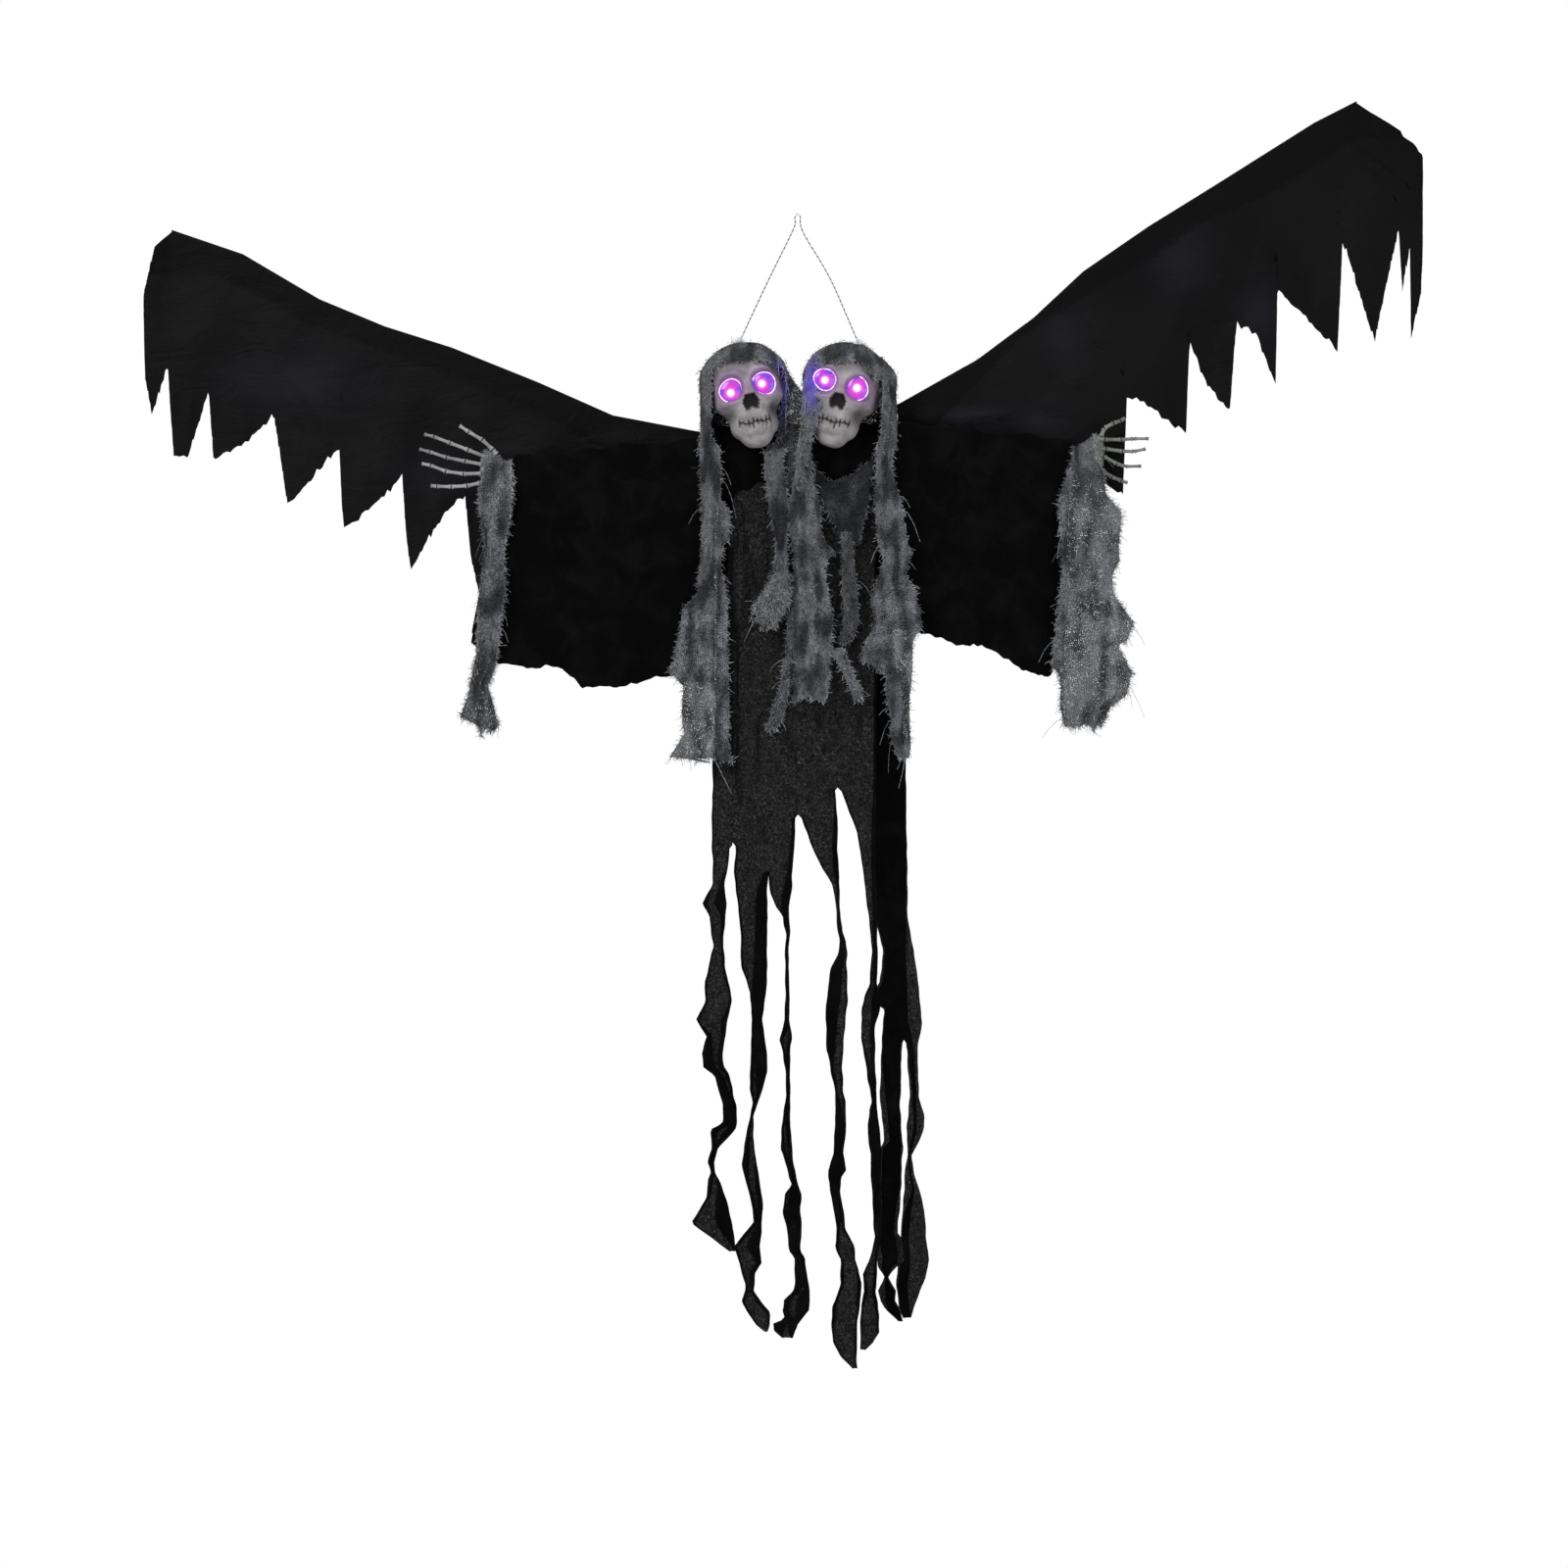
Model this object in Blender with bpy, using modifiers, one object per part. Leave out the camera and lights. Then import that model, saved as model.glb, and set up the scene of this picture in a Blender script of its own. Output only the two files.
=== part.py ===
"""A two-headed winged skeleton figure in ragged cloth, hung by one cord.

The origin is the top of the cord's loop. +X is to the viewer's right, -Y faces the viewer
and +Z is up. Sizes are in metres, and outlines are lists of millimetres. A drop is a
distance down from the origin.
"""

import math

import bmesh
import bpy
import numpy as np
from mathutils import Matrix, Vector

MM = 0.001

# Fits
SEAT_GAP = 0.3 * MM
CLOTH = 0.8 * MM
GAUZE = 1.0 * MM
SLEEVE_END_ROOM = 3 * MM

# The wire that carries both arms, from wrist to wrist
ROD_DIAMETER = 3 * MM
ROD_LEFT_X = -0.352
ROD_RIGHT_X = 0.346
ROD_LEFT_DROP = 0.300
ROD_RIGHT_DROP = 0.282

# Heads: moulded shells with the face towards -Y
SKULL_WALL = 2.5 * MM
SKULL_HALF_WIDTH = 48 * MM
SKULL_HALF_DEPTH = 60 * MM
SKULL_CROWN = 56 * MM
JAW_DROP = 64 * MM
HEAD_Y = -0.010
HEAD_DROP = 0.212
HEADS = {
    "left": {"x": -0.060, "roll": math.radians(-12), "yaw": math.radians(3), "crown_lean": -0.14},
    "right": {"x": 0.054, "roll": math.radians(13), "yaw": math.radians(-5), "crown_lean": 0.33},
}
EYE_SPACING = 39 * MM
EYE_RISE = 4 * MM
EYE_RADIUS = 12 * MM
EYE_WALL = 1.2 * MM
EYE_BACK = 39.5 * MM
EYE_SIDE_DEPTH = 5 * MM
EYE_BULGE = 4 * MM
SOCKET_RADIUS = 20 * MM
SOCKET_DEPTH = 6 * MM
NOSE_DROP = 16 * MM
NOSE_SIZE = 9 * MM
MOUTH_DROP = 40 * MM
MOUTH_WIDTH = 40 * MM
MOUTH_HEIGHT = 3 * MM

# Lamps and their leads
LED_RADIUS = 2.5 * MM
LED_FLANGE = 0.5 * MM
LED_LENGTH = 6 * MM
LEAD_DIAMETER = 1.4 * MM
LEAD_CHANNEL_RADIUS = 2.4 * MM

# Neck: a plug in the skull with a stem that the rod runs through
PLUG_RADIUS = 12 * MM
PLUG_TOP = 24 * MM
PLUG_BOTTOM = 56 * MM
STEM_RADIUS = 7 * MM
STEM_BELOW_ROD = 8 * MM
LEAD_CHANNEL_Y = 9.2 * MM

# Battery case on the back of each stem: a row of cells and a post for the cover's screw
CASE_DEPTH = 14 * MM
CASE_HEIGHT = 30 * MM
CASE_WALL = 1.6 * MM
CELL_RADIUS = 5.8 * MM
CELL_THICKNESS = 5.4 * MM
CELLS = 3
SCREW_POST = 5.4 * MM
CELL_STACK = CELLS * CELL_THICKNESS + (CELLS + 1) * SEAT_GAP
CASE_WIDTH = CELL_STACK + SCREW_POST + 2 * CASE_WALL
COVER_THICKNESS = 1.6 * MM
SCREW_RADIUS = 1 * MM
SCREW_HEAD_RADIUS = 1.9 * MM
SCREW_HEAD = 1.1 * MM
SCREW_LENGTH = 6 * MM
KNOB_WIDTH = 4 * MM
KNOB_HEIGHT = 3.4 * MM
KNOB_DEPTH = 6 * MM
KNOB_PROUD = 1.4 * MM
KNOB_TRAVEL = 3 * MM

# Hanging cord
CORD_DIAMETER = 1.5 * MM
CORD_HOLE_RADIUS = 1.2 * MM
KNOT_RADIUS = 2.6 * MM

# Hands
WRIST_RADIUS = 7 * MM
PALM_LENGTH = 38 * MM
KNUCKLE_RADIUS = 2.9 * MM
BONE_RADIUS = 1.9 * MM

# Wings
SPAR_DIAMETER = 2.5 * MM
SPAR_Y = 24 * MM
SPAR_EYE_X = 0.109
CHANNEL_DEPTH = 42 * MM
WING_SWING = 80 * MM

# Gauze hoods
HOOD_COLUMNS = 16
HOOD_AIR = 3.2 * MM
HOOD_DROP = 46 * MM
HOOD_NECK_RADIUS = 6 * MM
TAIL_Y = -0.034

# Outlines, in millimetres: (x, z) points
LEFT_WING_TOP = [
    (-739, -17), (-654, -46), (-564, -99), (-487, -131), (-408, -156), (-306, -197), (-218, -236),
    (-118, -266),
]
RIGHT_WING_TOP = [
    (660, 135), (609, 109), (490, 34), (414, -13), (337, -66), (278, -121), (212, -170), (120, -222),
]
LEFT_WING_HEM = [
    (-770, -120), (-768, -190), (-760, -235), (-742, -179), (-735, -282), (-719, -288),
    (-694, -209), (-688, -289), (-645, -264), (-618, -233), (-601, -342), (-564, -300), (-545, -273),
    (-538, -342), (-532, -371), (-493, -338), (-466, -309), (-462, -370), (-456, -417), (-418, -354),
    (-392, -328), (-386, -400), (-376, -443), (-345, -390), (-292, -330), (-200, -300), (-118, -284),
]
RIGHT_WING_HEM = [
    (737, 49), (736, -38), (734, -91), (722, -147), (719, -40), (712, -89), (704, -16),
    (680, -147), (646, -30), (640, -80), (635, -161), (600, -121), (569, -87), (563, -200),
    (539, -140), (517, -126), (509, -232), (484, -200), (466, -150), (457, -257), (405, -220),
    (390, -213), (383, -329), (317, -295), (214, -285), (120, -268),
]
LEFT_SLEEVE_HEM = [
    (-117, -552), (-166, -545), (-205, -557), (-252, -557), (-281, -531), (-311, -534), (-350, -530),
    (-383, -504),
]
RIGHT_SLEEVE_HEM = [
    (117, -493), (149, -492), (191, -509), (220, -509), (262, -537), (293, -545), (303, -530),
]
LEFT_FINGERS = [
    [(-354, -290), (-371, -266), (-385, -257), (-395, -251)],
    [(-364, -286), (-386, -279), (-407, -270), (-426, -264), (-438, -261)],
    [(-366, -295), (-390, -292), (-412, -288), (-434, -281), (-443, -278)],
    [(-366, -305), (-391, -307), (-412, -304), (-431, -299), (-441, -295)],
    [(-364, -315), (-388, -320), (-405, -322), (-422, -321), (-430, -320)],
]
RIGHT_FINGERS = [
    [(345, -272), (357, -254), (368, -249), (384, -241)],
    [(352, -270), (362, -268), (378, -266), (394, -265), (412, -266)],
    [(352, -279), (362, -279), (378, -280), (393, -281), (408, -278)],
    [(352, -288), (374, -296), (387, -298), (403, -298)],
    [(348, -294), (363, -306), (376, -313), (387, -318)],
]
# Each strip of cloth is a list of (drop, left edge, right edge)
FRONT_STRIPS = [
    [
        (318, -75, -63), (640, -100, -74), (765, -101, -81), (815, -112, -83), (860, -105, -85),
        (921, -108, -78), (943, -119, -83), (975, -107, -87), (1023, -94, -77), (1060, -82, -71),
        (1094, -100, -89), (1121, -104, -95), (1167, -109, -78), (1190, -122, -75), (1217, -84, -74),
    ],
    [
        (318, -60, -37), (640, -71, -37), (765, -77, -38), (839, -66, -35), (917, -58, -37),
        (969, -53, -41), (1027, -55, -43), (1072, -60, -51), (1124, -65, -47), (1183, -50, -40),
        (1213, -74, -47), (1260, -60, -50), (1283, -63, -34), (1311, -46, -38),
    ],
    [
        (318, -34, -2), (640, -34, -3), (710, -34, -3), (790, -33, -8), (844, -17, -9), (941, -17, -9),
        (991, -17, -9), (1066, -18, -9), (1099, -20, -5), (1142, -6, 4), (1175, -18, 4),
        (1229, -9, 10), (1288, -14, 13), (1317, -24, -4),
    ],
    [
        (318, 1, 43), (640, 1, 44), (677, 1, 44), (710, 4, 46), (774, 32, 48), (831, 45, 53),
        (880, 45, 59), (921, 33, 57), (958, 32, 53), (1026, 41, 53), (1099, 42, 55), (1145, 37, 48),
        (1189, 45, 57), (1237, 49, 65), (1281, 41, 72), (1335, 42, 69), (1354, 58, 68),
    ],
    [
        (318, 46, 93), (640, 47, 91), (677, 50, 91), (720, 64, 91), (774, 77, 91), (866, 85, 94),
        (933, 76, 95), (1012, 80, 90), (1088, 83, 96), (1202, 87, 98), (1248, 74, 95), (1319, 71, 94),
        (1337, 73, 82),
    ],
]
FRONT_NOTCHES = [765, 772, 710, 677]
BACK_STRIPS = [
    [(264, -86, -60), (318, -92, -60), (640, -98, -60)],
    [(264, -57, -2), (640, -57, -2)],
    [(264, 1, 57), (318, 1, 57), (640, 1, 70)],
    [
        (264, 60, 74), (318, 60, 76), (640, 84, 116), (829, 91, 122), (871, 98, 125), (958, 98, 124),
        (1026, 98, 121), (1088, 98, 124), (1171, 98, 121), (1234, 98, 115), (1281, 97, 112),
    ],
    [
        (264, 77, 88), (318, 79, 94), (640, 119, 127), (829, 125, 131), (871, 128, 139),
        (950, 129, 146), (1023, 131, 144), (1066, 128, 150), (1107, 124, 134), (1145, 124, 144),
        (1189, 123, 153), (1235, 121, 154), (1298, 116, 133), (1306, 120, 127),
    ],
]
BACK_NOTCHES = [640, 640, 640, 840]
LEFT_OUTER_TAIL = [
    (290, -115, -91), (394, -113, -84), (463, -125, -84), (498, -136, -82), (555, -135, -80),
    (642, -147, -76),
]
LEFT_INNER_TAIL = [
    (275, -33, -22), (325, -36, -16), (360, -30, -9), (394, -22, -9), (452, -45, -18), (481, -54, -20),
]
RIGHT_INNER_TAIL = [
    (275, 6, 20), (314, 3, 16), (337, -4, 32), (360, -7, 41), (423, -5, 36), (475, -7, 37),
    (521, -2, 41), (574, 0, 36),
]
RIGHT_OUTER_TAIL = [
    (290, 92, 112), (348, 92, 120), (394, 93, 126), (492, 87, 140), (523, 73, 135), (544, 102, 133),
    (638, 121, 129),
]
BACK_TAIL_LENGTH = 200 * MM
LEFT_WRIST_STRIP = [
    (300, -359, -339), (325, -367, -345), (394, -369, -348), (429, -373, -350), (463, -376, -355),
    (492, -381, -366), (523, -376, -353), (567, -384, -361), (601, -394, -352),
]
RIGHT_WRIST_STRIP = [
    (285, 322, 350), (316, 309, 358), (343, 306, 365), (379, 309, 375), (414, 310, 376),
    (440, 309, 366), (483, 305, 392), (514, 300, 378), (538, 299, 389), (596, 307, 362),
]

# Colour, roughness and metallic value of each material
MATERIALS = {
    "bone_plastic": ((0.42, 0.41, 0.40), 0.4, 0.0),
    "hand_plastic": ((0.30, 0.31, 0.30), 0.4, 0.0),
    "black_cloth": ((0.006, 0.006, 0.007), 0.9, 0.0),
    "mottled_cloth": ((0.03, 0.03, 0.031), 0.9, 0.0),
    "wing_satin": ((0.008, 0.008, 0.010), 0.6, 0.0),
    "grey_gauze": ((0.10, 0.105, 0.11), 0.95, 0.0),
    "eye_dome": ((0.75, 0.15, 0.80), 0.2, 0.0),
    "lamp": ((0.95, 0.80, 0.95), 0.2, 0.0),
    "black_plastic": ((0.02, 0.02, 0.02), 0.5, 0.0),
    "lead_sleeve": ((0.02, 0.02, 0.02), 0.6, 0.0),
    "wire_steel": ((0.50, 0.50, 0.50), 0.35, 1.0),
    "cell_steel": ((0.60, 0.60, 0.60), 0.3, 1.0),
    "string": ((0.45, 0.46, 0.48), 0.7, 0.0),
}

parts = bpy.data.collections.new("hanging_reaper")
cutters = bpy.data.collections.new("cutters")


def clear_scene():
    for obj in list(bpy.data.objects):
        bpy.data.objects.remove(obj, do_unlink=True)
    bpy.context.scene.collection.children.link(parts)
    bpy.context.scene.collection.children.link(cutters)


def finish(name):
    """The named material, made once."""
    if name in bpy.data.materials:
        return bpy.data.materials[name]
    colour, roughness, metallic = MATERIALS[name]
    material = bpy.data.materials.new(name)
    material.use_nodes = True
    shader = material.node_tree.nodes["Principled BSDF"]
    shader.inputs["Base Color"].default_value = (*colour, 1)
    shader.inputs["Roughness"].default_value = roughness
    shader.inputs["Metallic"].default_value = metallic
    material.diffuse_color = (*colour, 1)
    return material


def add_object(name, mesh, material, collection=parts):
    obj = bpy.data.objects.new(name, mesh)
    collection.objects.link(obj)
    mesh.materials.clear()
    mesh.materials.append(material)
    if collection is cutters:
        obj.hide_render = True
        obj.display_type = "WIRE"
    else:
        mesh.shade_smooth()
        mesh.set_sharp_from_angle(angle=math.radians(40))
    return obj


def mesh_from(bm, name):
    mesh = bpy.data.meshes.new(name)
    bm.to_mesh(mesh)
    bm.free()
    return mesh


def box(name, low, high, material, collection=parts):
    """A box between two corners."""
    low = Vector(low)
    high = Vector(high)
    bm = bmesh.new()
    bmesh.ops.create_cube(bm, size=1)
    bmesh.ops.scale(bm, vec=high - low, verts=bm.verts)
    bmesh.ops.translate(bm, vec=(low + high) / 2, verts=bm.verts)
    return add_object(name, mesh_from(bm, name), material, collection)


def rod_between(name, start, end, radius, material, collection=cutters, sides=24):
    """A straight round bar from one point to another."""
    start = Vector(start)
    end = Vector(end)
    axis = end - start
    bm = bmesh.new()
    bmesh.ops.create_cone(
        bm, cap_ends=True, segments=sides, radius1=radius, radius2=radius, depth=axis.length
    )
    turn = axis.to_track_quat("Z", "Y").to_matrix().to_4x4()
    bmesh.ops.transform(bm, matrix=Matrix.Translation((start + end) / 2) @ turn, verts=bm.verts)
    return add_object(name, mesh_from(bm, name), material, collection)


def turned(name, profile, place, material, steps=20):
    """A closed profile of (radius, height) turned round local Z, put where place says."""
    bm = bmesh.new()
    verts = [bm.verts.new((radius, 0, height)) for radius, height in profile]
    for first, second in zip(verts, verts[1:]):
        bm.edges.new((first, second))
    obj = add_object(name, mesh_from(bm, name), material)
    screw = obj.modifiers.new("turn", "SCREW")
    screw.steps = steps
    screw.render_steps = steps
    screw.use_merge_vertices = True
    screw.merge_threshold = 0.00001
    obj.matrix_world = place
    return obj


def wire(name, points, diameter, material, resolution=2):
    """A round wire through points, with filled ends."""
    curve = bpy.data.curves.new(name, "CURVE")
    curve.dimensions = "3D"
    curve.bevel_depth = diameter / 2
    curve.bevel_resolution = resolution
    curve.use_fill_caps = True
    spline = curve.splines.new("POLY")
    spline.points.add(len(points) - 1)
    for point, place in zip(spline.points, points):
        point.co = (*place, 1)
    curve.materials.append(material)
    obj = bpy.data.objects.new(name, curve)
    parts.objects.link(obj)
    return obj


def smooth_route(points, count):
    """Points at even steps along a Catmull-Rom curve through the given ones."""
    points = np.array(points, float)
    padded = np.vstack([2 * points[0] - points[1], points, 2 * points[-1] - points[-2]])
    dense = []
    for a, b, c, d in zip(padded, padded[1:], padded[2:], padded[3:]):
        for t in np.linspace(0, 1, 24, endpoint=False):
            square = (2 * a - 5 * b + 4 * c - d) * t**2
            cube = (3 * b - a - 3 * c + d) * t**3
            dense.append(0.5 * (2 * b + (c - a) * t + square + cube))
    dense = np.array(dense + [points[-1]])
    reach = np.concatenate([[0], np.cumsum(np.linalg.norm(np.diff(dense, axis=0), axis=1))])
    steps = np.linspace(0, reach[-1], count)
    return [tuple(np.interp(step, reach, dense[:, k]) for k in range(3)) for step in steps]


def cut(target, cutter):
    boolean = target.modifiers.new(cutter.name, "BOOLEAN")
    boolean.operation = "DIFFERENCE"
    boolean.object = cutter
    return boolean


def sheet(name, columns, rows, place, thickness, material, keep=None, weld=False):
    """A cloth sheet: a grid whose point (column, row) is put at place(column, row)."""
    bm = bmesh.new()
    bmesh.ops.create_grid(bm, x_segments=columns, y_segments=rows, size=0.5)
    bm.verts.ensure_lookup_table()
    index = {}
    for vert in bm.verts:
        column = round((vert.co.x + 0.5) * columns)
        row = round((0.5 - vert.co.y) * rows)
        index[vert] = (column, row)
    dropped = []
    for face in bm.faces:
        column = min(index[vert][0] for vert in face.verts)
        row = min(index[vert][1] for vert in face.verts)
        if keep and not keep(column, row):
            dropped.append(face)
    for vert, (column, row) in index.items():
        vert.co = place(column, row)
    bmesh.ops.delete(bm, geom=dropped, context="FACES")
    if weld:
        bmesh.ops.remove_doubles(bm, verts=bm.verts, dist=0.00001)
    obj = add_object(name, mesh_from(bm, name), material)
    solid = obj.modifiers.new("thickness", "SOLIDIFY")
    solid.thickness = thickness
    solid.offset = 0
    return obj


def ease(t):
    t = min(1.0, max(0.0, t))
    return t * t * (3 - 2 * t)


def along(stations, value, which):
    """The entry numbered which of a list of stations, at a drop or position in millimetres."""
    table = np.array(stations, float)
    return float(np.interp(value, table[:, 0], table[:, which]))


def rod_z(x):
    share = (x - ROD_LEFT_X) / (ROD_RIGHT_X - ROD_LEFT_X)
    return -(ROD_LEFT_DROP + (ROD_RIGHT_DROP - ROD_LEFT_DROP) * share)


def head_matrix(side):
    head = HEADS[side]
    place = Matrix.Translation((head["x"], HEAD_Y, -HEAD_DROP))
    return place @ Matrix.Rotation(head["roll"], 4, "Y") @ Matrix.Rotation(head["yaw"], 4, "Z")


def skull_forms():
    """Centre and radii of the rounded forms that the skull blends: cranium, face and jaw."""
    height = 42 * MM
    cranium = Vector((SKULL_HALF_WIDTH, SKULL_HALF_DEPTH, height))
    return [
        (Vector((0, 12 * MM, SKULL_CROWN - height)), cranium),
        (Vector((0, -16 * MM, -8 * MM)), Vector((37 * MM, 36 * MM, 46 * MM))),
        (Vector((0, -23 * MM, -JAW_DROP + 29 * MM)), Vector((27 * MM, 27 * MM, 29 * MM))),
    ]


def skull_reach(direction):
    """Distance from the skull's middle to its outer face along a unit direction."""
    blend = 3 * MM
    total = 0.0
    for centre, radii in skull_forms():
        ray = Vector(d / r for d, r in zip(direction, radii))
        offset = Vector(c / r for c, r in zip(centre, radii))
        inside = ray.dot(offset) ** 2 - ray.dot(ray) * (offset.dot(offset) - 1)
        if inside > 0:
            total += math.exp((ray.dot(offset) + math.sqrt(inside)) / ray.dot(ray) / blend)
    return blend * math.log(total)


def surface_along(side, direction):
    """World distance from the head's middle to the skull's face along a world direction."""
    local = head_matrix(side).to_3x3().inverted() @ Vector(direction)
    return skull_reach(local.normalized())


def crown_direction(side):
    return Vector((HEADS[side]["crown_lean"], 0, 1)).normalized()


def crown_exit(side):
    """World point where the cord leaves the skull's crown."""
    up = crown_direction(side)
    return head_matrix(side).translation + up * surface_along(side, up)


def make_skull(side):
    bm = bmesh.new()
    bmesh.ops.create_uvsphere(bm, u_segments=20, v_segments=12, radius=1)
    for vert in bm.verts:
        direction = vert.co.normalized()
        vert.co = direction * skull_reach(direction)
    skull = add_object(f"skull_{side}", mesh_from(bm, "skull"), finish("bone_plastic"))
    skull.matrix_world = head_matrix(side)
    wall = skull.modifiers.new("wall", "SOLIDIFY")
    wall.thickness = SKULL_WALL
    wall.offset = -1
    for n, sign in enumerate((-1, 1)):
        centre = Vector((sign * EYE_SPACING / 2, 0, EYE_RISE))
        front = skull_front(centre.x, centre.z)
        hole = rod_between(
            f"eye_hole_{side}_{n}", centre + Vector((0, -0.08, 0)), centre + Vector((0, -0.02, 0)),
            EYE_RADIUS + SEAT_GAP, finish("bone_plastic"), sides=16,
        )
        hole.parent = skull
        cut(skull, hole)
        bm = bmesh.new()
        bmesh.ops.create_uvsphere(bm, u_segments=16, v_segments=8, radius=SOCKET_RADIUS)
        shift = Vector((centre.x, front - SOCKET_RADIUS + SOCKET_DEPTH, centre.z))
        bmesh.ops.translate(bm, vec=shift, verts=bm.verts)
        bowl = add_object(f"eye_bowl_{side}_{n}", mesh_from(bm, "bowl"), finish("bone_plastic"), cutters)
        bowl.parent = skull
        cut(skull, bowl)
    nose = nose_cutter(side)
    nose.parent = skull
    cut(skull, nose)
    mouth = box(
        f"mouth_cut_{side}", (-MOUTH_WIDTH / 2, -0.08, -MOUTH_DROP - MOUTH_HEIGHT / 2),
        (MOUTH_WIDTH / 2, -0.036, -MOUTH_DROP + MOUTH_HEIGHT / 2), finish("bone_plastic"), cutters,
    )
    mouth.parent = skull
    cut(skull, mouth)
    neck = Vector((HEADS[side]["x"], 0, 0))
    opening = rod_between(
        f"neck_opening_{side}", neck + Vector((0, 0, -HEAD_DROP - JAW_DROP - 0.02)),
        neck + Vector((0, 0, -HEAD_DROP - PLUG_TOP + 0.006)),
        PLUG_RADIUS + SEAT_GAP, finish("bone_plastic"),
    )
    cut(skull, opening)
    exit_point = crown_exit(side)
    hole = rod_between(
        f"cord_hole_{side}", exit_point - Vector((0, 0, 0.01)), exit_point + Vector((0, 0, 0.01)),
        CORD_HOLE_RADIUS, finish("bone_plastic"), sides=12,
    )
    cut(skull, hole)
    return skull


def skull_front(x, z):
    """Local y of the skull's face at a place on it, found along the ray towards that place."""
    y = -45 * MM
    for _ in range(12):
        direction = Vector((x, y, z)).normalized()
        y *= skull_reach(direction) / Vector((x, y, z)).length
    return y


def nose_cutter(side):
    """The nose opening: an upturned heart, cut straight back."""
    outline = [(0, 1.1), (0.55, 0.35), (0.95, -0.5), (0.75, -1.0), (0.35, -1.05), (0, -0.7)]
    outline += [(-x, z) for x, z in reversed(outline[1:-1])]
    curve = bpy.data.curves.new(f"nose_cut_{side}", "CURVE")
    curve.dimensions = "2D"
    curve.fill_mode = "BOTH"
    curve.extrude = 12 * MM
    spline = curve.splines.new("POLY")
    spline.points.add(len(outline) - 1)
    for point, (x, z) in zip(spline.points, outline):
        point.co = (x * NOSE_SIZE, z * NOSE_SIZE, 0, 1)
    spline.use_cyclic_u = True
    holder = bpy.data.objects.new(f"nose_curve_{side}", curve)
    cutters.objects.link(holder)
    mesh = bpy.data.meshes.new_from_object(holder.evaluated_get(bpy.context.evaluated_depsgraph_get()))
    bpy.data.objects.remove(holder)
    bm = bmesh.new()
    bm.from_mesh(mesh)
    bmesh.ops.remove_doubles(bm, verts=bm.verts, dist=0.00001)
    upright = Matrix.Translation((0, -46 * MM, -NOSE_DROP)) @ Matrix.Rotation(math.pi / 2, 4, "X")
    bmesh.ops.transform(bm, matrix=upright, verts=bm.verts)
    bmesh.ops.recalc_face_normals(bm, faces=bm.faces)
    return add_object(f"nose_cut_{side}", mesh_from(bm, "nose"), finish("bone_plastic"), cutters)


def make_eyes(side):
    """A dome cup in each socket, with a lamp through the middle of its back."""
    lead_hole = LED_RADIUS + SEAT_GAP
    inner = EYE_RADIUS - EYE_WALL
    front = EYE_SIDE_DEPTH + EYE_BULGE
    outer_arc = [
        (EYE_RADIUS * math.sin(angle), EYE_SIDE_DEPTH + EYE_BULGE * math.cos(angle))
        for angle in np.linspace(0, math.pi / 2, 4)
    ]
    inner_arc = [
        (inner * math.sin(angle), EYE_SIDE_DEPTH + (EYE_BULGE - EYE_WALL) * math.cos(angle))
        for angle in np.linspace(math.pi / 2, 0, 4)
    ]
    back = [(EYE_RADIUS, 0), (lead_hole, 0), (lead_hole, EYE_WALL), (inner, EYE_WALL)]
    cup = outer_arc + back + inner_arc
    cup[0] = (0, front)
    cup[-1] = (0, front - EYE_WALL)
    lamp_base = -SEAT_GAP - 1 * MM
    lamp_top = min(LED_LENGTH, front - EYE_WALL - 1 * MM)
    lamp = [(0, lamp_top)]
    lamp += [
        (LED_RADIUS * math.sin(angle), lamp_top - LED_RADIUS * (1 - math.cos(angle)))
        for angle in np.linspace(0.7, math.pi / 2, 2)
    ]
    flange = LED_RADIUS + LED_FLANGE
    lamp += [(LED_RADIUS, -SEAT_GAP), (flange, -SEAT_GAP), (flange, lamp_base), (0, lamp_base)]
    for n, sign in enumerate((-1, 1)):
        which = ("outer", "inner") if side == "left" else ("inner", "outer")
        middle = Vector((sign * EYE_SPACING / 2, -EYE_BACK, EYE_RISE))
        seat = Matrix.Translation(middle) @ Matrix.Rotation(math.pi / 2, 4, "X")
        turned(f"eye_dome_{side}_{which[n]}", cup, head_matrix(side) @ seat, finish("eye_dome"), steps=16)
        turned(f"eye_led_{side}_{which[n]}", lamp, head_matrix(side) @ seat, finish("lamp"), steps=8)
        start = head_matrix(side) @ (middle + Vector((0, SEAT_GAP * 2 + 1 * MM, 0)))
        make_lead(side, which[n], sign, start)


def make_lead(side, which, sign, start):
    """The lead from a lamp, down through the plug's channel to the battery case."""
    x = HEADS[side]["x"] + sign * (LEAD_DIAMETER / 2 + 2 * SEAT_GAP)
    plug_top = -HEAD_DROP - PLUG_TOP
    points = [
        tuple(start),
        tuple(start + Vector((0, 5 * MM, -1 * MM))),
        (0.5 * (start.x + x), -16 * MM, -HEAD_DROP - 4 * MM),
        (x, LEAD_CHANNEL_Y - 4 * MM, plug_top + 12 * MM),
        (x, LEAD_CHANNEL_Y, plug_top + 3 * MM),
        (x, LEAD_CHANNEL_Y, plug_top - 8 * MM),
        (x, LEAD_CHANNEL_Y, case_top(side) + SEAT_GAP + 3 * MM),
        (x, LEAD_CHANNEL_Y, case_top(side) + SEAT_GAP),
    ]
    route = smooth_route(points, 11)
    wire(f"led_lead_{side}_{which}", route, LEAD_DIAMETER, finish("lead_sleeve"), resolution=1)


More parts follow.
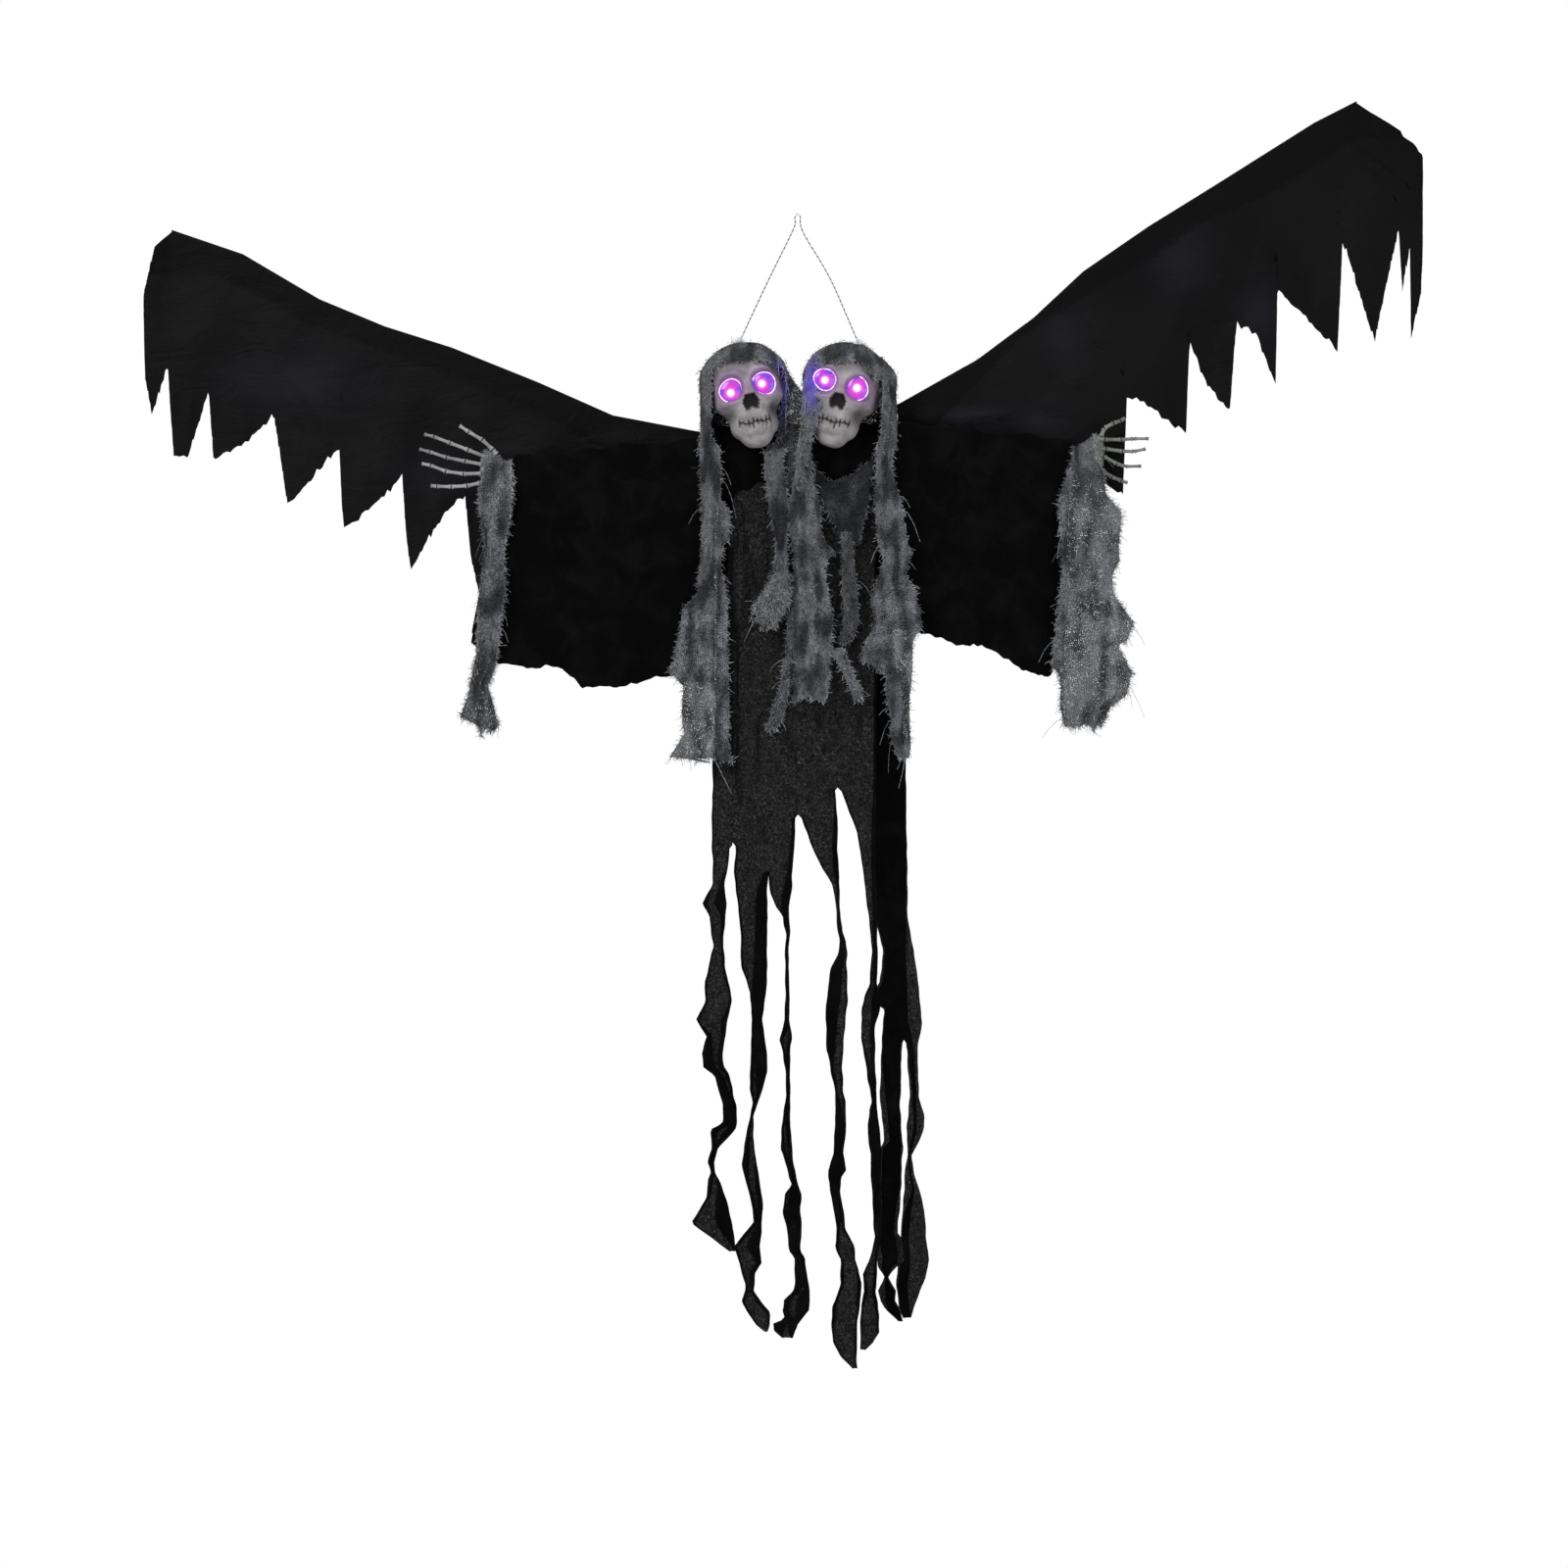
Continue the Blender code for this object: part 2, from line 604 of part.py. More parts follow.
def make_neck(side):
    """The turned plug and stem, bored across for the rod and down for the leads."""
    x = HEADS[side]["x"]
    top = -HEAD_DROP - PLUG_TOP
    shoulder = -HEAD_DROP - PLUG_BOTTOM
    foot = rod_z(x) - STEM_BELOW_ROD
    profile = [
        (0, top), (PLUG_RADIUS, top), (PLUG_RADIUS, shoulder),
        (STEM_RADIUS, shoulder), (STEM_RADIUS, foot), (0, foot),
    ]
    neck = turned(f"neck_stem_{side}", profile, Matrix.Translation((x, 0, 0)), finish("bone_plastic"))
    half = STEM_RADIUS + 5 * MM
    bore = rod_between(
        f"rod_bore_{side}", (x - half, 0, rod_z(x - half)), (x + half, 0, rod_z(x + half)),
        ROD_DIAMETER / 2 + SEAT_GAP, finish("bone_plastic"), sides=16,
    )
    cut(neck, bore)
    channel = rod_between(
        f"lead_channel_{side}", (x, LEAD_CHANNEL_Y, shoulder - 5 * MM), (x, LEAD_CHANNEL_Y, top + 5 * MM),
        LEAD_CHANNEL_RADIUS, finish("bone_plastic"), sides=12,
    )
    cut(neck, channel)


def case_top(side):
    return -HEAD_DROP - PLUG_BOTTOM - 1.5 * MM


def case_corners(side):
    """Lowest and highest corner of the battery case, which backs onto the stem."""
    x = HEADS[side]["x"]
    front = STEM_RADIUS + SEAT_GAP
    top = case_top(side)
    low = Vector((x - CASE_WIDTH / 2, front, top - CASE_HEIGHT))
    high = Vector((x + CASE_WIDTH / 2, front + CASE_DEPTH, top))
    return low, high


def knob_z(side):
    return case_corners(side)[0].z + CASE_WALL + KNOB_HEIGHT / 2 + SEAT_GAP


def make_battery_case(side):
    low, high = case_corners(side)
    x = HEADS[side]["x"]
    rear = high.y
    well_left = low.x + CASE_WALL
    cell_z = high.z - CASE_WALL - CELL_RADIUS - SEAT_GAP
    cell_y = rear - COVER_THICKNESS - 2 * SEAT_GAP - CELL_RADIUS
    case = box(f"battery_case_{side}", low, high, finish("black_plastic"))
    well_bottom = cell_z - CELL_RADIUS - SEAT_GAP
    recess = box(
        f"cover_recess_{side}",
        (low.x + CASE_WALL / 2, rear - COVER_THICKNESS - SEAT_GAP, well_bottom - CASE_WALL / 2),
        (high.x - CASE_WALL / 2, rear + 5 * MM, high.z - CASE_WALL / 2), finish("black_plastic"), cutters,
    )
    cut(case, recess)
    well = box(
        f"cell_well_{side}", (well_left, cell_y - CELL_RADIUS - SEAT_GAP, well_bottom),
        (well_left + CELL_STACK, rear + 4 * MM, high.z - CASE_WALL), finish("black_plastic"), cutters,
    )
    cut(case, well)
    screw_x = well_left + CELL_STACK + SCREW_POST / 2 + CASE_WALL / 2
    screw_z = cell_z
    bore = rod_between(
        f"screw_bore_{side}", (screw_x, rear - SCREW_LENGTH - 2 * MM, screw_z),
        (screw_x, rear + 4 * MM, screw_z),
        SCREW_RADIUS + SEAT_GAP, finish("black_plastic"), sides=12,
    )
    cut(case, bore)
    slot_half = (KNOB_WIDTH + KNOB_TRAVEL) / 2 + SEAT_GAP
    slot = box(
        f"knob_slot_{side}", (x - slot_half, rear - KNOB_DEPTH, knob_z(side) - KNOB_HEIGHT / 2 - SEAT_GAP),
        (x + slot_half, rear + 4 * MM, knob_z(side) + KNOB_HEIGHT / 2 + SEAT_GAP),
        finish("black_plastic"), cutters,
    )
    cut(case, slot)
    inset = CASE_WALL / 2 + SEAT_GAP
    cover = box(
        f"battery_cover_{side}",
        (low.x + inset, rear - COVER_THICKNESS, well_bottom - CASE_WALL / 2 + SEAT_GAP),
        (high.x - inset, rear, high.z - inset), finish("black_plastic"),
    )
    cut(cover, bore)
    head_seat = rear + SEAT_GAP
    profile = [
        (0, SCREW_HEAD), (SCREW_HEAD_RADIUS * 0.8, SCREW_HEAD), (SCREW_HEAD_RADIUS, SCREW_HEAD * 0.6),
        (SCREW_HEAD_RADIUS, 0), (SCREW_RADIUS, 0), (SCREW_RADIUS, -SCREW_LENGTH), (0, -SCREW_LENGTH),
    ]
    place = Matrix.Translation((screw_x, head_seat, screw_z)) @ Matrix.Rotation(-math.pi / 2, 4, "X")
    turned(f"cover_screw_{side}", profile, place, finish("wire_steel"), steps=8)
    for n in range(CELLS):
        start = well_left + SEAT_GAP + n * (CELL_THICKNESS + SEAT_GAP)
        rod_between(
            f"button_cell_{side}_{n + 1}", (start, cell_y, cell_z),
            (start + CELL_THICKNESS, cell_y, cell_z), CELL_RADIUS, finish("cell_steel"), parts, sides=14,
        )
    knob_left = x + KNOB_TRAVEL / 2 - KNOB_WIDTH / 2
    box(
        f"switch_knob_{side}", (knob_left, rear - KNOB_DEPTH + SEAT_GAP, knob_z(side) - KNOB_HEIGHT / 2),
        (knob_left + KNOB_WIDTH, rear + KNOB_PROUD, knob_z(side) + KNOB_HEIGHT / 2),
        finish("black_plastic"),
    )


def make_cord():
    """One cord from crown to crown, over the hook, with a stopper knot inside each skull."""
    ends = {}
    for side in HEADS:
        exit_point = crown_exit(side)
        seat = exit_point - Vector((0, 0, SKULL_WALL + SEAT_GAP + 0.6 * MM))
        bm = bmesh.new()
        bmesh.ops.create_uvsphere(bm, u_segments=8, v_segments=5, radius=KNOT_RADIUS)
        bmesh.ops.translate(bm, vec=seat - Vector((0, 0, KNOT_RADIUS)), verts=bm.verts)
        add_object(f"crown_knot_{side}", mesh_from(bm, "knot"), finish("string"))
        ends[side] = (seat + Vector((0, 0, SEAT_GAP)), exit_point + Vector((0, 0, 5 * MM)))
    left, right = ends["left"], ends["right"]
    over_hook = Vector((0, 0, -CORD_DIAMETER / 2))
    left_rise = [Vector(p) * MM for p in ((-34, -4, -79), (-10, -1, -30), (-3, 0, -14), (-3.6, 0, -6))]
    right_fall = [Vector(p) * MM for p in ((3.6, 0, -6), (3, 0, -14), (10, -1, -30), (38, -4, -78))]
    route = [left[0], left[1], left[1] + Vector((6 * MM, 1 * MM, 14 * MM)), *left_rise, over_hook]
    route += [*right_fall, right[1] + Vector((-6 * MM, 1 * MM, 14 * MM)), right[1], right[0]]
    wire("hang_cord", smooth_route([tuple(p) for p in route], 64), CORD_DIAMETER, finish("string"))


def make_arm_rod():
    ends = [(x, 0, rod_z(x)) for x in (ROD_LEFT_X, ROD_RIGHT_X)]
    wire("arm_rod", ends, ROD_DIAMETER, finish("wire_steel"), resolution=4)


def outline_at(points, share):
    """The point at a share of the index along an outline, in metres."""
    table = np.array(points, float) * MM
    steps = np.arange(len(table))
    return np.array([np.interp(share * (len(table) - 1), steps, table[:, k]) for k in range(2)])


def wing_top_at(top, x):
    """Height of a wing's top edge at an x, in metres."""
    table = np.array(sorted(top), float) * MM
    return float(np.interp(x, table[:, 0], table[:, 1]))


def wing_wave(x, z):
    return 3.5 * MM * math.sin(x * 34 + z * 9) + 2 * MM * math.sin(x * 71 - z * 23 + 1)


def make_wing(side):
    """A ragged sheet whose top edge folds over the spar and down behind it as a channel."""
    top = LEFT_WING_TOP if side == "left" else RIGHT_WING_TOP
    hem = LEFT_WING_HEM if side == "left" else RIGHT_WING_HEM
    sign = -1 if side == "left" else 1
    columns = len(hem) - 1
    fold = SPAR_DIAMETER / 2 + 3 * SEAT_GAP + CLOTH / 2
    tip_x = top[0][0] * MM
    root_x = top[-1][0] * MM
    reach = np.minimum.accumulate([abs(x) * MM for x, _ in hem])
    reach = np.clip(reach, abs(root_x), abs(tip_x) - 2 * MM)
    spread = np.linspace(abs(tip_x), abs(root_x), len(hem))
    tops = 0.6 * reach + 0.4 * spread
    rows = 8
    over = [(-fold, 0.0), (-fold * 0.7, fold * 0.7), (0.0, fold), (fold * 0.7, fold * 0.7), (fold, 0.0)]

    def place(column, row):
        x = sign * tops[column]
        edge = wing_top_at(top, x) - fold
        if row < 6:
            if row == 0:
                drop = CHANNEL_DEPTH * (1 if column not in (0, columns) else 0.9)
                return Vector((x, SPAR_Y + fold + 2 * MM, edge - drop))
            y, rise = over[5 - row]
            return Vector((x, SPAR_Y + y, edge + rise))
        low_x, low_z = np.array(hem[column]) * MM
        swing_drop = min(WING_SWING, 0.7 * (edge - low_z))
        share = (row - 5) / (rows - 5)
        px = x + (low_x - x) * min(1.0, (row - 5) / 2)
        pz = edge - swing_drop * (row - 5) / 2 if row < rows else low_z
        calm = ease(share * 2.5)
        return Vector((px, SPAR_Y - fold - 1 * MM * calm + calm * wing_wave(px, pz), pz))

    sheet(f"wing_{side}", columns, rows, place, CLOTH, finish("wing_satin"))
    make_spar(side, top, sign * tops, fold)


def make_spar(side, top, channel, fold):
    """The stiff wire in the channel, bent forward at the root into an eye round the arm rod."""
    sign = -1 if side == "left" else 1
    eye_x = sign * SPAR_EYE_X
    straight = [(x, SPAR_Y, wing_top_at(top, x) - fold) for x in channel]
    straight[0] = tuple(np.array(straight[0]) * 0.9 + np.array(straight[1]) * 0.1)
    root_x, _, root_z = straight[-1]
    rod = rod_z(eye_x)
    bend = [straight[-1], (root_x - sign * 2.5 * MM, SPAR_Y, root_z - 0.5 * MM)]
    for share, y in ((0.35, 21 * MM), (0.7, 13 * MM), (0.95, 6 * MM)):
        bend_x = root_x + (eye_x - root_x) * ease(share * 1.1)
        bend.append((bend_x, y, root_z + (rod + 8 * MM - root_z) * share))
    eye = ROD_DIAMETER / 2 + SPAR_DIAMETER / 2 + SEAT_GAP
    bend.append((eye_x, eye, rod + 2 * MM))
    loop = []
    for angle in np.linspace(0, -250, 10):
        turn = math.radians(angle)
        loop.append((eye_x, eye * math.cos(turn), rod + eye * math.sin(turn)))
    route = straight + smooth_route(bend, 8)[1:-1] + loop
    wire(f"wing_spar_{side}", route, SPAR_DIAMETER, finish("wire_steel"), resolution=1)


def make_sleeve(side):
    """A broad sleeve: one sheet over the rod, hanging in front and behind, open below."""
    hem = LEFT_SLEEVE_HEM if side == "left" else RIGHT_SLEEVE_HEM
    sign = -1 if side == "left" else 1
    inner = abs(hem[0][0]) * MM
    cuff = wrist_end(side) + (-sign) * SLEEVE_END_ROOM
    columns = 13
    down = 5
    fold = ROD_DIAMETER / 2 + SEAT_GAP + CLOTH / 2
    rows = 2 * down + 4
    over = [(-1, 0), (-0.7, 0.7), (0, 1), (0.7, 0.7), (1, 0)]

    def place(column, row):
        share = column / columns
        x = sign * inner + (cuff - sign * inner) * share
        centre = rod_z(x)
        front = row <= down
        level = (down - row) / down if front else (row - down - 4) / down
        if level <= 0:
            y, rise = over[row - down]
            return Vector((x, y * fold, centre + rise * fold))
        low_x, low_z = outline_at(hem, share)
        lower = low_z if front else low_z + 12 * MM
        px = x + (low_x - x) * level**0.8
        pz = centre + (lower - centre) * level
        swell = ease(level * 2)
        pleat = math.sin(share * 17 + level * 1.5) + 0.5 * math.sin(share * 31 - level)
        y = fold + swell * (6 * MM + 3 * MM * pleat)
        return Vector((px, -y if front else y * 0.8, pz))

    sheet(f"sleeve_{side}", columns, rows, place, CLOTH, finish("black_cloth"))


def wrist_end(side):
    """The x where the hand's wrist begins."""
    return -0.335 if side == "left" else 0.322


def hand_section(distance):
    """Half depth and half height of the hand at a distance from the wrist's end."""
    stations = [(0, 7, 7), (8, 7, 7.5), (16, 7, 13), (25, 6.5, 20), (32, 5, 21), (38, 2.5, 14)]
    scale = WRIST_RADIUS / (7 * MM)
    half_depth = along(stations, distance / MM, 1) * MM * scale
    half_height = along(stations, distance / MM, 2) * MM * scale
    return half_depth, half_height


def hand_middle(side, distance):
    sign = -1 if side == "left" else 1
    x = wrist_end(side) + sign * distance
    return x, rod_z(x)


def make_hand(side):
    """Wrist and palm as one loft, with five jointed fingers joined on, bored for the rod."""
    sign = -1 if side == "left" else 1
    stations = np.array([0, 8, 16, 25, 32, 38]) * MM * PALM_LENGTH / (38 * MM)
    bm = bmesh.new()
    rings = []
    for distance in stations:
        half_depth, half_height = hand_section(distance)
        x, z = hand_middle(side, distance)
        ring = bmesh.ops.create_circle(bm, cap_ends=False, segments=12, radius=1)["verts"]
        for vert in ring:
            vert.co = Vector((x, vert.co.x * half_depth, z + vert.co.y * half_height))
        rings.append(ring)
    for first, second in zip(rings, rings[1:]):
        edges = [e for e in bm.edges if all(v in first or v in second for v in e.verts)]
        bmesh.ops.bridge_loops(bm, edges=edges)
    bmesh.ops.holes_fill(bm, edges=bm.edges, sides=12)
    bmesh.ops.recalc_face_normals(bm, faces=bm.faces)
    hand = add_object(f"hand_{side}", mesh_from(bm, "hand"), finish("hand_plastic"))
    for n, joints in enumerate(LEFT_FINGERS if side == "left" else RIGHT_FINGERS):
        finger = make_finger(f"finger_{side}_{n}", joints)
        join = hand.modifiers.new(finger.name, "BOOLEAN")
        join.operation = "UNION"
        join.object = finger
    mouth = wrist_end(side) - sign * 10 * MM
    end = (ROD_LEFT_X if side == "left" else ROD_RIGHT_X) + sign * SEAT_GAP
    bore = rod_between(
        f"hand_bore_{side}", (mouth, 0, rod_z(mouth)), (end, 0, rod_z(end)),
        ROD_DIAMETER / 2 + SEAT_GAP, finish("hand_plastic"), sides=12,
    )
    cut(hand, bore)


def make_finger(name, joints):
    """One finger: a tube that swells at its joints."""
    places = []
    widths = []
    for n, (first, second) in enumerate(zip(joints, joints[1:])):
        curl = -1.2 * MM * n
        for share, width in ((0, KNUCKLE_RADIUS), (0.5, BONE_RADIUS)):
            x = first[0] + (second[0] - first[0]) * share
            z = first[1] + (second[1] - first[1]) * share
            places.append((x * MM, curl - 1.2 * MM * share, z * MM))
            widths.append(width)
    last = joints[-1]
    places.append((last[0] * MM, -1.2 * MM * (len(joints) - 1), last[1] * MM))
    widths.append(BONE_RADIUS * 0.8)
    curve = bpy.data.curves.new(name, "CURVE")
    curve.dimensions = "3D"
    curve.bevel_depth = 1
    curve.bevel_resolution = 1
    curve.use_fill_caps = True
    spline = curve.splines.new("POLY")
    spline.points.add(len(places) - 1)
    for point, place, width in zip(spline.points, places, widths):
        point.co = (*place, 1)
        point.radius = width
    holder = bpy.data.objects.new(name + "_curve", curve)
    cutters.objects.link(holder)
    mesh = bpy.data.meshes.new_from_object(holder.evaluated_get(bpy.context.evaluated_depsgraph_get()))
    bpy.data.objects.remove(holder)
    bm = bmesh.new()
    bm.from_mesh(mesh)
    bmesh.ops.remove_doubles(bm, verts=bm.verts, dist=0.00001)
    bmesh.ops.recalc_face_normals(bm, faces=bm.faces)
    return add_object(name, mesh_from(bm, name), finish("hand_plastic"), cutters)


def make_wrist_gauze(side):
    """Gauze laid over the wrist: a short flap behind, and a long ragged strip in front."""
    stations = LEFT_WRIST_STRIP if side == "left" else RIGHT_WRIST_STRIP
    sign = -1 if side == "left" else 1
    reach = (2 * MM, 17 * MM) if side == "left" else (2 * MM, 19 * MM)
    columns = 3
    arc = 6
    back = 2
    front = 12
    rows = back + arc + front
    bottom = stations[-1][0] * MM

    def place(column, row):
        share = column / columns
        distance = reach[0] + (reach[1] - reach[0]) * share
        x, z = hand_middle(side, distance)
        half_depth, half_height = hand_section(distance)
        half_depth += SEAT_GAP + GAUZE / 2 + 0.3 * MM
        half_height += SEAT_GAP + GAUZE / 2 + 0.3 * MM
        if row < back:
            lower = 24 * MM * (back - row) / back
            return Vector((x, half_depth + 1 * MM, z - lower))
        if row <= back + arc:
            turn = math.pi * (row - back) / arc
            return Vector((x, half_depth * math.cos(turn), z + half_height * math.sin(turn)))
        level = (row - back - arc) / front
        drop = -z + (bottom + z) * level
        left = along(stations, drop / MM, 1) * MM
        right = along(stations, drop / MM, 2) * MM
        across = share if sign > 0 else 1 - share
        target = left + (right - left) * across
        blend = ease(level * 5)
        ripple = 5 * MM * math.sin(across * 6 + level * 9)
        y = -half_depth + (-22 * MM + ripple + half_depth) * blend
        return Vector((x + (target - x) * blend, y, -drop))

    sheet(f"wrist_gauze_{side}", columns, rows, place, GAUZE, finish("grey_gauze"))


def hood_point(side, azimuth, level):
    """A point of the hood: level 0 is the crown's ring and 1 the hanging lower edge."""
    middle = head_matrix(side).translation
    exit_point = crown_exit(side)
    flat = Vector((math.sin(azimuth), -math.cos(azimuth), 0))
    widest = math.radians(2)
    bend = 0.62
    if level <= bend:
        steepness = math.radians(90) + (widest - math.radians(90)) * level / bend
        direction = (flat * math.cos(steepness) + crown_direction(side) * math.sin(steepness)).normalized()
        wrinkle = 1.2 * MM * level * (1 + math.sin(azimuth * 5 + level * 7))
        point = middle + direction * (surface_along(side, direction) + HOOD_AIR + wrinkle)
        ring = exit_point + flat * HOOD_NECK_RADIUS + Vector((0, 0, HOOD_AIR))
        pull = ease(1 - level / (bend * 0.2))
        return point.lerp(ring, pull) if level > 0 else ring
    side_point = hood_point(side, azimuth, bend)
    share = (level - bend) / (1 - bend)
    inward = flat * (2 * MM * share * math.sin(azimuth * 4))
    fall = (-HEAD_DROP - HOOD_DROP - side_point.z) * share
    return side_point + Vector((0, 0, fall)) + inward


def make_hood(side):
    """A gauze hood laid over the skull, open at the face, with long strips in front and behind."""
    tails = (LEFT_OUTER_TAIL, LEFT_INNER_TAIL) if side == "left" else (RIGHT_INNER_TAIL, RIGHT_OUTER_TAIL)
    levels = [0, 0.09, 0.18, 0.30, 0.42, 0.52, 0.62, 0.8, 1.0]
    cap = len(levels) - 1
    tail_rows = 12
    rows = cap + tail_rows
    step = 2 * math.pi / HOOD_COLUMNS
    brow = 3
    half = HOOD_COLUMNS // 2
    front_open = {half - 3, half - 2, half - 1, half, half + 1, half + 2}
    left_tail = {half - 5, half - 4}
    right_tail = {half + 3, half + 4}
    back_tail = {0, HOOD_COLUMNS - 1}

    def azimuth_of(column):
        return (column - half) * step

    def place(column, row):
        azimuth = azimuth_of(column)
        if row <= cap:
            return hood_point(side, azimuth, levels[row])
        edge = hood_point(side, azimuth, 1)
        level = (row - cap) / tail_rows
        if column <= 1 or column >= HOOD_COLUMNS - 1:
            lean = -14 * MM * ease(level)
            sway = 3 * MM * math.sin(level * 9)
            return Vector((edge.x + sway, edge.y + lean, edge.z - BACK_TAIL_LENGTH * level))
        left_side = column < half
        stations = tails[0] if left_side else tails[1]
        first = half - 5 if left_side else half + 3
        across = (column - first) / 2
        bottom = stations[-1][0] * MM
        drop = -edge.z + (bottom + edge.z) * level
        left = along(stations, drop / MM, 1) * MM
        right = along(stations, drop / MM, 2) * MM
        target = left + (right - left) * across
        blend = ease((drop + edge.z) / (28 * MM))
        wave = 4 * MM * math.sin(level * 11 + across * 2.5)
        y = edge.y + (TAIL_Y + wave - edge.y) * blend
        return Vector((edge.x + (target - edge.x) * blend, y, -drop))

    def keep(column, row):
        if row < brow:
            return True
        if row < cap:
            return column not in front_open
        return column in left_tail or column in right_tail or column in back_tail

    sheet(f"hood_{side}", HOOD_COLUMNS, rows, place, GAUZE, finish("grey_gauze"), keep, weld=True)


def make_collar():
    """Black neck cloth in front of both stems, under the chins."""
    left = min(HEADS["left"]["x"], HEADS["right"]["x"]) - 32 * MM
    right = max(HEADS["left"]["x"], HEADS["right"]["x"]) + 40 * MM
    y = -(STEM_RADIUS + SEAT_GAP + CLOTH / 2)
    columns = 9
    rows = 2

    def place(column, row):
        x = left + (right - left) * column / columns
        level = row / rows
        top = -HEAD_DROP - PLUG_BOTTOM - 8 * MM - 4 * MM * math.sin(column * 1.3)
        z = top + (collar_foot() - top) * level
        return Vector((x, y, z))

    sheet("collar", columns, rows, place, CLOTH, finish("black_cloth"))


def collar_foot():
    return -0.336


def strip_sheet(name, strips, notches, common, tail_rows, y_of, material):
    """A robe panel of strips side by side: joined above each notch, hanging apart below it."""
    columns = 3 * len(strips) - 1
    levels = sorted(set(common) | set(notches))
    rows = len(levels) - 1 + tail_rows

    def strip_of(column):
        return min(column // 3, len(strips) - 1)

    def place(column, row):
        strip = strip_of(column)
        stations = strips[strip]
        across = column % 3 / 2
        if row < len(levels):
            drop = levels[row]
        else:
            share = (row - len(levels) + 1) / tail_rows
            drop = levels[-1] + (stations[-1][0] - levels[-1]) * share
        left = along(stations, drop, 1)
        right = along(stations, drop, 2)
        widest = 1.1 * max(r - l for d, l, r in stations if d >= levels[-1] or len(stations) < 4)
        loose = ease((drop - levels[-1]) / 60)
        twist = math.sin(drop * (0.011 + 0.002 * strip) + strip * 1.7) * loose
        deep = math.sqrt(max(0.0, widest**2 - (right - left) ** 2)) * twist
        x = left + (right - left) * across
        y = y_of(x, drop) + (across - 0.5) * deep
        return Vector((x * MM, y * MM, -drop * MM))

    def keep(column, row):
        strip = strip_of(column)
        if row >= len(levels) - 1:
            return column % 3 != 2 and strips[strip][-1][0] > levels[-1]
        if column % 3 == 2:
            return levels[row] < notches[strip]
        return strips[strip][-1][0] > levels[row]

    return sheet(name, columns, rows, place, CLOTH, material, keep)


def make_robe():
    front_y = (STEM_RADIUS + SEAT_GAP + CLOTH / 2) / MM + (CLOTH + SEAT_GAP) / MM
    back_y = (STEM_RADIUS + 2 * SEAT_GAP + CASE_DEPTH + CLOTH / 2 + SCREW_HEAD) / MM + 0.9

    def front(x, drop):
        loose = ease((drop + collar_foot() / MM) / 80)
        calm = ease((1300 - drop) / 500)
        swell = 3.5 + 2.5 * math.sin(x * 0.11 + drop * 0.006) + 1.5 * math.sin(x * 0.27)
        return -front_y - loose * swell * calm

    def back(x, drop):
        loose = ease((drop - 320) / 80)
        return back_y + loose * (1.5 + 2 * math.sin(x * 0.09 + drop * 0.005))

    front_levels = [318, 336, 380, 440, 500, 570, 640]
    back_levels = [264, 300, 380, 470, 560, 640, 720, 780]
    strip_sheet("robe_front", FRONT_STRIPS, FRONT_NOTCHES, front_levels, 16, front, finish("mottled_cloth"))
    strip_sheet("robe_back", BACK_STRIPS, BACK_NOTCHES, back_levels, 14, back, finish("black_cloth"))


def build():
    clear_scene()
    make_arm_rod()
    for side in HEADS:
        make_skull(side)
        make_neck(side)
        make_eyes(side)
        make_battery_case(side)
        make_hood(side)
        make_wing(side)
        make_sleeve(side)
        make_hand(side)
        make_wrist_gauze(side)
    make_cord()
    make_collar()
    make_robe()


build()
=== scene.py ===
# %% [markdown]
# # A two-headed hanging ghost
# The real thing is a light party decoration: two hollow plastic skulls with lit eyes, draped in
# torn gauze, over a ragged black robe with long streamers. A wire carries two wide sleeves with
# bony hands, and two satin wings are stretched on rods. Everything hangs from one thin cord.
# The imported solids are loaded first, as a frame. The cloth, gauze and bone that are seen are
# then built around them in the same metres, and each new piece says which solid it stands for.

# %% Load the frame
import math

import bmesh
import bpy
import numpy as np
from mathutils import Matrix, Vector, noise


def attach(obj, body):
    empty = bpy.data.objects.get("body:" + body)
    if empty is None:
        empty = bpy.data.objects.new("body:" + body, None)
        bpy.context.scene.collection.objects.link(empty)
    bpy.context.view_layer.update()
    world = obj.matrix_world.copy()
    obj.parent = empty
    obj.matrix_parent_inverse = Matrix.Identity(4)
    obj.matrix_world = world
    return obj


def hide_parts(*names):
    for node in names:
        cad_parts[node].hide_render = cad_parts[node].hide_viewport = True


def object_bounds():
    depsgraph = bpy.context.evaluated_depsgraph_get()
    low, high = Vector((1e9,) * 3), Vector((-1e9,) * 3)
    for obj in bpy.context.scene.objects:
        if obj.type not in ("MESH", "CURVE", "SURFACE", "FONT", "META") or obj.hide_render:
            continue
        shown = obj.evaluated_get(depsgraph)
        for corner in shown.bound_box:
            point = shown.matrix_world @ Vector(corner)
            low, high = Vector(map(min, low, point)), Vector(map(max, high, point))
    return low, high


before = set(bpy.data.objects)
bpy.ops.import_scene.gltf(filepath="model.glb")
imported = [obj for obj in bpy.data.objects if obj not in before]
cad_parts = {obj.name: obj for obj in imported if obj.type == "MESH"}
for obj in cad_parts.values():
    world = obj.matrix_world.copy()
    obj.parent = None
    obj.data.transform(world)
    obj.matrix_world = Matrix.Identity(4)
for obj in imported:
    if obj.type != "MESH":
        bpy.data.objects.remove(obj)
cad_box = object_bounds()
MM = 0.001
BODY = "figure"

# %% [markdown]
# ## Camera
# The photograph is taken from far away and straight in front, so a long lens far back gives the
# same nearly flat view. The origin is the top of the hanging cord. One pixel of the 1600 pixel
# frame is 1.15 mm at the figure, so the frame is 1.84 m wide.

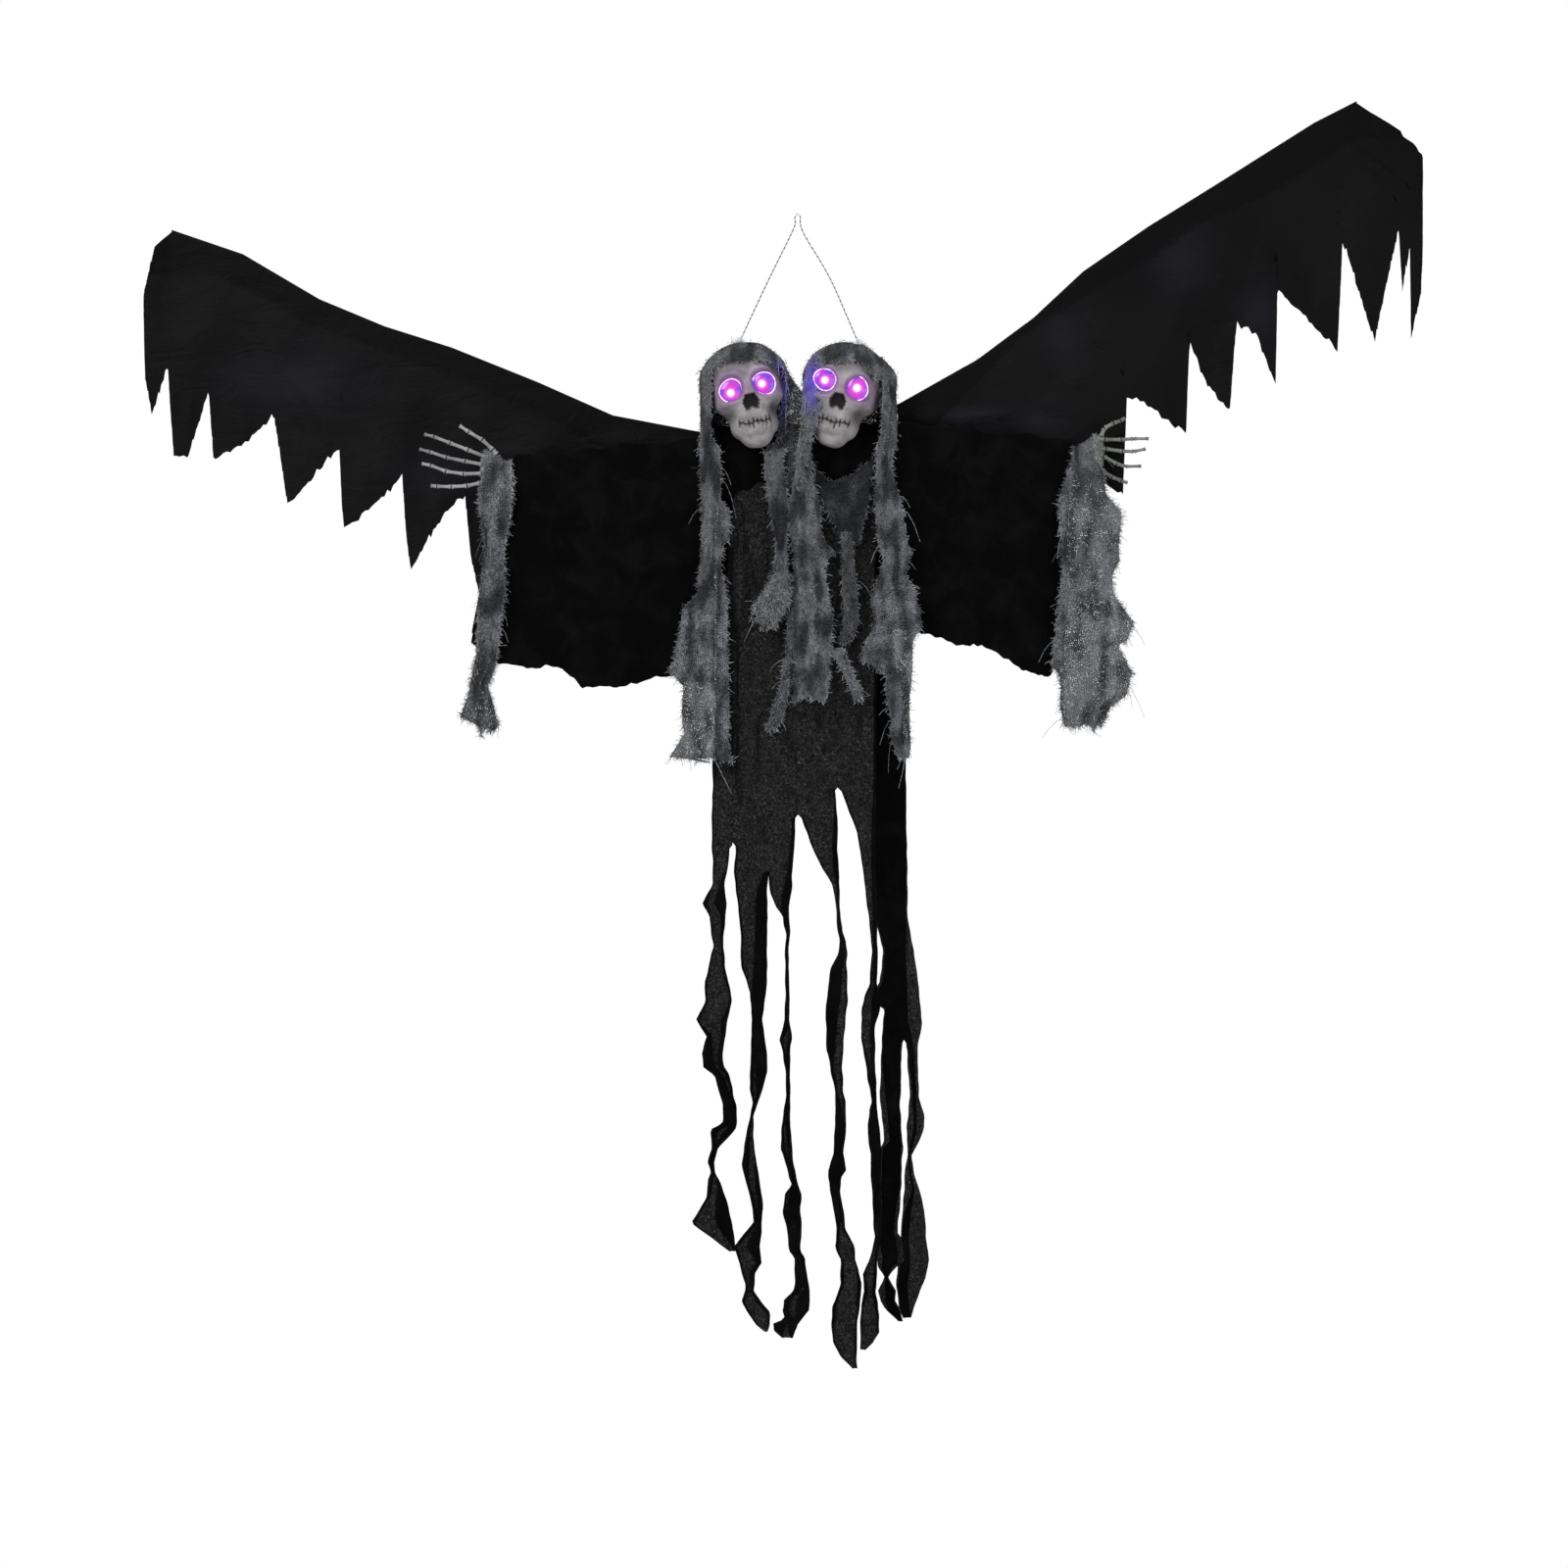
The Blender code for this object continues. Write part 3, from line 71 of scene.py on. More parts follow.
# %% Camera
PIXEL = 1.15 * MM
FRAME_PIXELS = 1600
HOOK_PIXEL = (814, 217)
LENS_MM = 100
SENSOR_MM = 36
camera_distance = FRAME_PIXELS * PIXEL * LENS_MM / SENSOR_MM
camera_x = (FRAME_PIXELS / 2 - HOOK_PIXEL[0]) * PIXEL
camera_z = (HOOK_PIXEL[1] - FRAME_PIXELS / 2) * PIXEL
bpy.ops.object.camera_add(location=(camera_x, -camera_distance, camera_z), rotation=(math.pi / 2, 0, 0))
camera = bpy.context.object
camera.data.lens = LENS_MM
camera.data.sensor_width = SENSOR_MM
camera.data.clip_end = 60
bpy.context.scene.camera = camera
print("camera stands", round(camera_distance, 2), "m away")

# %% [markdown]
# ## White surroundings
# The figure hangs in front of plain white. The world is white only where the camera, a
# reflection or a clear piece looks at it, and what it gives as light is much weaker. One mix of
# two backgrounds does this, and the kind of ray picks which of them counts.

# %% White surroundings
WORLD_FILL = 0.55
scene = bpy.context.scene
scene.view_settings.view_transform = "Standard"
world = bpy.data.worlds.new("plain white")
scene.world = world
world.use_nodes = True
nodes, links = world.node_tree.nodes, world.node_tree.links
nodes.clear()
rays = nodes.new("ShaderNodeLightPath")
seen = rays.outputs["Is Camera Ray"]
for kind in ("Is Transmission Ray", "Is Glossy Ray"):
    either = nodes.new("ShaderNodeMath")
    either.operation = "MAXIMUM"
    links.new(seen, either.inputs[0])
    links.new(rays.outputs[kind], either.inputs[1])
    seen = either.outputs[0]
chosen = nodes.new("ShaderNodeMixShader")
links.new(seen, chosen.inputs["Fac"])
for slot, strength in ((1, WORLD_FILL), (2, 1.0)):
    sky = nodes.new("ShaderNodeBackground")
    sky.inputs["Color"].default_value = (1, 1, 1, 1)
    sky.inputs["Strength"].default_value = strength
    links.new(sky.outputs[0], chosen.inputs[slot])
links.new(chosen.outputs[0], nodes.new("ShaderNodeOutputWorld").inputs["Surface"])
print("the world lights at", WORLD_FILL, "and looks white")

# %% [markdown]
# ## Lamps
# Three large soft lamps light the figure: one high at the left, a weak one low at the right, and
# one above. Each faces the middle of the figure.

# %% Lamps
MIDDLE = (0, 0, -0.45)
LAMPS = [
    ("soft key", (-1.6, -2.6, 1.3), 1.6, 62),
    ("low fill", (1.9, -2.6, -0.6), 1.8, 20),
    ("top light", (0.3, 0.4, 1.9), 1.4, 16),
]
for name, place, size, power in LAMPS:
    turn = (Vector(MIDDLE) - Vector(place)).to_track_quat("-Z", "Y").to_euler()
    bpy.ops.object.light_add(type="AREA", location=place, rotation=turn)
    lamp = bpy.context.object
    lamp.name = name
    lamp.data.size = size
    lamp.data.energy = power
    print(name, "gives", power, "W from", size, "m")

# %% [markdown]
# ## Small helpers
# A few things are done for every piece: smoothing a curve through given points, mixing
# between two values, and a repeatable random source, so that each run gives the same figure.

# %% Helpers for numbers
rng = np.random.default_rng(7)
CURVE_STEPS = 24


def ease(t):
    """A smooth step from 0 to 1."""
    t = np.clip(t, 0.0, 1.0)
    return t * t * (3 - 2 * t)


def smooth_route(points, count):
    """Points at even steps along a Catmull-Rom curve through the given ones."""
    points = np.array(points, float)
    padded = np.vstack([2 * points[0] - points[1], points, 2 * points[-1] - points[-2]])
    dense = []
    for a, b, c, d in zip(padded, padded[1:], padded[2:], padded[3:]):
        for t in np.linspace(0, 1, CURVE_STEPS, endpoint=False):
            square = (2 * a - 5 * b + 4 * c - d) * t**2
            cube = (3 * b - a - 3 * c + d) * t**3
            dense.append(0.5 * (2 * b + (c - a) * t + square + cube))
    dense = np.array(dense + [points[-1]])
    reach = np.concatenate([[0], np.cumsum(np.linalg.norm(np.diff(dense, axis=0), axis=1))])
    steps = np.linspace(0, reach[-1], count)
    return np.stack([np.interp(steps, reach, dense[:, k]) for k in range(dense.shape[1])], axis=1)


def from_pixels(points):
    """Photograph pixels to metres (x, z) in the figure's own frame."""
    return [((px - HOOK_PIXEL[0]) * PIXEL, (HOOK_PIXEL[1] - py) * PIXEL) for px, py in points]


def lumps(x, y, z, size):
    """Smooth noise from -1 to 1 whose bumps are about size across."""
    return noise.noise(Vector((x / size, y / size, z / size)))


print("one pixel is", PIXEL / MM, "mm")

# %% [markdown]
# ## Helpers for pieces
# Each new piece is worked on alone, so the others are deselected first. When it is finished, its
# place goes into its mesh, and it is tied to the frame: the body that it rides on, its material
# slot and the solids that it stands for.

# %% Helpers for pieces
def deselect():
    if bpy.context.object and bpy.context.object.mode != "OBJECT":
        bpy.ops.object.mode_set(mode="OBJECT")
    bpy.ops.object.select_all(action="DESELECT")


def select_only(obj):
    deselect()
    obj.select_set(True)
    bpy.context.view_layer.objects.active = obj


def join(pieces):
    """Makes one mesh of several, which keeps the first one's name."""
    select_only(pieces[0])
    for piece in pieces:
        piece.select_set(True)
    bpy.ops.object.join()
    return bpy.context.object


def tie(obj, replaces):
    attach(obj, BODY)
    if replaces:
        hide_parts(*replaces)
    return obj


def settle(obj, name, material, replaces=()):
    """Puts a finished piece's place into its mesh, and ties it to the frame."""
    select_only(obj)
    bpy.ops.object.transform_apply(location=True, rotation=True, scale=True)
    obj.name = name
    obj.data.name = name
    if material is not None:
        obj.data.materials.clear()
        obj.data.materials.append(material)
    return tie(obj, replaces)


def triangles(obj):
    return sum(len(face.vertices) - 2 for face in obj.data.polygons)


def points_of(obj):
    spots = np.empty(len(obj.data.vertices) * 3)
    obj.data.vertices.foreach_get("co", spots)
    return spots.reshape(-1, 3)


def set_points(obj, spots):
    obj.data.vertices.foreach_set("co", np.ravel(spots))
    obj.data.update()


def paint(obj, name, values):
    """Keeps a number from 0 to 1 on each point of the mesh, for the finish to read."""
    layer = obj.data.attributes.new(name, "FLOAT", "POINT")
    layer.data.foreach_set("value", np.asarray(values, "f").ravel())


def merge_points(obj, distance, outward=False):
    """Merges points that lie together, and turns the faces outwards if asked."""
    select_only(obj)
    bpy.ops.object.mode_set(mode="EDIT")
    bpy.ops.mesh.select_all(action="SELECT")
    bpy.ops.mesh.remove_doubles(threshold=distance)
    if outward:
        bpy.ops.mesh.normals_make_consistent(inside=False)
    bpy.ops.object.mode_set(mode="OBJECT")


def grid_sheet(name, columns, rows, places):
    """A plain grid whose point (column, row) then moves to places[row][column]."""
    deselect()
    bpy.ops.mesh.primitive_grid_add(x_subdivisions=columns, y_subdivisions=rows, size=1)
    obj = bpy.context.object
    obj.name = name
    spots = points_of(obj)
    column = np.rint((spots[:, 0] + 0.5) * columns).astype(int)
    row = np.rint((0.5 - spots[:, 1]) * rows).astype(int)
    set_points(obj, np.asarray(places)[row, column])
    return obj


print("helpers for pieces ready")

# %% [markdown]
# ## Shader expressions
# A material's colour and bump are worked out from a few patterns. Writing them as sums is easier
# to read than wiring nodes by hand, so a small class wraps a socket and turns each operator into
# a Math node, and one method adds any other node.

# %% Shader expressions
class Value:
    """A socket of a node tree that can be used in Python sums."""

    def __init__(self, finish, socket):
        self.finish = finish
        self.socket = socket

    def math(self, operation, first, second):
        return self.finish.add("ShaderNodeMath", {"operation": operation}, {0: first, 1: second})

    def __add__(self, other):
        return self.math("ADD", self, other)

    def __sub__(self, other):
        return self.math("SUBTRACT", self, other)

    def __rsub__(self, other):
        return self.math("SUBTRACT", other, self)

    def __mul__(self, other):
        return self.math("MULTIPLY", self, other)

    __radd__ = __add__
    __rmul__ = __mul__

    def smooth(self, low, high):
        """0 below low, 1 above high and smooth between."""
        return self.finish.add(
            "ShaderNodeMapRange",
            {"interpolation_type": "SMOOTHSTEP"},
            {"Value": self, "From Min": low, "From Max": high},
        )


class Finish:
    """A material, and the one method that adds a node to it."""

    def __init__(self, name, **shader_values):
        self.material = bpy.data.materials.new(name)
        self.material.use_nodes = True
        self.tree = self.material.node_tree
        self.shader = self.tree.nodes["Principled BSDF"]
        self.set(**shader_values)

    def feed(self, node, key, value):
        if isinstance(value, Value):
            self.tree.links.new(value.socket, node.inputs[key])
        elif isinstance(value, tuple) and len(value) == 3 and len(node.inputs[key].default_value) == 4:
            node.inputs[key].default_value = (*value, 1)
        else:
            node.inputs[key].default_value = value

    def add(self, kind, settings, inputs, output=0):
        node = self.tree.nodes.new(kind)
        for name, value in settings.items():
            setattr(node, name, value)
        for key, value in inputs.items():
            self.feed(node, key, value)
        return Value(self, node.outputs[output])

    def set(self, **sockets):
        for socket, value in sockets.items():
            self.feed(self.shader, socket.replace("_", " "), value)

    def place(self, kind="Object"):
        return self.add("ShaderNodeTexCoord", {}, {}, kind)

    def painted(self, name):
        """A number painted on the mesh's points."""
        return self.add("ShaderNodeAttribute", {"attribute_name": name}, {}, "Fac")

    def noise(self, where, scale, detail=2.0, roughness=0.5, distortion=0.0):
        return self.add(
            "ShaderNodeTexNoise", {},
            {"Vector": where, "Scale": scale, "Detail": detail, "Roughness": roughness,
             "Distortion": distortion},
        )

    def wave(self, where, scale, direction, distortion=0.0, detail=0.0):
        return self.add(
            "ShaderNodeTexWave", {"bands_direction": direction, "wave_profile": "SIN"},
            {"Vector": where, "Scale": scale, "Distortion": distortion, "Detail": detail},
            "Fac",
        )

    def stretched(self, where, scale):
        return self.add("ShaderNodeMapping", {}, {"Vector": where, "Scale": scale})

    def mixed(self, share, first, second):
        """One colour going over to another by a share from 0 to 1."""
        return self.add(
            "ShaderNodeMix", {"data_type": "RGBA"}, {"Factor": share, 6: first, 7: second}, 2
        )

    def bump(self, height, distance):
        return self.add("ShaderNodeBump", {}, {"Height": height, "Distance": distance})


print("shader helpers ready")

# %% [markdown]
# ## Cloth finishes
# The sleeves and the back of the robe are dull black cloth with hardly any shine. The front of
# the robe is a thin non-woven cloth, dark grey with fine pale specks and a black reverse. The
# wings are black satin. The colours are very dark, so almost no gloss is left on the shader, or
# a bright room would turn them grey.

# %% Cloth finishes
def black_cloth_finish():
    cloth = Finish("dull_black_cloth", Roughness=0.95, Specular_IOR_Level=0.04)
    where = cloth.place()
    crush = cloth.noise(where, 26.0, 4.0, 0.62, 0.6)
    weave = cloth.noise(where, 900.0, 1.0)
    share = crush.smooth(0.38, 0.72) * 0.8 + weave * 0.2
    cloth.set(
        Base_Color=cloth.mixed(share, (0.0010, 0.0010, 0.0011), (0.0040, 0.0041, 0.0042)),
        Normal=cloth.bump(crush * 3.0 + weave * 0.25, 0.0016),
    )
    return cloth.material


def mottled_cloth_finish():
    cloth = Finish("mottled_robe_cloth", Roughness=0.95, Specular_IOR_Level=0.1)
    where = cloth.place()
    fibre = cloth.noise(where, 330.0, 3.0, 0.75, 1.0)
    blotch = cloth.noise(where, 24.0, 3.0, 0.6)
    specks = cloth.noise(where, 420.0, 1.0).smooth(0.56, 0.72)
    # Painted shade: along the panel's creases and in its shadows the cloth goes over to near black
    crease = cloth.painted("crease")
    tone = fibre.smooth(0.40, 0.64) * (0.40 + 0.85 * blotch)
    body = cloth.mixed(tone, (0.0032, 0.0032, 0.0033), (0.030, 0.030, 0.0292))
    speckled = cloth.mixed(specks * 0.6 * tone, body, (0.120, 0.120, 0.115))
    cloth.set(
        Base_Color=cloth.mixed(crease, speckled, (0.0022, 0.0022, 0.0022)),
        Normal=cloth.bump(fibre + blotch * 0.8, 0.0007),
    )
    return cloth.material


def satin_finish():
    satin = Finish("black_wing_satin", Roughness=0.55, Specular_IOR_Level=0.05)
    where = satin.place()
    patch = satin.noise(where, 5.5, 2.0, 0.5, 0.5)
    creases = satin.noise(satin.stretched(where, (1.0, 1.0, 2.2)), 17.0, 4.0, 0.6, 0.9)
    weave = satin.noise(where, 1500.0, 0.0)
    band = satin.painted("band")
    # Painted highlight: paler patches where the satin's sheen would catch the light
    sheen = satin.painted("sheen")
    dark = satin.mixed(patch.smooth(0.35, 0.7), (0.0020, 0.0020, 0.0023), (0.0044, 0.0044, 0.0050))
    lit = satin.mixed(sheen * 0.8, dark, (0.0100, 0.0100, 0.0135))
    satin.set(
        Base_Color=satin.mixed(band, lit, (0.0009, 0.0009, 0.0011)),
        Normal=satin.bump(creases * 2.2 + weave * 0.1, 0.0018),
    )
    return satin.material


BLACK_CLOTH = black_cloth_finish()
MOTTLED_CLOTH = mottled_cloth_finish()
WING_SATIN = satin_finish()
print("cloth finishes:", BLACK_CLOTH.name, MOTTLED_CLOTH.name, WING_SATIN.name)

# %% [markdown]
# ## Gauze finish
# The hoods and strips are open gauze: loose grey threads with small gaps between them. The weave
# runs along each strip, so it is drawn on the strip's own map, which is laid out in metres. Two
# sets of wavy lines and an uneven fuzz make the threads, and where all miss, the cloth is
# see-through. Each loose thread is a piece of its own with a plainer finish. Both turn violet
# where an eye shines on them.

# %% Gauze finish
THREADS_PER_METRE = 190
GAP_SHARE = 0.41
GAP_EDGE = 0.03


def gauze_finish():
    gauze = Finish("grey_gauze", Roughness=0.95, Specular_IOR_Level=0.1)
    where = gauze.place("UV")
    warp = gauze.wave(where, THREADS_PER_METRE, "X", 4.0, 2.0)
    weft = gauze.wave(where, THREADS_PER_METRE, "Y", 4.0, 2.0)
    fuzz = gauze.noise(where, 380.0, 3.0, 0.75, 1.6)
    clump = gauze.noise(where, 150.0, 2.0, 0.6, 0.8)
    cloud = gauze.noise(where, 38.0, 3.0, 0.6)
    # The painted fold value is painted shade: there the gauze goes over to the dark shadow colour, in folds
    # and where a strip lies in shade
    fold = gauze.painted("fold")
    lit = gauze.painted("glow")
    thread = warp * 0.12 + weft * 0.12 + fuzz * 0.56 + clump * 0.24
    tone = thread.smooth(0.45, 0.56) * (0.2 + 1.2 * cloud)
    grey = gauze.mixed(tone, (0.014, 0.0145, 0.0165), (0.300, 0.310, 0.330))
    eye_lit = gauze.mixed(lit * 0.85, grey, (0.115, 0.075, 0.52))
    shadow = gauze.mixed(tone, (0.0040, 0.0042, 0.0046), (0.030, 0.031, 0.034))
    gauze.set(
        Base_Color=gauze.mixed(fold, eye_lit, shadow),
        Alpha=thread.smooth(GAP_SHARE - GAP_EDGE, GAP_SHARE + GAP_EDGE),
        Emission_Color=gauze.mixed(lit * tone, (0.0, 0.0, 0.0), (0.16, 0.10, 0.75)),
        Emission_Strength=0.7,
        Normal=gauze.bump(thread * 2.0, 0.0016),
    )
    return gauze.material


def thread_finish():
    thread = Finish("gauze_thread", Roughness=0.9, Specular_IOR_Level=0.15)
    fleck = thread.noise(thread.place(), 300.0, 2.0)
    lit = thread.painted("glow")
    grey = thread.mixed(fleck.smooth(0.3, 0.7), (0.10, 0.105, 0.115), (0.42, 0.43, 0.45))
    # Painted shade: a thread takes the shade painted where it leaves the gauze
    shaded = thread.mixed(thread.painted("fold"), grey, (0.009, 0.0095, 0.0105))
    thread.set(
        Base_Color=thread.mixed(lit, shaded, (0.14, 0.09, 0.60)),
        Emission_Color=thread.mixed(lit, (0.0, 0.0, 0.0), (0.20, 0.12, 0.95)),
        Emission_Strength=0.8,
    )
    return thread.material


GAUZE = gauze_finish()
THREAD = thread_finish()
print("gauze finishes:", GAUZE.name, THREAD.name)

# %% [markdown]
# ## Hard finishes
# The skulls and hands are cheap moulded plastic: grey-white, a little warm and blotchy, with a
# soft shine. Painted shade darkens the nose, the mouth, the gaps between the teeth and the
# hollows, sides and top of each skull, and the eyes' light is painted round the sockets as a
# violet tint. The hands' joints are dark lines, and the right hand's bone is a darker copy as
# painted shade. The small fittings behind the necks are black plastic, drawn wire and plated cells.

# %% Hard finishes
def bone_finish(name, deep, pale, shade_and_joint_colour):
    bone = Finish(name, Roughness=0.42, Specular_IOR_Level=0.4, Coat_Roughness=0.35)
    where = bone.place()
    cloud = bone.noise(where, 38.0, 4.0, 0.6)
    grain = bone.noise(where, 800.0, 2.0)
    # Painted values: shade in the nose, mouth and tooth cracks; shade in the skull's hollows, sides, top and
    # back, with the dark joint lines of the hands; the eyes' light as a violet tint
    dark = bone.painted("dark")
    hollow = bone.painted("hollow")
    glow = bone.painted("glow")
    plain = bone.mixed(cloud.smooth(0.3, 0.75), deep, pale)
    shaded = bone.mixed(hollow * 0.75, plain, shade_and_joint_colour)
    eye_lit = bone.mixed(glow * 0.42, shaded, (0.34, 0.15, 0.40))
    bone.set(
        Base_Color=bone.mixed(dark, eye_lit, (0.0022, 0.0012, 0.0022)),
        Roughness=0.38 + cloud * 0.12 + dark * 0.4,
        Normal=bone.bump(grain * 0.3 + cloud, 0.0005),
    )
    return bone.material


def plain_finish(name, first, second, scale, roughness, metallic=0.0):
    coat = Finish(name, Metallic=metallic)
    where = coat.place()
    grain = coat.noise(where, scale, 3.0, 0.6)
    coat.set(
        Base_Color=coat.mixed(grain, first, second),
        Roughness=roughness + grain * 0.15,
        Normal=coat.bump(grain, 0.0003),
    )
    return coat.material


def string_finish():
    string = Finish("twisted_string", Roughness=0.7)
    twist = string.wave(string.place(), 60.0, "Z", 1.5, 2.0)
    string.set(
        Base_Color=string.mixed(twist.smooth(0.35, 0.65), (0.075, 0.078, 0.085), (0.50, 0.51, 0.53)),
        Normal=string.bump(twist, 0.0003),
    )
    return string.material


SKULL_PLASTIC = bone_finish(
    "skull_plastic", (0.170, 0.161, 0.164), (0.410, 0.398, 0.395), (0.046, 0.041, 0.044)
)
# The right hand's finish is a darker copy of the same bone plastic: painted shade
HAND_BONE = {
    "left": bone_finish(
        "left_hand_bone", (0.155, 0.160, 0.155), (0.37, 0.38, 0.37), (0.035, 0.037, 0.035)
    ),
    "right": bone_finish(
        "shaded_right_hand_bone", (0.085, 0.090, 0.078), (0.215, 0.225, 0.205), (0.03, 0.032, 0.028)
    ),
}
BLACK_PLASTIC = plain_finish(
    "black_moulded_plastic", (0.012, 0.012, 0.012), (0.028, 0.028, 0.028), 700, 0.42
)
WIRE = plain_finish("drawn_wire", (0.42, 0.42, 0.43), (0.60, 0.60, 0.61), 900, 0.28, 1.0)
CELL_METAL = plain_finish("plated_cell", (0.55, 0.55, 0.55), (0.72, 0.72, 0.71), 1200, 0.2, 1.0)
LEAD_SLEEVE = plain_finish("lead_sleeve", (0.010, 0.010, 0.010), (0.022, 0.022, 0.022), 600, 0.45)
STRING = string_finish()
print("hard finishes:", SKULL_PLASTIC.name, BLACK_PLASTIC.name, WIRE.name, STRING.name)

# %% [markdown]
# ## Floor
# A pale floor lies below the streamers and takes their soft shadow. From the front it is under
# the edge of the picture. A little glow that only the camera sees makes it nearly white, so it
# doesn't need more light on the figure.

# %% Floor
FLOOR_Z = -1.75
FLOOR_SIZE = (2.6, 1.6)
FLOOR_GLOW = 0.45


def floor_finish():
    pale = Finish("pale_floor", Base_Color=(0.92, 0.92, 0.92), Roughness=0.9, Emission_Color=(1.0, 1.0, 1.0))
    pale.set(Emission_Strength=pale.add("ShaderNodeLightPath", {}, {}, "Is Camera Ray") * FLOOR_GLOW)
    return pale.material


deselect()
bpy.ops.mesh.primitive_plane_add(size=1, location=(0, 0, FLOOR_Z))
floor = bpy.context.object
floor.name = "pale floor"
floor.scale = (*FLOOR_SIZE, 1)
bpy.ops.object.transform_apply(location=True, rotation=True, scale=True)
floor.data.materials.append(floor_finish())
print("floor at", FLOOR_Z, "m")

# %% [markdown]
# ## The heads' place and form
# The eyes, hoods and cord all meet the skulls, so the skull's rounded form is written once. It
# is a blend of three egg shapes: the cranium, the face and the jaw. A ray from the middle of the
# head meets the surface once in each direction, which makes it easy to shape and to dress.

# %% The heads
HEAD_Y = -10 * MM
HEAD_DROP = 212 * MM
HEADS = {
    "left": {"x": -60 * MM, "roll": math.radians(-12), "yaw": math.radians(3), "crown_lean": -0.14},
    "right": {"x": 54 * MM, "roll": math.radians(13), "yaw": math.radians(-5), "crown_lean": 0.33},
}
FORMS = [
    (np.array((0, 12, 14)) * MM, np.array((48, 60, 42)) * MM),
    (np.array((0, -16, -8)) * MM, np.array((37, 36, 46)) * MM),
    (np.array((0, -23, -35)) * MM, np.array((27, 27, 29)) * MM),
]
BLEND = 3 * MM


def head_matrix(side):
    head = HEADS[side]
    place = Matrix.Translation((head["x"], HEAD_Y, -HEAD_DROP))
    return place @ Matrix.Rotation(head["roll"], 4, "Y") @ Matrix.Rotation(head["yaw"], 4, "Z")


def skull_reach(directions):
    """Distance from the skull's middle to its smooth outer form, along unit directions."""
    directions = np.atleast_2d(directions)
    total = np.zeros(len(directions))
    for centre, radii in FORMS:
        ray = directions / radii
        offset = centre / radii
        across = ray @ offset
        square = (ray**2).sum(1)
        inside = across**2 - square * (offset @ offset - 1)
        hit = (across + np.sqrt(np.maximum(inside, 0))) / square
        total += np.where(inside > 0, np.exp(hit / BLEND), 0)
    return BLEND * np.log(total)


def surface_along(side, directions):
    """World distance from the head's middle to the skull along world directions."""
    turn = np.array(head_matrix(side).to_3x3().inverted())
    local = np.atleast_2d(directions) @ turn.T
    local /= np.linalg.norm(local, axis=1)[:, None]
    return skull_reach(local)


def crown_direction(side):
    return np.array(Vector((HEADS[side]["crown_lean"], 0, 1)).normalized())


def crown_exit(side):
    """World point where the cord leaves the skull's crown."""
    up = crown_direction(side)
    return np.array(head_matrix(side).translation) + up * surface_along(side, up)[0]


for side in HEADS:
    print(side, "crown at", np.round(crown_exit(side) / MM, 1), "mm")

# %% [markdown]
# ## The hanging cord
# One thin silver-grey string runs from a knot inside the left crown, up to the hook and down to
# the right crown. It is held taut, so its route is nearly straight. It keeps the route of its
# solid, and bands of dark and pale grey along it stand for the twist of its strands.

# %% The hanging cord
CORD_DIAMETER = 1.5 * MM
SKULL_WALL = 2.5 * MM
SEAT_GAP = 0.3 * MM
SEAT_DEPTH = 0.6 * MM
CORD_ABOVE_CROWN = 5 * MM
CORD_POINTS = 64
cord_ends = {}
for side in HEADS:
    seat = crown_exit(side) - np.array((0, 0, SKULL_WALL + SEAT_GAP + SEAT_DEPTH))
    above = crown_exit(side) + np.array((0, 0, CORD_ABOVE_CROWN))
    cord_ends[side] = (seat + np.array((0, 0, SEAT_GAP)), above)
left_rise = np.array([(-34, -4, -79), (-10, -1, -30), (-3, 0, -14), (-3.6, 0, -6)]) * MM
right_fall = np.array([(3.6, 0, -6), (3, 0, -14), (10, -1, -30), (38, -4, -78)]) * MM
cord_route = np.vstack([
    cord_ends["left"][0], cord_ends["left"][1], cord_ends["left"][1] + np.array((6, 1, 14)) * MM,
    left_rise, (0, 0, -CORD_DIAMETER / 2), right_fall,
    cord_ends["right"][1] + np.array((-6, 1, 14)) * MM, cord_ends["right"][1], cord_ends["right"][0],
])
cord_points = smooth_route(cord_route, CORD_POINTS)
curve = bpy.data.curves.new("hanging_cord", "CURVE")
curve.dimensions = "3D"
curve.bevel_depth = CORD_DIAMETER / 2
curve.bevel_resolution = 3
curve.use_fill_caps = True
spline = curve.splines.new("POLY")
spline.points.add(len(cord_points) - 1)
for point, spot in zip(spline.points, cord_points):
    point.co = (*spot, 1)
curve.materials.append(STRING)
cord = bpy.data.objects.new("hanging_cord", curve)
bpy.context.scene.collection.objects.link(cord)
tie(cord, ["hang_cord"])

# %% [markdown]
# ## Cloth by formula
# Real cloth of this kind is torn from a flat piece and hangs from an edge. Each piece starts here
# as a plain grid, and a short rule says where every point of it hangs. The rule gives the torn
# outline, the folds and the wrinkles, and the sheet then gets its thickness. A torn edge is uneven
# at a small scale too, so the hems get a fine random step of their own.

# %% Helpers for cloth
CLOTH = 0.6 * MM
GAUZE_THICKNESS = 0.7 * MM
TORN_REACH = 1.6
SMOOTH_ANGLE = math.radians(50)


def along(stations, drop, column):
    """A value at a drop, from a table whose first number is the drop."""
    table = np.asarray(stations, float)
    return np.interp(drop, table[:, 0], table[:, column])


def edge_line(points):
    """An edge drawn down the photograph, as a table of (drop, x) in metres."""
    return [(-z, x) for x, z in from_pixels(points)]


def torn(count, size, smooth=2):
    """Uneven steps along a torn edge, about size deep."""
    steps = rng.normal(0, 1, count + 2 * smooth)
    kernel = np.hanning(2 * smooth + 1)
    return np.convolve(steps, kernel / kernel.sum(), "same")[smooth:-smooth] * size * TORN_REACH


def lay_map(obj, width, length):
    """Scales the grid's own map to metres, so a weave keeps its size."""
    layer = obj.data.uv_layers.active.data
    flat = np.empty(len(layer) * 2)
    layer.foreach_get("uv", flat)
    flat = flat.reshape(-1, 2) * (width, length)
    layer.foreach_set("uv", flat.ravel())


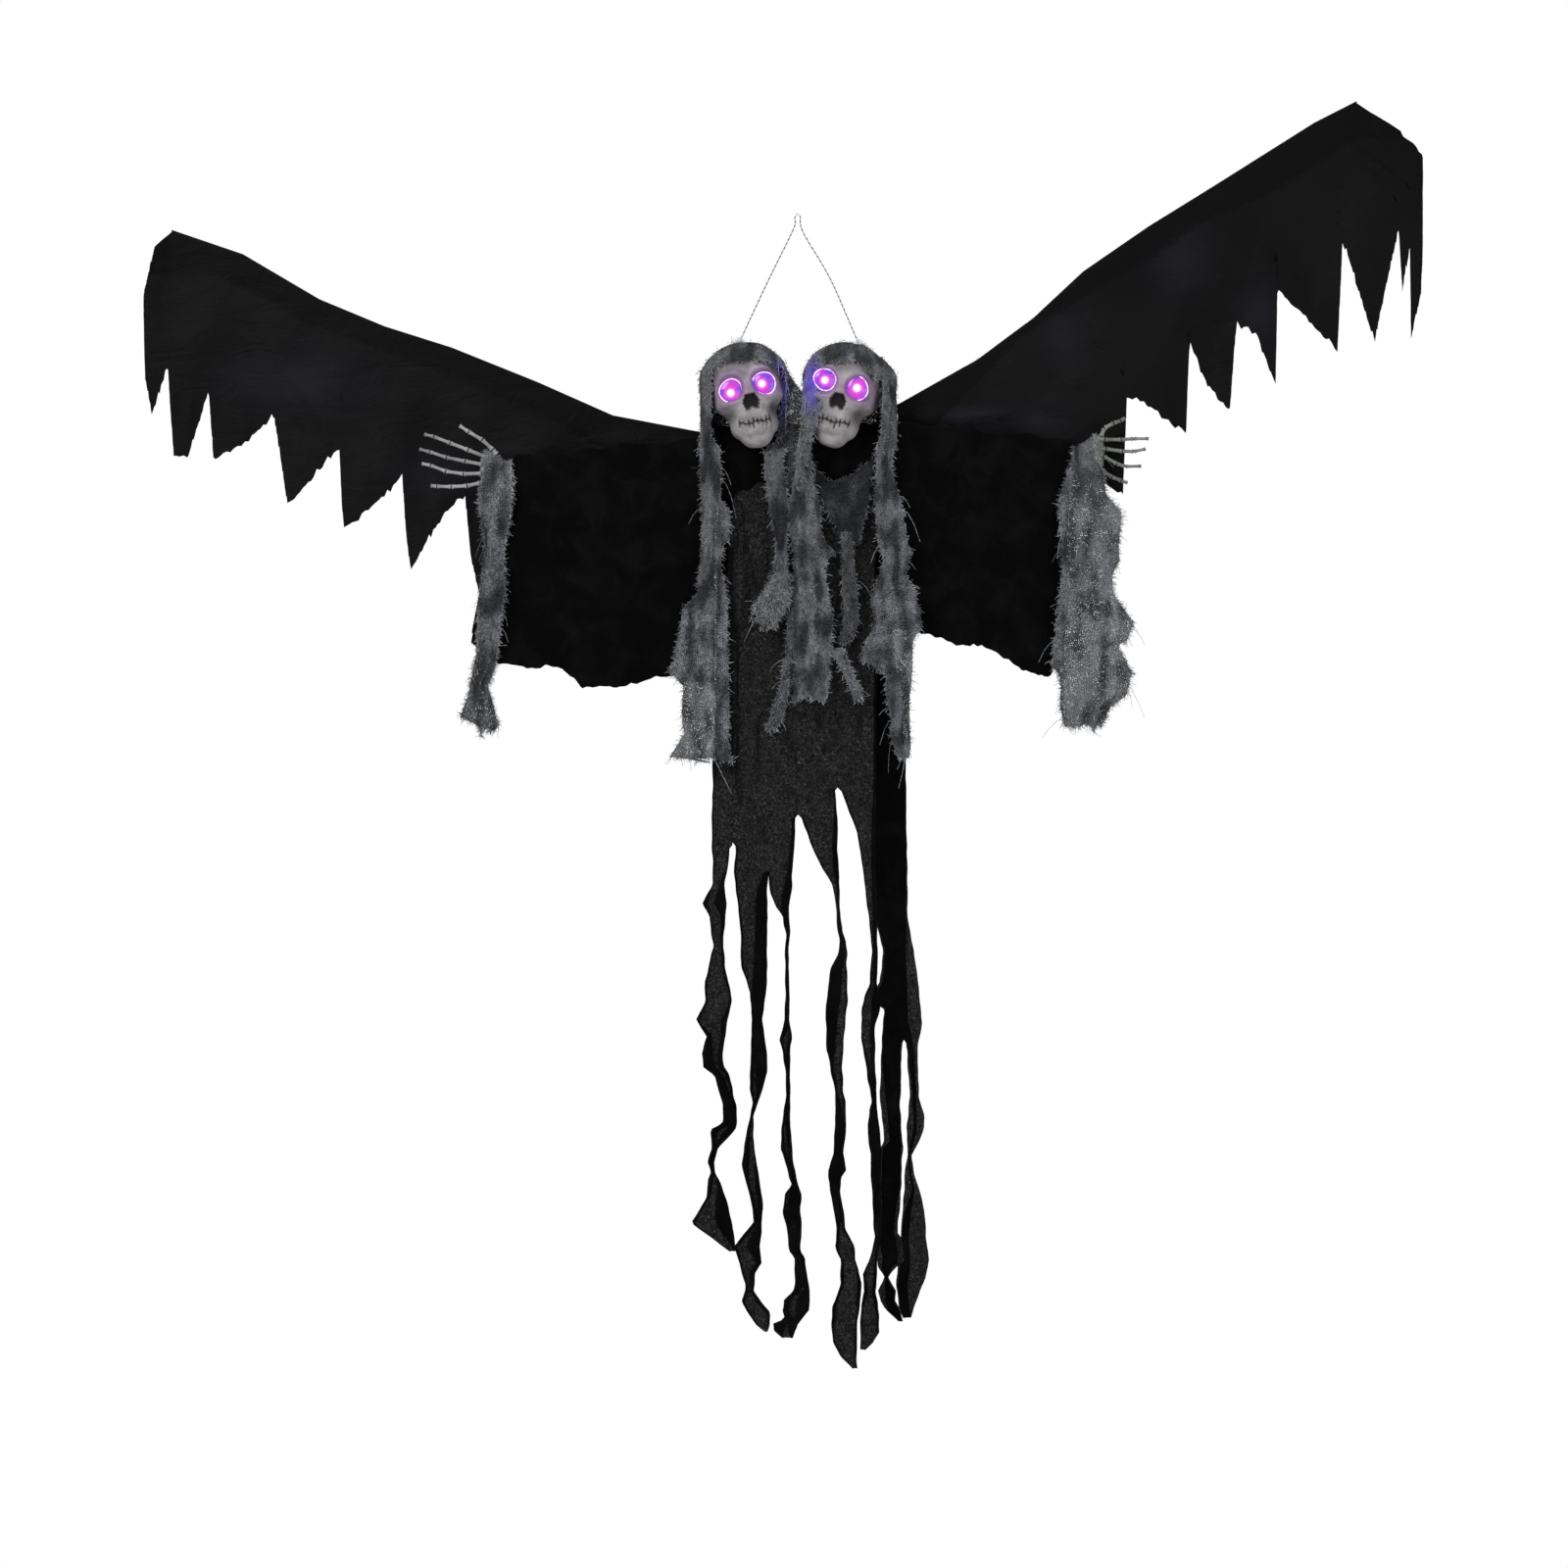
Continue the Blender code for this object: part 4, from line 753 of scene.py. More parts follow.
def cut_away(obj, drop_face):
    """Removes the faces that a test on their middle point picks."""
    select_only(obj)
    bpy.ops.object.mode_set(mode="EDIT")
    bpy.ops.mesh.select_mode(type="FACE")
    bpy.ops.mesh.select_all(action="DESELECT")
    bpy.ops.object.mode_set(mode="OBJECT")
    for face in obj.data.polygons:
        face.select = bool(drop_face(face))
    bpy.ops.object.mode_set(mode="EDIT")
    bpy.ops.mesh.delete(type="FACE")
    bpy.ops.object.mode_set(mode="OBJECT")


def thicken(obj, thickness, offset=0.0, reverse=None):
    """Gives a sheet its thickness, and a second finish on its back if one is named."""
    solid = obj.modifiers.new("thickness", "SOLIDIFY")
    solid.thickness = thickness
    solid.offset = offset
    solid.use_even_offset = False
    if reverse is not None:
        obj.data.materials.append(reverse)
        solid.material_offset = 1
        solid.material_offset_rim = 1
    select_only(obj)
    bpy.ops.object.modifier_apply(modifier=solid.name)
    bpy.ops.object.shade_smooth_by_angle(angle=SMOOTH_ANGLE)


def fold_line(x, z, start, end, width, height):
    """A soft ridge along a line drawn on the photograph."""
    (ax, az), (bx, bz) = from_pixels([start, end])
    run = np.array((bx - ax, bz - az))
    length = np.hypot(*run)
    away = np.stack([x - ax, z - az], axis=-1)
    part = np.clip(away @ run / length**2, 0, 1)
    side = np.hypot(away[..., 0] - part * run[0], away[..., 1] - part * run[1])
    return height * np.exp(-((side / width) ** 2))


def ripple(x, z, size, seed=0.0):
    """Soft noise over a whole grid of points."""
    flat = [noise.noise(Vector((a / size, b / size, seed))) for a, b in zip(np.ravel(x), np.ravel(z))]
    return np.reshape(flat, np.shape(x))


print("cloth helpers ready")

# %% [markdown]
# ## Wings
# Each wing is one piece of thin black satin. Its top edge is folded back over a steel rod and
# sewn, so a darker double band runs along the top, and its lower edge is cut in ragged teeth. The
# cloth is pulled outwards at the tip, so light creases run from the band down into the teeth.

# %% Wings
SPAR_DIAMETER = 2.5 * MM
SPAR_Y = 24 * MM
CHANNEL_DEPTH = 42 * MM
WING_SWING = 80 * MM
SPAR_FOLD = SPAR_DIAMETER / 2 + 0.9 * MM + CLOTH / 2
WING_TOPS = {
    "left": [
        (-739, -17), (-654, -46), (-564, -99), (-487, -131), (-408, -156), (-306, -197), (-218, -236),
        (-118, -255), (-102, -256),
    ],
    "right": [
        (660, 135), (609, 109), (490, 34), (414, -13), (337, -66), (278, -121), (212, -170), (120, -222),
        (104, -228),
    ],
}
WING_HEMS = {
    "left": [
        (-757, -46), (-770, -120), (-769, -190), (-761, -235), (-742, -179), (-735, -282), (-719, -288),
        (-694, -209), (-688, -289), (-645, -264), (-618, -233), (-601, -342), (-564, -300), (-540, -273),
        (-537, -342), (-534, -371), (-493, -338), (-466, -309), (-462, -370), (-456, -417), (-418, -354),
        (-392, -328), (-386, -400), (-376, -443), (-345, -390), (-292, -330), (-200, -300), (-102, -300),
    ],
    "right": [
        (707, 84), (737, 49), (736, -38), (734, -91), (722, -147), (721, -40), (712, -89), (708, -16),
        (680, -147), (642, -30), (640, -80), (636, -161), (600, -121), (565, -87), (563, -200),
        (539, -140), (517, -126), (509, -232), (484, -200), (462, -150), (458, -257), (405, -220),
        (388, -213), (383, -329), (317, -295), (214, -285), (104, -285),
    ],
}
BAND_LINES = {
    "left": [(217, 279), (273, 304), (311, 330), (375, 350), (426, 370.5), (477, 388), (504, 402),
             (563, 427.6), (598.6, 448), (631.7, 463), (680, 478)],
    "right": [(948, 440), (1040, 345), (1110, 300), (1177, 261), (1222, 228), (1307, 191), (1384.6, 139)],
}
# Each crease's two ends, and its width and height in millimetres
WING_CREASES = {
    "left": [
        ((230, 290), (330, 430), 7, 1.6), ((160, 300), (185, 420), 6, -1.3), ((300, 330), (420, 500), 8, 1.5),
        ((380, 370), (480, 560), 7, -1.4), ((210, 330), (250, 440), 5, 1.2), ((430, 400), (600, 470), 8, 1.3),
    ],
    "right": [
        ((1174, 304), (1303, 272), 6, 1.8), ((1200, 344), (1303, 309), 6, -1.7),
        ((985, 428), (1078, 409), 9, 2.2), ((935, 424), (1030, 420), 8, 1.8),
        ((1280, 200), (1330, 300), 6, 1.2), ((1390, 150), (1420, 320), 6, -1.3),
        ((1080, 330), (1120, 430), 8, 1.5),
    ],
}
# The middle of each painted sheen highlight, and its half width and half height, in pixels
SHEEN_SPOTS = {
    "left": [(300, 390, 60, 26), (470, 480, 50, 22), (640, 480, 26, 12)],
    "right": [(1203, 262, 30, 34), (1085, 340, 18, 22), (1288, 318, 20, 26), (985, 422, 46, 8),
              (1060, 428, 22, 14)],
}
print("hem points:", {side: len(points) for side, points in WING_HEMS.items()})

# %% [markdown]
# ### One wing
# The sheet starts behind the rod, goes over it and falls in front. Each column of points hangs
# from its own place on the top edge and ends at its own place on the hem, so that the narrow
# teeth have enough points. Creases and the seam lift the cloth, and two painted values tell the
# finish where the double band is and where the satin gets painted highlights of sheen.

# %% One wing
WING_COLUMN = 5 * MM
ROWS_BACK, ROWS_OVER, ROWS_DOWN = 5, 6, 42
HEM_SHARE = 0.6


def make_wing(side):
    sign = -1 if side == "left" else 1
    top = np.array(sorted(WING_TOPS[side]), float) * MM
    hem = np.array(WING_HEMS[side], float) * MM
    steps = np.concatenate([[0], np.cumsum(np.hypot(*np.diff(hem, axis=0).T))])
    columns = int(steps[-1] / WING_COLUMN)
    spots = np.linspace(0, steps[-1], columns + 1)
    hem_x = np.interp(spots, steps, hem[:, 0])
    hem_z = np.interp(spots, steps, hem[:, 1]) + torn(columns + 1, 1.4 * MM, 1)
    tip = abs(WING_TOPS[side][0][0]) * MM
    root = abs(WING_TOPS[side][-1][0]) * MM
    reach = np.clip(np.minimum.accumulate(np.abs(hem_x)), root, tip - 2 * MM)
    place_on_hem = np.interp(spots, steps, np.arange(len(hem))) / (len(hem) - 1)
    tops = sign * (HEM_SHARE * reach + (1 - HEM_SHARE) * (tip + (root - tip) * place_on_hem))
    edge = np.interp(tops, top[:, 0], top[:, 1]) - SPAR_FOLD
    rows = ROWS_BACK + ROWS_OVER + ROWS_DOWN
    spot = np.zeros((rows + 1, columns + 1, 3))
    spot[:, :, 0] = tops
    for row in range(ROWS_BACK):
        part = 1 - row / ROWS_BACK
        spot[row, :, 1] = SPAR_Y + SPAR_FOLD + 2 * MM * part + 0.4 * MM * np.sin(tops * 90 + row)
        spot[row, :, 2] = edge - CHANNEL_DEPTH * part
    for row in range(ROWS_BACK, ROWS_BACK + ROWS_OVER):
        turn = math.pi * (row - ROWS_BACK) / ROWS_OVER
        spot[row, :, 1] = SPAR_Y + SPAR_FOLD * math.cos(turn)
        spot[row, :, 2] = edge + SPAR_FOLD * math.sin(turn)
    fall = edge - hem_z
    swing_drop = np.minimum(WING_SWING, 0.7 * fall)
    for row in range(ROWS_BACK + ROWS_OVER, rows + 1):
        part = (row - ROWS_BACK - ROWS_OVER) / ROWS_DOWN
        drop = fall * part
        x = tops + (hem_x - tops) * np.minimum(1.0, drop / swing_drop)
        spot[row, :, 0] = x
        spot[row, :, 2] = edge - drop
    front = slice(ROWS_BACK + ROWS_OVER, None)
    x, z = spot[front, :, 0], spot[front, :, 2]
    part = np.linspace(0, 1, ROWS_DOWN + 1)[:, None]
    calm = ease(part * 2.5)
    depth = 2.6 * MM * np.sin(x * 34 + z * 9) + 1.6 * MM * np.sin(x * 71 - z * 23 + 1)
    depth += 2.2 * MM * ripple(x, z, 0.055, 3.0) + 1.1 * MM * ripple(x + z * 0.7, z * 0.5, 0.019, 5.0)
    depth += 1.6 * MM * part**2 * ripple(x, z * 0.25, 0.013, 7.0)
    for start, end, width, height in WING_CREASES[side]:
        depth -= fold_line(x, z, start, end, width * MM, height * MM)
    band = np.array(sorted(from_pixels(BAND_LINES[side])))
    seam = np.exp(-(((z - np.interp(x, *band.T)) / (2.2 * MM)) ** 2))
    depth = depth * calm + 0.7 * MM * seam
    spot[front, :, 1] = SPAR_Y - SPAR_FOLD - 1 * MM * calm + depth
    wing = grid_sheet(f"satin_wing_{side}", columns, rows, spot)
    here = points_of(wing)
    above_seam = here[:, 2] - np.interp(here[:, 0], *band.T)
    paint(wing, "band", ease(above_seam / (3 * MM) + 0.5) * 0.8)
    # Painted highlights of sheen round the listed spots
    shine = np.zeros(len(here))
    for px, py, wide, tall in SHEEN_SPOTS[side]:
        (cx, cz), = from_pixels([(px, py)])
        away = ((here[:, 0] - cx) / (wide * PIXEL)) ** 2 + ((here[:, 2] - cz) / (tall * PIXEL)) ** 2
        shine += np.exp(-away)
    paint(wing, "sheen", np.clip(shine, 0, 1))
    thicken(wing, CLOTH)
    return settle(wing, wing.name, WING_SATIN, [f"wing_{side}"])


for side in HEADS:
    make_wing(side)

# %% [markdown]
# ## Sleeves
# A sleeve is one wide piece of dull black cloth laid over the arm rod, so it hangs in front and
# behind and is open below. It widens towards the hem and has only soft upright folds.

# %% Sleeves
ROD_ENDS = ((-0.352, -0.300), (0.346, -0.282))
ROD_DIAMETER = 3 * MM
SLEEVE_HEMS = {
    "left": [(-98, -552), (-166, -545), (-205, -557), (-252, -557), (-281, -531), (-311, -534),
             (-350, -530), (-383, -504)],
    "right": [(97, -486), (149, -492), (191, -509), (220, -509), (262, -537), (293, -545), (312, -530)],
}
CUFFS = {"left": -0.334, "right": 0.321}
SLEEVE_TOPS = {"left": ((-0.334, -0.284), (-0.098, -0.262)), "right": ((0.097, -0.243), (0.321, -0.266))}


def rod_z(x):
    (x0, z0), (x1, z1) = ROD_ENDS
    return z0 + (z1 - z0) * (x - x0) / (x1 - x0)


def make_sleeve(side):
    sign = -1 if side == "left" else 1
    hem = np.array(SLEEVE_HEMS[side], float) * MM
    columns, down, over = 84, 56, 8
    share = np.linspace(0, 1, columns + 1)
    inner = abs(hem[0, 0])
    x_top = sign * inner + (CUFFS[side] - sign * inner) * share
    (x0, z0), (x1, z1) = SLEEVE_TOPS[side]
    centre = z0 + (z1 - z0) * (x_top - x0) / (x1 - x0) - 2.5 * MM
    centre = centre + 1.5 * MM * np.sin(share * 19) + 1.2 * MM * np.sin(share * 41 + 1)
    place = share * (len(hem) - 1)
    low_x = np.interp(place, np.arange(len(hem)), hem[:, 0])
    low_z = np.interp(place, np.arange(len(hem)), hem[:, 1]) + torn(columns + 1, 1.2 * MM, 2)
    fold = ROD_DIAMETER / 2 + 0.3 * MM + CLOTH / 2
    rows = 2 * down + over
    spot = np.zeros((rows + 1, columns + 1, 3))
    for row in range(rows + 1):
        front = row < down
        if down <= row <= down + over:
            turn = math.pi * (row - down) / over
            spot[row, :, 0] = x_top
            spot[row, :, 1] = -fold * math.cos(turn)
            spot[row, :, 2] = centre + fold * math.sin(turn)
            continue
        level = (down - row) / down if front else (row - down - over) / down
        lower = low_z if front else low_z + 12 * MM
        x = x_top + (low_x - x_top) * level**0.8
        z = centre + (lower - centre) * level
        swell = ease(level * 2)
        pleat = np.sin(share * 17 + level * 1.5) + 0.5 * np.sin(share * 31 - level)
        soft = 2.2 * MM * ripple(x, z * 0.35, 0.030, 11.0 + front) + 0.9 * MM * ripple(x, z, 0.016, 4.0)
        y = fold + swell * (6 * MM + 3 * MM * pleat + soft)
        spot[row, :, 0] = x
        spot[row, :, 1] = -y if front else y * 0.8
        spot[row, :, 2] = z
    sleeve = grid_sheet(f"cloth_sleeve_{side}", columns, rows, spot)
    thicken(sleeve, CLOTH)
    return settle(sleeve, sleeve.name, BLACK_CLOTH, [f"sleeve_{side}"])


for side in HEADS:
    make_sleeve(side)

# %% [markdown]
# ## Robe
# The robe's front is one thin panel, dark grey and speckled outside and black inside. It is torn
# into five long streamers that curl, so their black inside shows in places. Behind it hangs a
# black back panel with two more streamers at the right. A streamer's table gives the drop and
# its left and right edge, then how much of its width is covered by the edge folded over from the
# left and from the right.

# %% Robe
FRONT_STREAMERS = [
    [
        (318, -75, -63, 0, 0), (640, -100, -74, 0, 0), (728, -100, -79, 0, 0), (764, -99, -81, 0.1, 0),
        (788, -100, -86, 0, 0.4), (811, -112, -84, 0.2, 0.5), (825, -103, -85, 0, 0.3),
        (861, -99, -88, 0, 0.2), (901, -108, -82, 0, 0.1), (924, -108, -77, 0, 0),
        (946, -119, -82, 0, 0.2), (966, -106, -85, 0.3, 0.2), (986, -112, -88, 0.5, 0.2),
        (1002, -110, -86, 0.6, 0.3), (1012, -97, -80, 0.6, 0.2), (1047, -88, -73, 0.8, 0.1),
        (1068, -88, -71, 0.8, 0.2), (1075, -102, -73, 0.3, 0.4), (1087, -101, -84, 0.3, 0.5),
        (1097, -100, -93, 0.5, 0.4), (1113, -106, -97, 0.5, 0.3), (1125, -102, -96, 0.6, 0.3),
        (1134, -105, -92, 0.4, 0.2), (1156, -107, -84, 0.1, 0.5), (1184, -124, -77, 0, 0.4),
        (1196, -108, -75, 0, 0.4), (1218, -80, -73, 0, 0.2),
    ],
    [
        (318, -60, -37, 0, 0), (640, -71, -37, 0, 0), (774, -74, -35, 0, 0.15), (809, -71, -36, 0, 0.4),
        (849, -67, -36, 0, 0.45), (885, -66, -36, 0, 0.5), (914, -56, -37, 0, 0.85),
        (946, -54, -41, 0.1, 0.8), (986, -55, -36, 0.1, 0.8), (1006, -55, -36, 0.2, 0.7),
        (1027, -56, -41, 0.2, 0.5), (1045, -53, -48, 0.3, 0.5), (1059, -56, -52, 0.3, 0.4),
        (1083, -61, -52, 0.5, 0), (1115, -65, -48, 0.5, 0.1), (1136, -61, -44, 0.2, 0.3),
        (1168, -53, -41, 0.3, 0.5), (1184, -51, -43, 0.5, 0.4), (1196, -61, -43, 0.2, 0.5),
        (1212, -74, -45, 0.1, 0.5), (1232, -68, -43, 0.1, 0.2), (1245, -65, -51, 0.1, 0.4),
        (1257, -61, -50, 0.2, 0.5), (1265, -61, -52, 0.3, 0.3), (1277, -65, -43, 0.1, 0.2),
        (1289, -59, -33, 0.1, 0.1), (1305, -48, -33, 0.1, 0.1), (1312, -39, -35, 0, 0),
    ],
    [
        (318, -34, -2, 0, 0), (640, -34, -3, 0, 0), (710, -34, -3, 0, 0.1), (774, -34, -6, 0, 0.2),
        (797, -32, -8, 0, 0.4), (813, -26, -10, 0, 0.6), (825, -18, -10, 0, 0.8), (845, -14, -9, 0, 1),
        (869, -15, -11, 1, 0), (889, -14, -10, 0.6, 0.3), (946, -15, -10, 1, 0), (970, -22, -6, 0.2, 0.2),
        (986, -17, -9, 0.3, 0.5), (1010, -14, -9, 0.6, 0.4), (1035, -13, -9, 0.5, 0.5),
        (1071, -19, -9, 0.2, 0.5), (1099, -20, -7, 0.3, 0.4), (1119, -13, -4, 0.5, 0.4),
        (1140, -7, 1, 0.5, 0.4), (1150, -15, 3, 0.1, 0.7), (1172, -18, 4, 0.1, 0.8),
        (1188, -13, 4, 0.4, 0.5), (1218, -10, 3, 0.8, 0.1), (1226, -4, 8, 0.8, 0.1),
        (1253, -3, 12, 0.7, 0.2), (1265, -5, 14, 0.4, 0.4), (1275, -16, 14, 0.2, 0.5),
        (1287, -18, 13, 0.2, 0.5), (1297, -15, 5, 0.5, 0.4), (1303, -29, 0, 0.5, 0.4),
        (1311, -28, -3, 0.4, 0.3), (1319, -19, -5, 0.2, 0.2),
    ],
    [
        (318, 1, 43, 0, 0), (640, 1, 44, 0, 0), (677, 1, 44, 0, 0), (710, 4, 46, 0, 0.1),
        (748, 19, 46, 0, 0.2), (768, 28, 48, 0, 0.3), (788, 40, 48, 0, 0.4), (805, 44, 49, 0, 0.6),
        (825, 46, 50, 0, 0.6), (843, 47, 52, 0, 0.7), (853, 49, 56, 0.2, 0.5), (869, 48, 58, 0.7, 0),
        (885, 39, 58, 0.7, 0), (930, 33, 58, 0.6, 0), (982, 33, 53, 0.5, 0), (994, 37, 52, 0.3, 0.1),
        (1030, 43, 53, 0.2, 0.2), (1043, 44, 56, 0.5, 0.2), (1071, 44, 56, 0.9, 0),
        (1103, 42, 54, 0.9, 0), (1123, 36, 57, 0.7, 0.2), (1132, 36, 50, 0.7, 0.2),
        (1148, 38, 49, 0.8, 0.2), (1172, 43, 54, 0.7, 0.2), (1192, 46, 56, 0.3, 0.2),
        (1212, 44, 67, 0.1, 0), (1228, 50, 67, 0.1, 0), (1245, 50, 72, 0.2, 0.1),
        (1256, 50, 75, 0.1, 0.2), (1281, 41, 73, 0.1, 0.1), (1301, 39, 70, 0.1, 0),
        (1325, 41, 69, 0, 0.1), (1341, 50, 69, 0, 0.1), (1355, 64, 69, 0, 0),
    ],
    [
        (318, 46, 93, 0, 0), (640, 47, 91, 0, 0), (677, 50, 91, 0, 0.05), (728, 70, 91, 0, 0.2),
        (768, 76, 91, 0, 0.3), (809, 81, 92, 0, 0.4), (849, 85, 93, 0, 0.6), (869, 87, 94, 0, 0.7),
        (905, 84, 92, 0.3, 0.3), (918, 77, 97, 0, 0.5), (930, 76, 97, 0, 0.5), (954, 74, 90, 0, 0.3),
        (970, 75, 90, 0.1, 0.3), (1010, 81, 91, 0.4, 0.4), (1043, 87, 92, 0.5, 0.4),
        (1051, 84, 93, 0.8, 0.1), (1079, 82, 96, 0.9, 0), (1103, 85, 98, 0.9, 0),
        (1172, 88, 98, 0.2, 0.7), (1200, 90, 98, 0.2, 0.5), (1228, 84, 93, 0.1, 0.2),
        (1245, 76, 93, 0.1, 0.2), (1265, 78, 91, 0.3, 0.3), (1281, 74, 94, 0.1, 0.2),
        (1293, 74, 95, 0, 0.1), (1313, 73, 95, 0, 0.1), (1325, 73, 88, 0, 0), (1333, 73, 79, 0, 0),
    ],
]
FRONT_NOTCHES = [742, 772, 710, 677]
BACK_STREAMERS = [
    [
        (264, -86, -60, 0, 0), (318, -92, -60, 0, 0), (640, -98, -60, 0, 0), (652, -90, -66, 0, 0),
    ],
    [
        (264, -57, -2, 0, 0), (648, -57, -2, 0, 0),
    ],
    [
        (264, 1, 57, 0, 0), (318, 1, 57, 0, 0), (644, 1, 70, 0, 0),
    ],
    [
        (264, 60, 74, 0, 0), (318, 60, 76, 0, 0), (640, 84, 116, 0, 0), (829, 91, 121, 0, 0),
        (865, 101, 122, 0.1, 0), (905, 98, 123, 0.1, 0), (913, 92, 123, 0.1, 0), (929, 92, 123, 0.1, 0),
        (937, 103, 123, 0, 0), (970, 100, 123, 0, 0.1), (1010, 98, 122, 0.1, 0), (1043, 97, 121, 0.3, 0),
        (1091, 103, 123, 0.3, 0), (1100, 98, 124, 0.1, 0.1), (1140, 98, 122, 0, 0),
        (1168, 98, 120, 0, 0.2), (1200, 97, 118, 0, 0.2), (1212, 94, 126, 0.1, 0.3),
        (1232, 94, 126, 0.2, 0.2), (1241, 95, 114, 0.2, 0.2), (1251, 102, 107, 0.2, 0.2),
        (1268, 95, 116, 0.4, 0.1), (1280, 98, 116, 0.3, 0.1), (1290, 104, 121, 0.1, 0.1),
        (1304, 119, 124, 0, 0),
    ],
    [
        (264, 77, 88, 0, 0), (318, 79, 94, 0, 0), (640, 119, 127, 0, 0), (829, 124, 130, 0, 0.3),
        (869, 125, 137, 0, 0.8), (909, 126, 142, 0, 0.8), (952, 126, 146, 0, 0.8),
        (970, 127, 143, 0.1, 0.5), (986, 129, 141, 0.1, 0.3), (1010, 130, 142, 0.2, 0.3),
        (1039, 132, 143, 0.3, 0.3), (1063, 130, 149, 0.3, 0.5), (1075, 129, 149, 0.4, 0.4),
        (1091, 129, 143, 0.3, 0.4), (1109, 130, 134, 0.3, 0.3), (1132, 126, 138, 0.5, 0.3),
        (1146, 126, 143, 0.5, 0.3), (1172, 124, 149, 0.1, 0.6), (1204, 122, 151, 0, 0.7),
        (1232, 117, 155, 0, 0.6), (1253, 117, 151, 0, 0.6), (1273, 118, 143, 0, 0.5),
        (1290, 119, 136, 0, 0.3), (1300, 124, 133, 0, 0),
    ],
]
BACK_NOTCHES = [640, 640, 640, 975]
print("streamers in front:", len(FRONT_STREAMERS), "and behind:", len(BACK_STREAMERS))

# %% [markdown]
# ### One streamer
# A streamer is a grid with a wide middle and three narrow columns at each edge. Where an edge is
# folded over, those columns turn back over the front, so the dark reverse shows. Loose streamers
# also bulge, bow and wave, each in its own way. Creases and shadows that the photograph shows on
# the panel are drawn from a few lines: the creases are raised, and both are painted dark as
# painted shade.

# %% One streamer
# These creases are raised and also painted dark as painted shade; the wider shadow lines are painted shade
# only
PANEL_CREASES = [
    ((764, 812), (783, 860)), ((753, 779), (756.5, 823)), ((837, 779), (852, 823)), ((879, 775), (881, 814)),
    ((752, 640), (753, 804)), ((745, 700), (746, 790)), ((762, 554), (770, 592)), ((770, 592), (776, 602)),
    ((833, 720), (842, 768)), ((848, 716), (859, 748)), ((875, 722), (879, 756)), ((802, 742), (815, 788)),
    ((773, 736), (775, 798)), ((758, 520), (762, 600)), ((756, 622), (766, 600)),
]
PANEL_SHADOWS = [((746, 560), (746, 640)), ((745, 640), (744, 777)), ((858, 560), (857, 630))]
ROBE_STEP = 4
EDGE_COLUMNS = 3
MAIN_COLUMNS = 7
ROLLED_EDGE = 0.05
SEAM_REACH = 0.01 * MM


def folded_edge(part, cover, width):
    """How far a folded edge stands off its strip, for a part of the way from the line where it turns."""
    lift = np.sin(np.pi * np.minimum(part + 0.15, 1)) * 0.6 + 0.9 * (cover > 0)
    return lift * np.minimum(1, cover * width / 1.2)


def make_streamer(name, stations, notch_left, notch_right, hang, loose_from, seed):
    """One strip of the robe, whose two edges can fold over its front."""
    top, bottom = stations[0][0], stations[-1][0]
    rows = int((bottom - top) / ROBE_STEP)
    drops = np.linspace(top, bottom, rows + 1)
    columns = 2 * EDGE_COLUMNS + MAIN_COLUMNS
    left, right, from_left, from_right = (along(stations, drops, column) for column in (1, 2, 3, 4))
    free_left = drops > notch_left
    free_right = drops > notch_right
    left = left + torn(rows + 1, 0.5, 3) * free_left
    right = right + torn(rows + 1, 0.5, 3) * free_right
    width = right - left
    from_left = np.where(free_left, np.maximum(from_left, ROLLED_EDGE), 0)
    from_right = np.where(free_right, np.maximum(from_right, ROLLED_EDGE), 0)
    spot = np.zeros((rows + 1, columns + 1, 3))
    loose = ease((drops - loose_from) / 80)
    curl = 1.3 + 1.2 * loose
    for column in range(columns + 1):
        if column < EDGE_COLUMNS:
            part = (EDGE_COLUMNS - column) / EDGE_COLUMNS
            across = from_left * part
            lift = folded_edge(part, from_left, width)
        elif column > EDGE_COLUMNS + MAIN_COLUMNS:
            part = (column - EDGE_COLUMNS - MAIN_COLUMNS) / EDGE_COLUMNS
            across = 1 - from_right * part
            lift = folded_edge(part, from_right, width)
        else:
            across = (column - EDGE_COLUMNS) / MAIN_COLUMNS * np.ones(rows + 1)
            lift = 0 * across
        x = left + width * across
        bulge = np.sin(drops * (0.045 + 0.007 * seed) + seed * 2.1) * 5 * (across - 0.5) * loose
        bow = 1.6 * np.sin(across * np.pi) * loose * np.sin(drops * 0.031 + seed)
        spot[:, column, 0] = x * MM
        spot[:, column, 1] = (hang(x, drops) + bulge + bow - lift * curl) * MM
        spot[:, column, 2] = -drops * MM
    x, z = spot[:, :, 0], spot[:, :, 2]
    soft = 1.5 * MM * ripple(x, z * 0.6, 0.021, 2.0) + 0.7 * MM * ripple(x, z, 0.009, 6.0)
    knots = 2.6 * MM * ripple(x * 0.7 + 0.3 * seed, z, 0.018, 9.0 + seed) * loose[:, None]
    spot[:, :, 1] += soft * (0.4 + 0.6 * loose[:, None]) + knots
    if hang is front_hang:
        for start, end in PANEL_CREASES:
            spot[:, :, 1] += fold_line(x, z, start, end, 2.4 * MM, 2.2 * MM)
    strip = grid_sheet(name, columns, rows, spot)
    lay_map(strip, float(width.mean()) * MM, (bottom - top) * MM)
    if hang is front_hang:
        here = points_of(strip)
        # Painted shade along the creases and in the shadows of the front panel
        painted_panel_shade = sum(fold_line(here[:, 0], here[:, 2], a, b, 1.6 * MM, 0.9) for a, b in PANEL_CREASES)
        painted_panel_shade = painted_panel_shade + sum(fold_line(here[:, 0], here[:, 2], a, b, 4.2 * MM, 1.0) for a, b in PANEL_SHADOWS)
        paint(strip, "crease", np.clip(painted_panel_shade, 0, 0.95))
    return strip


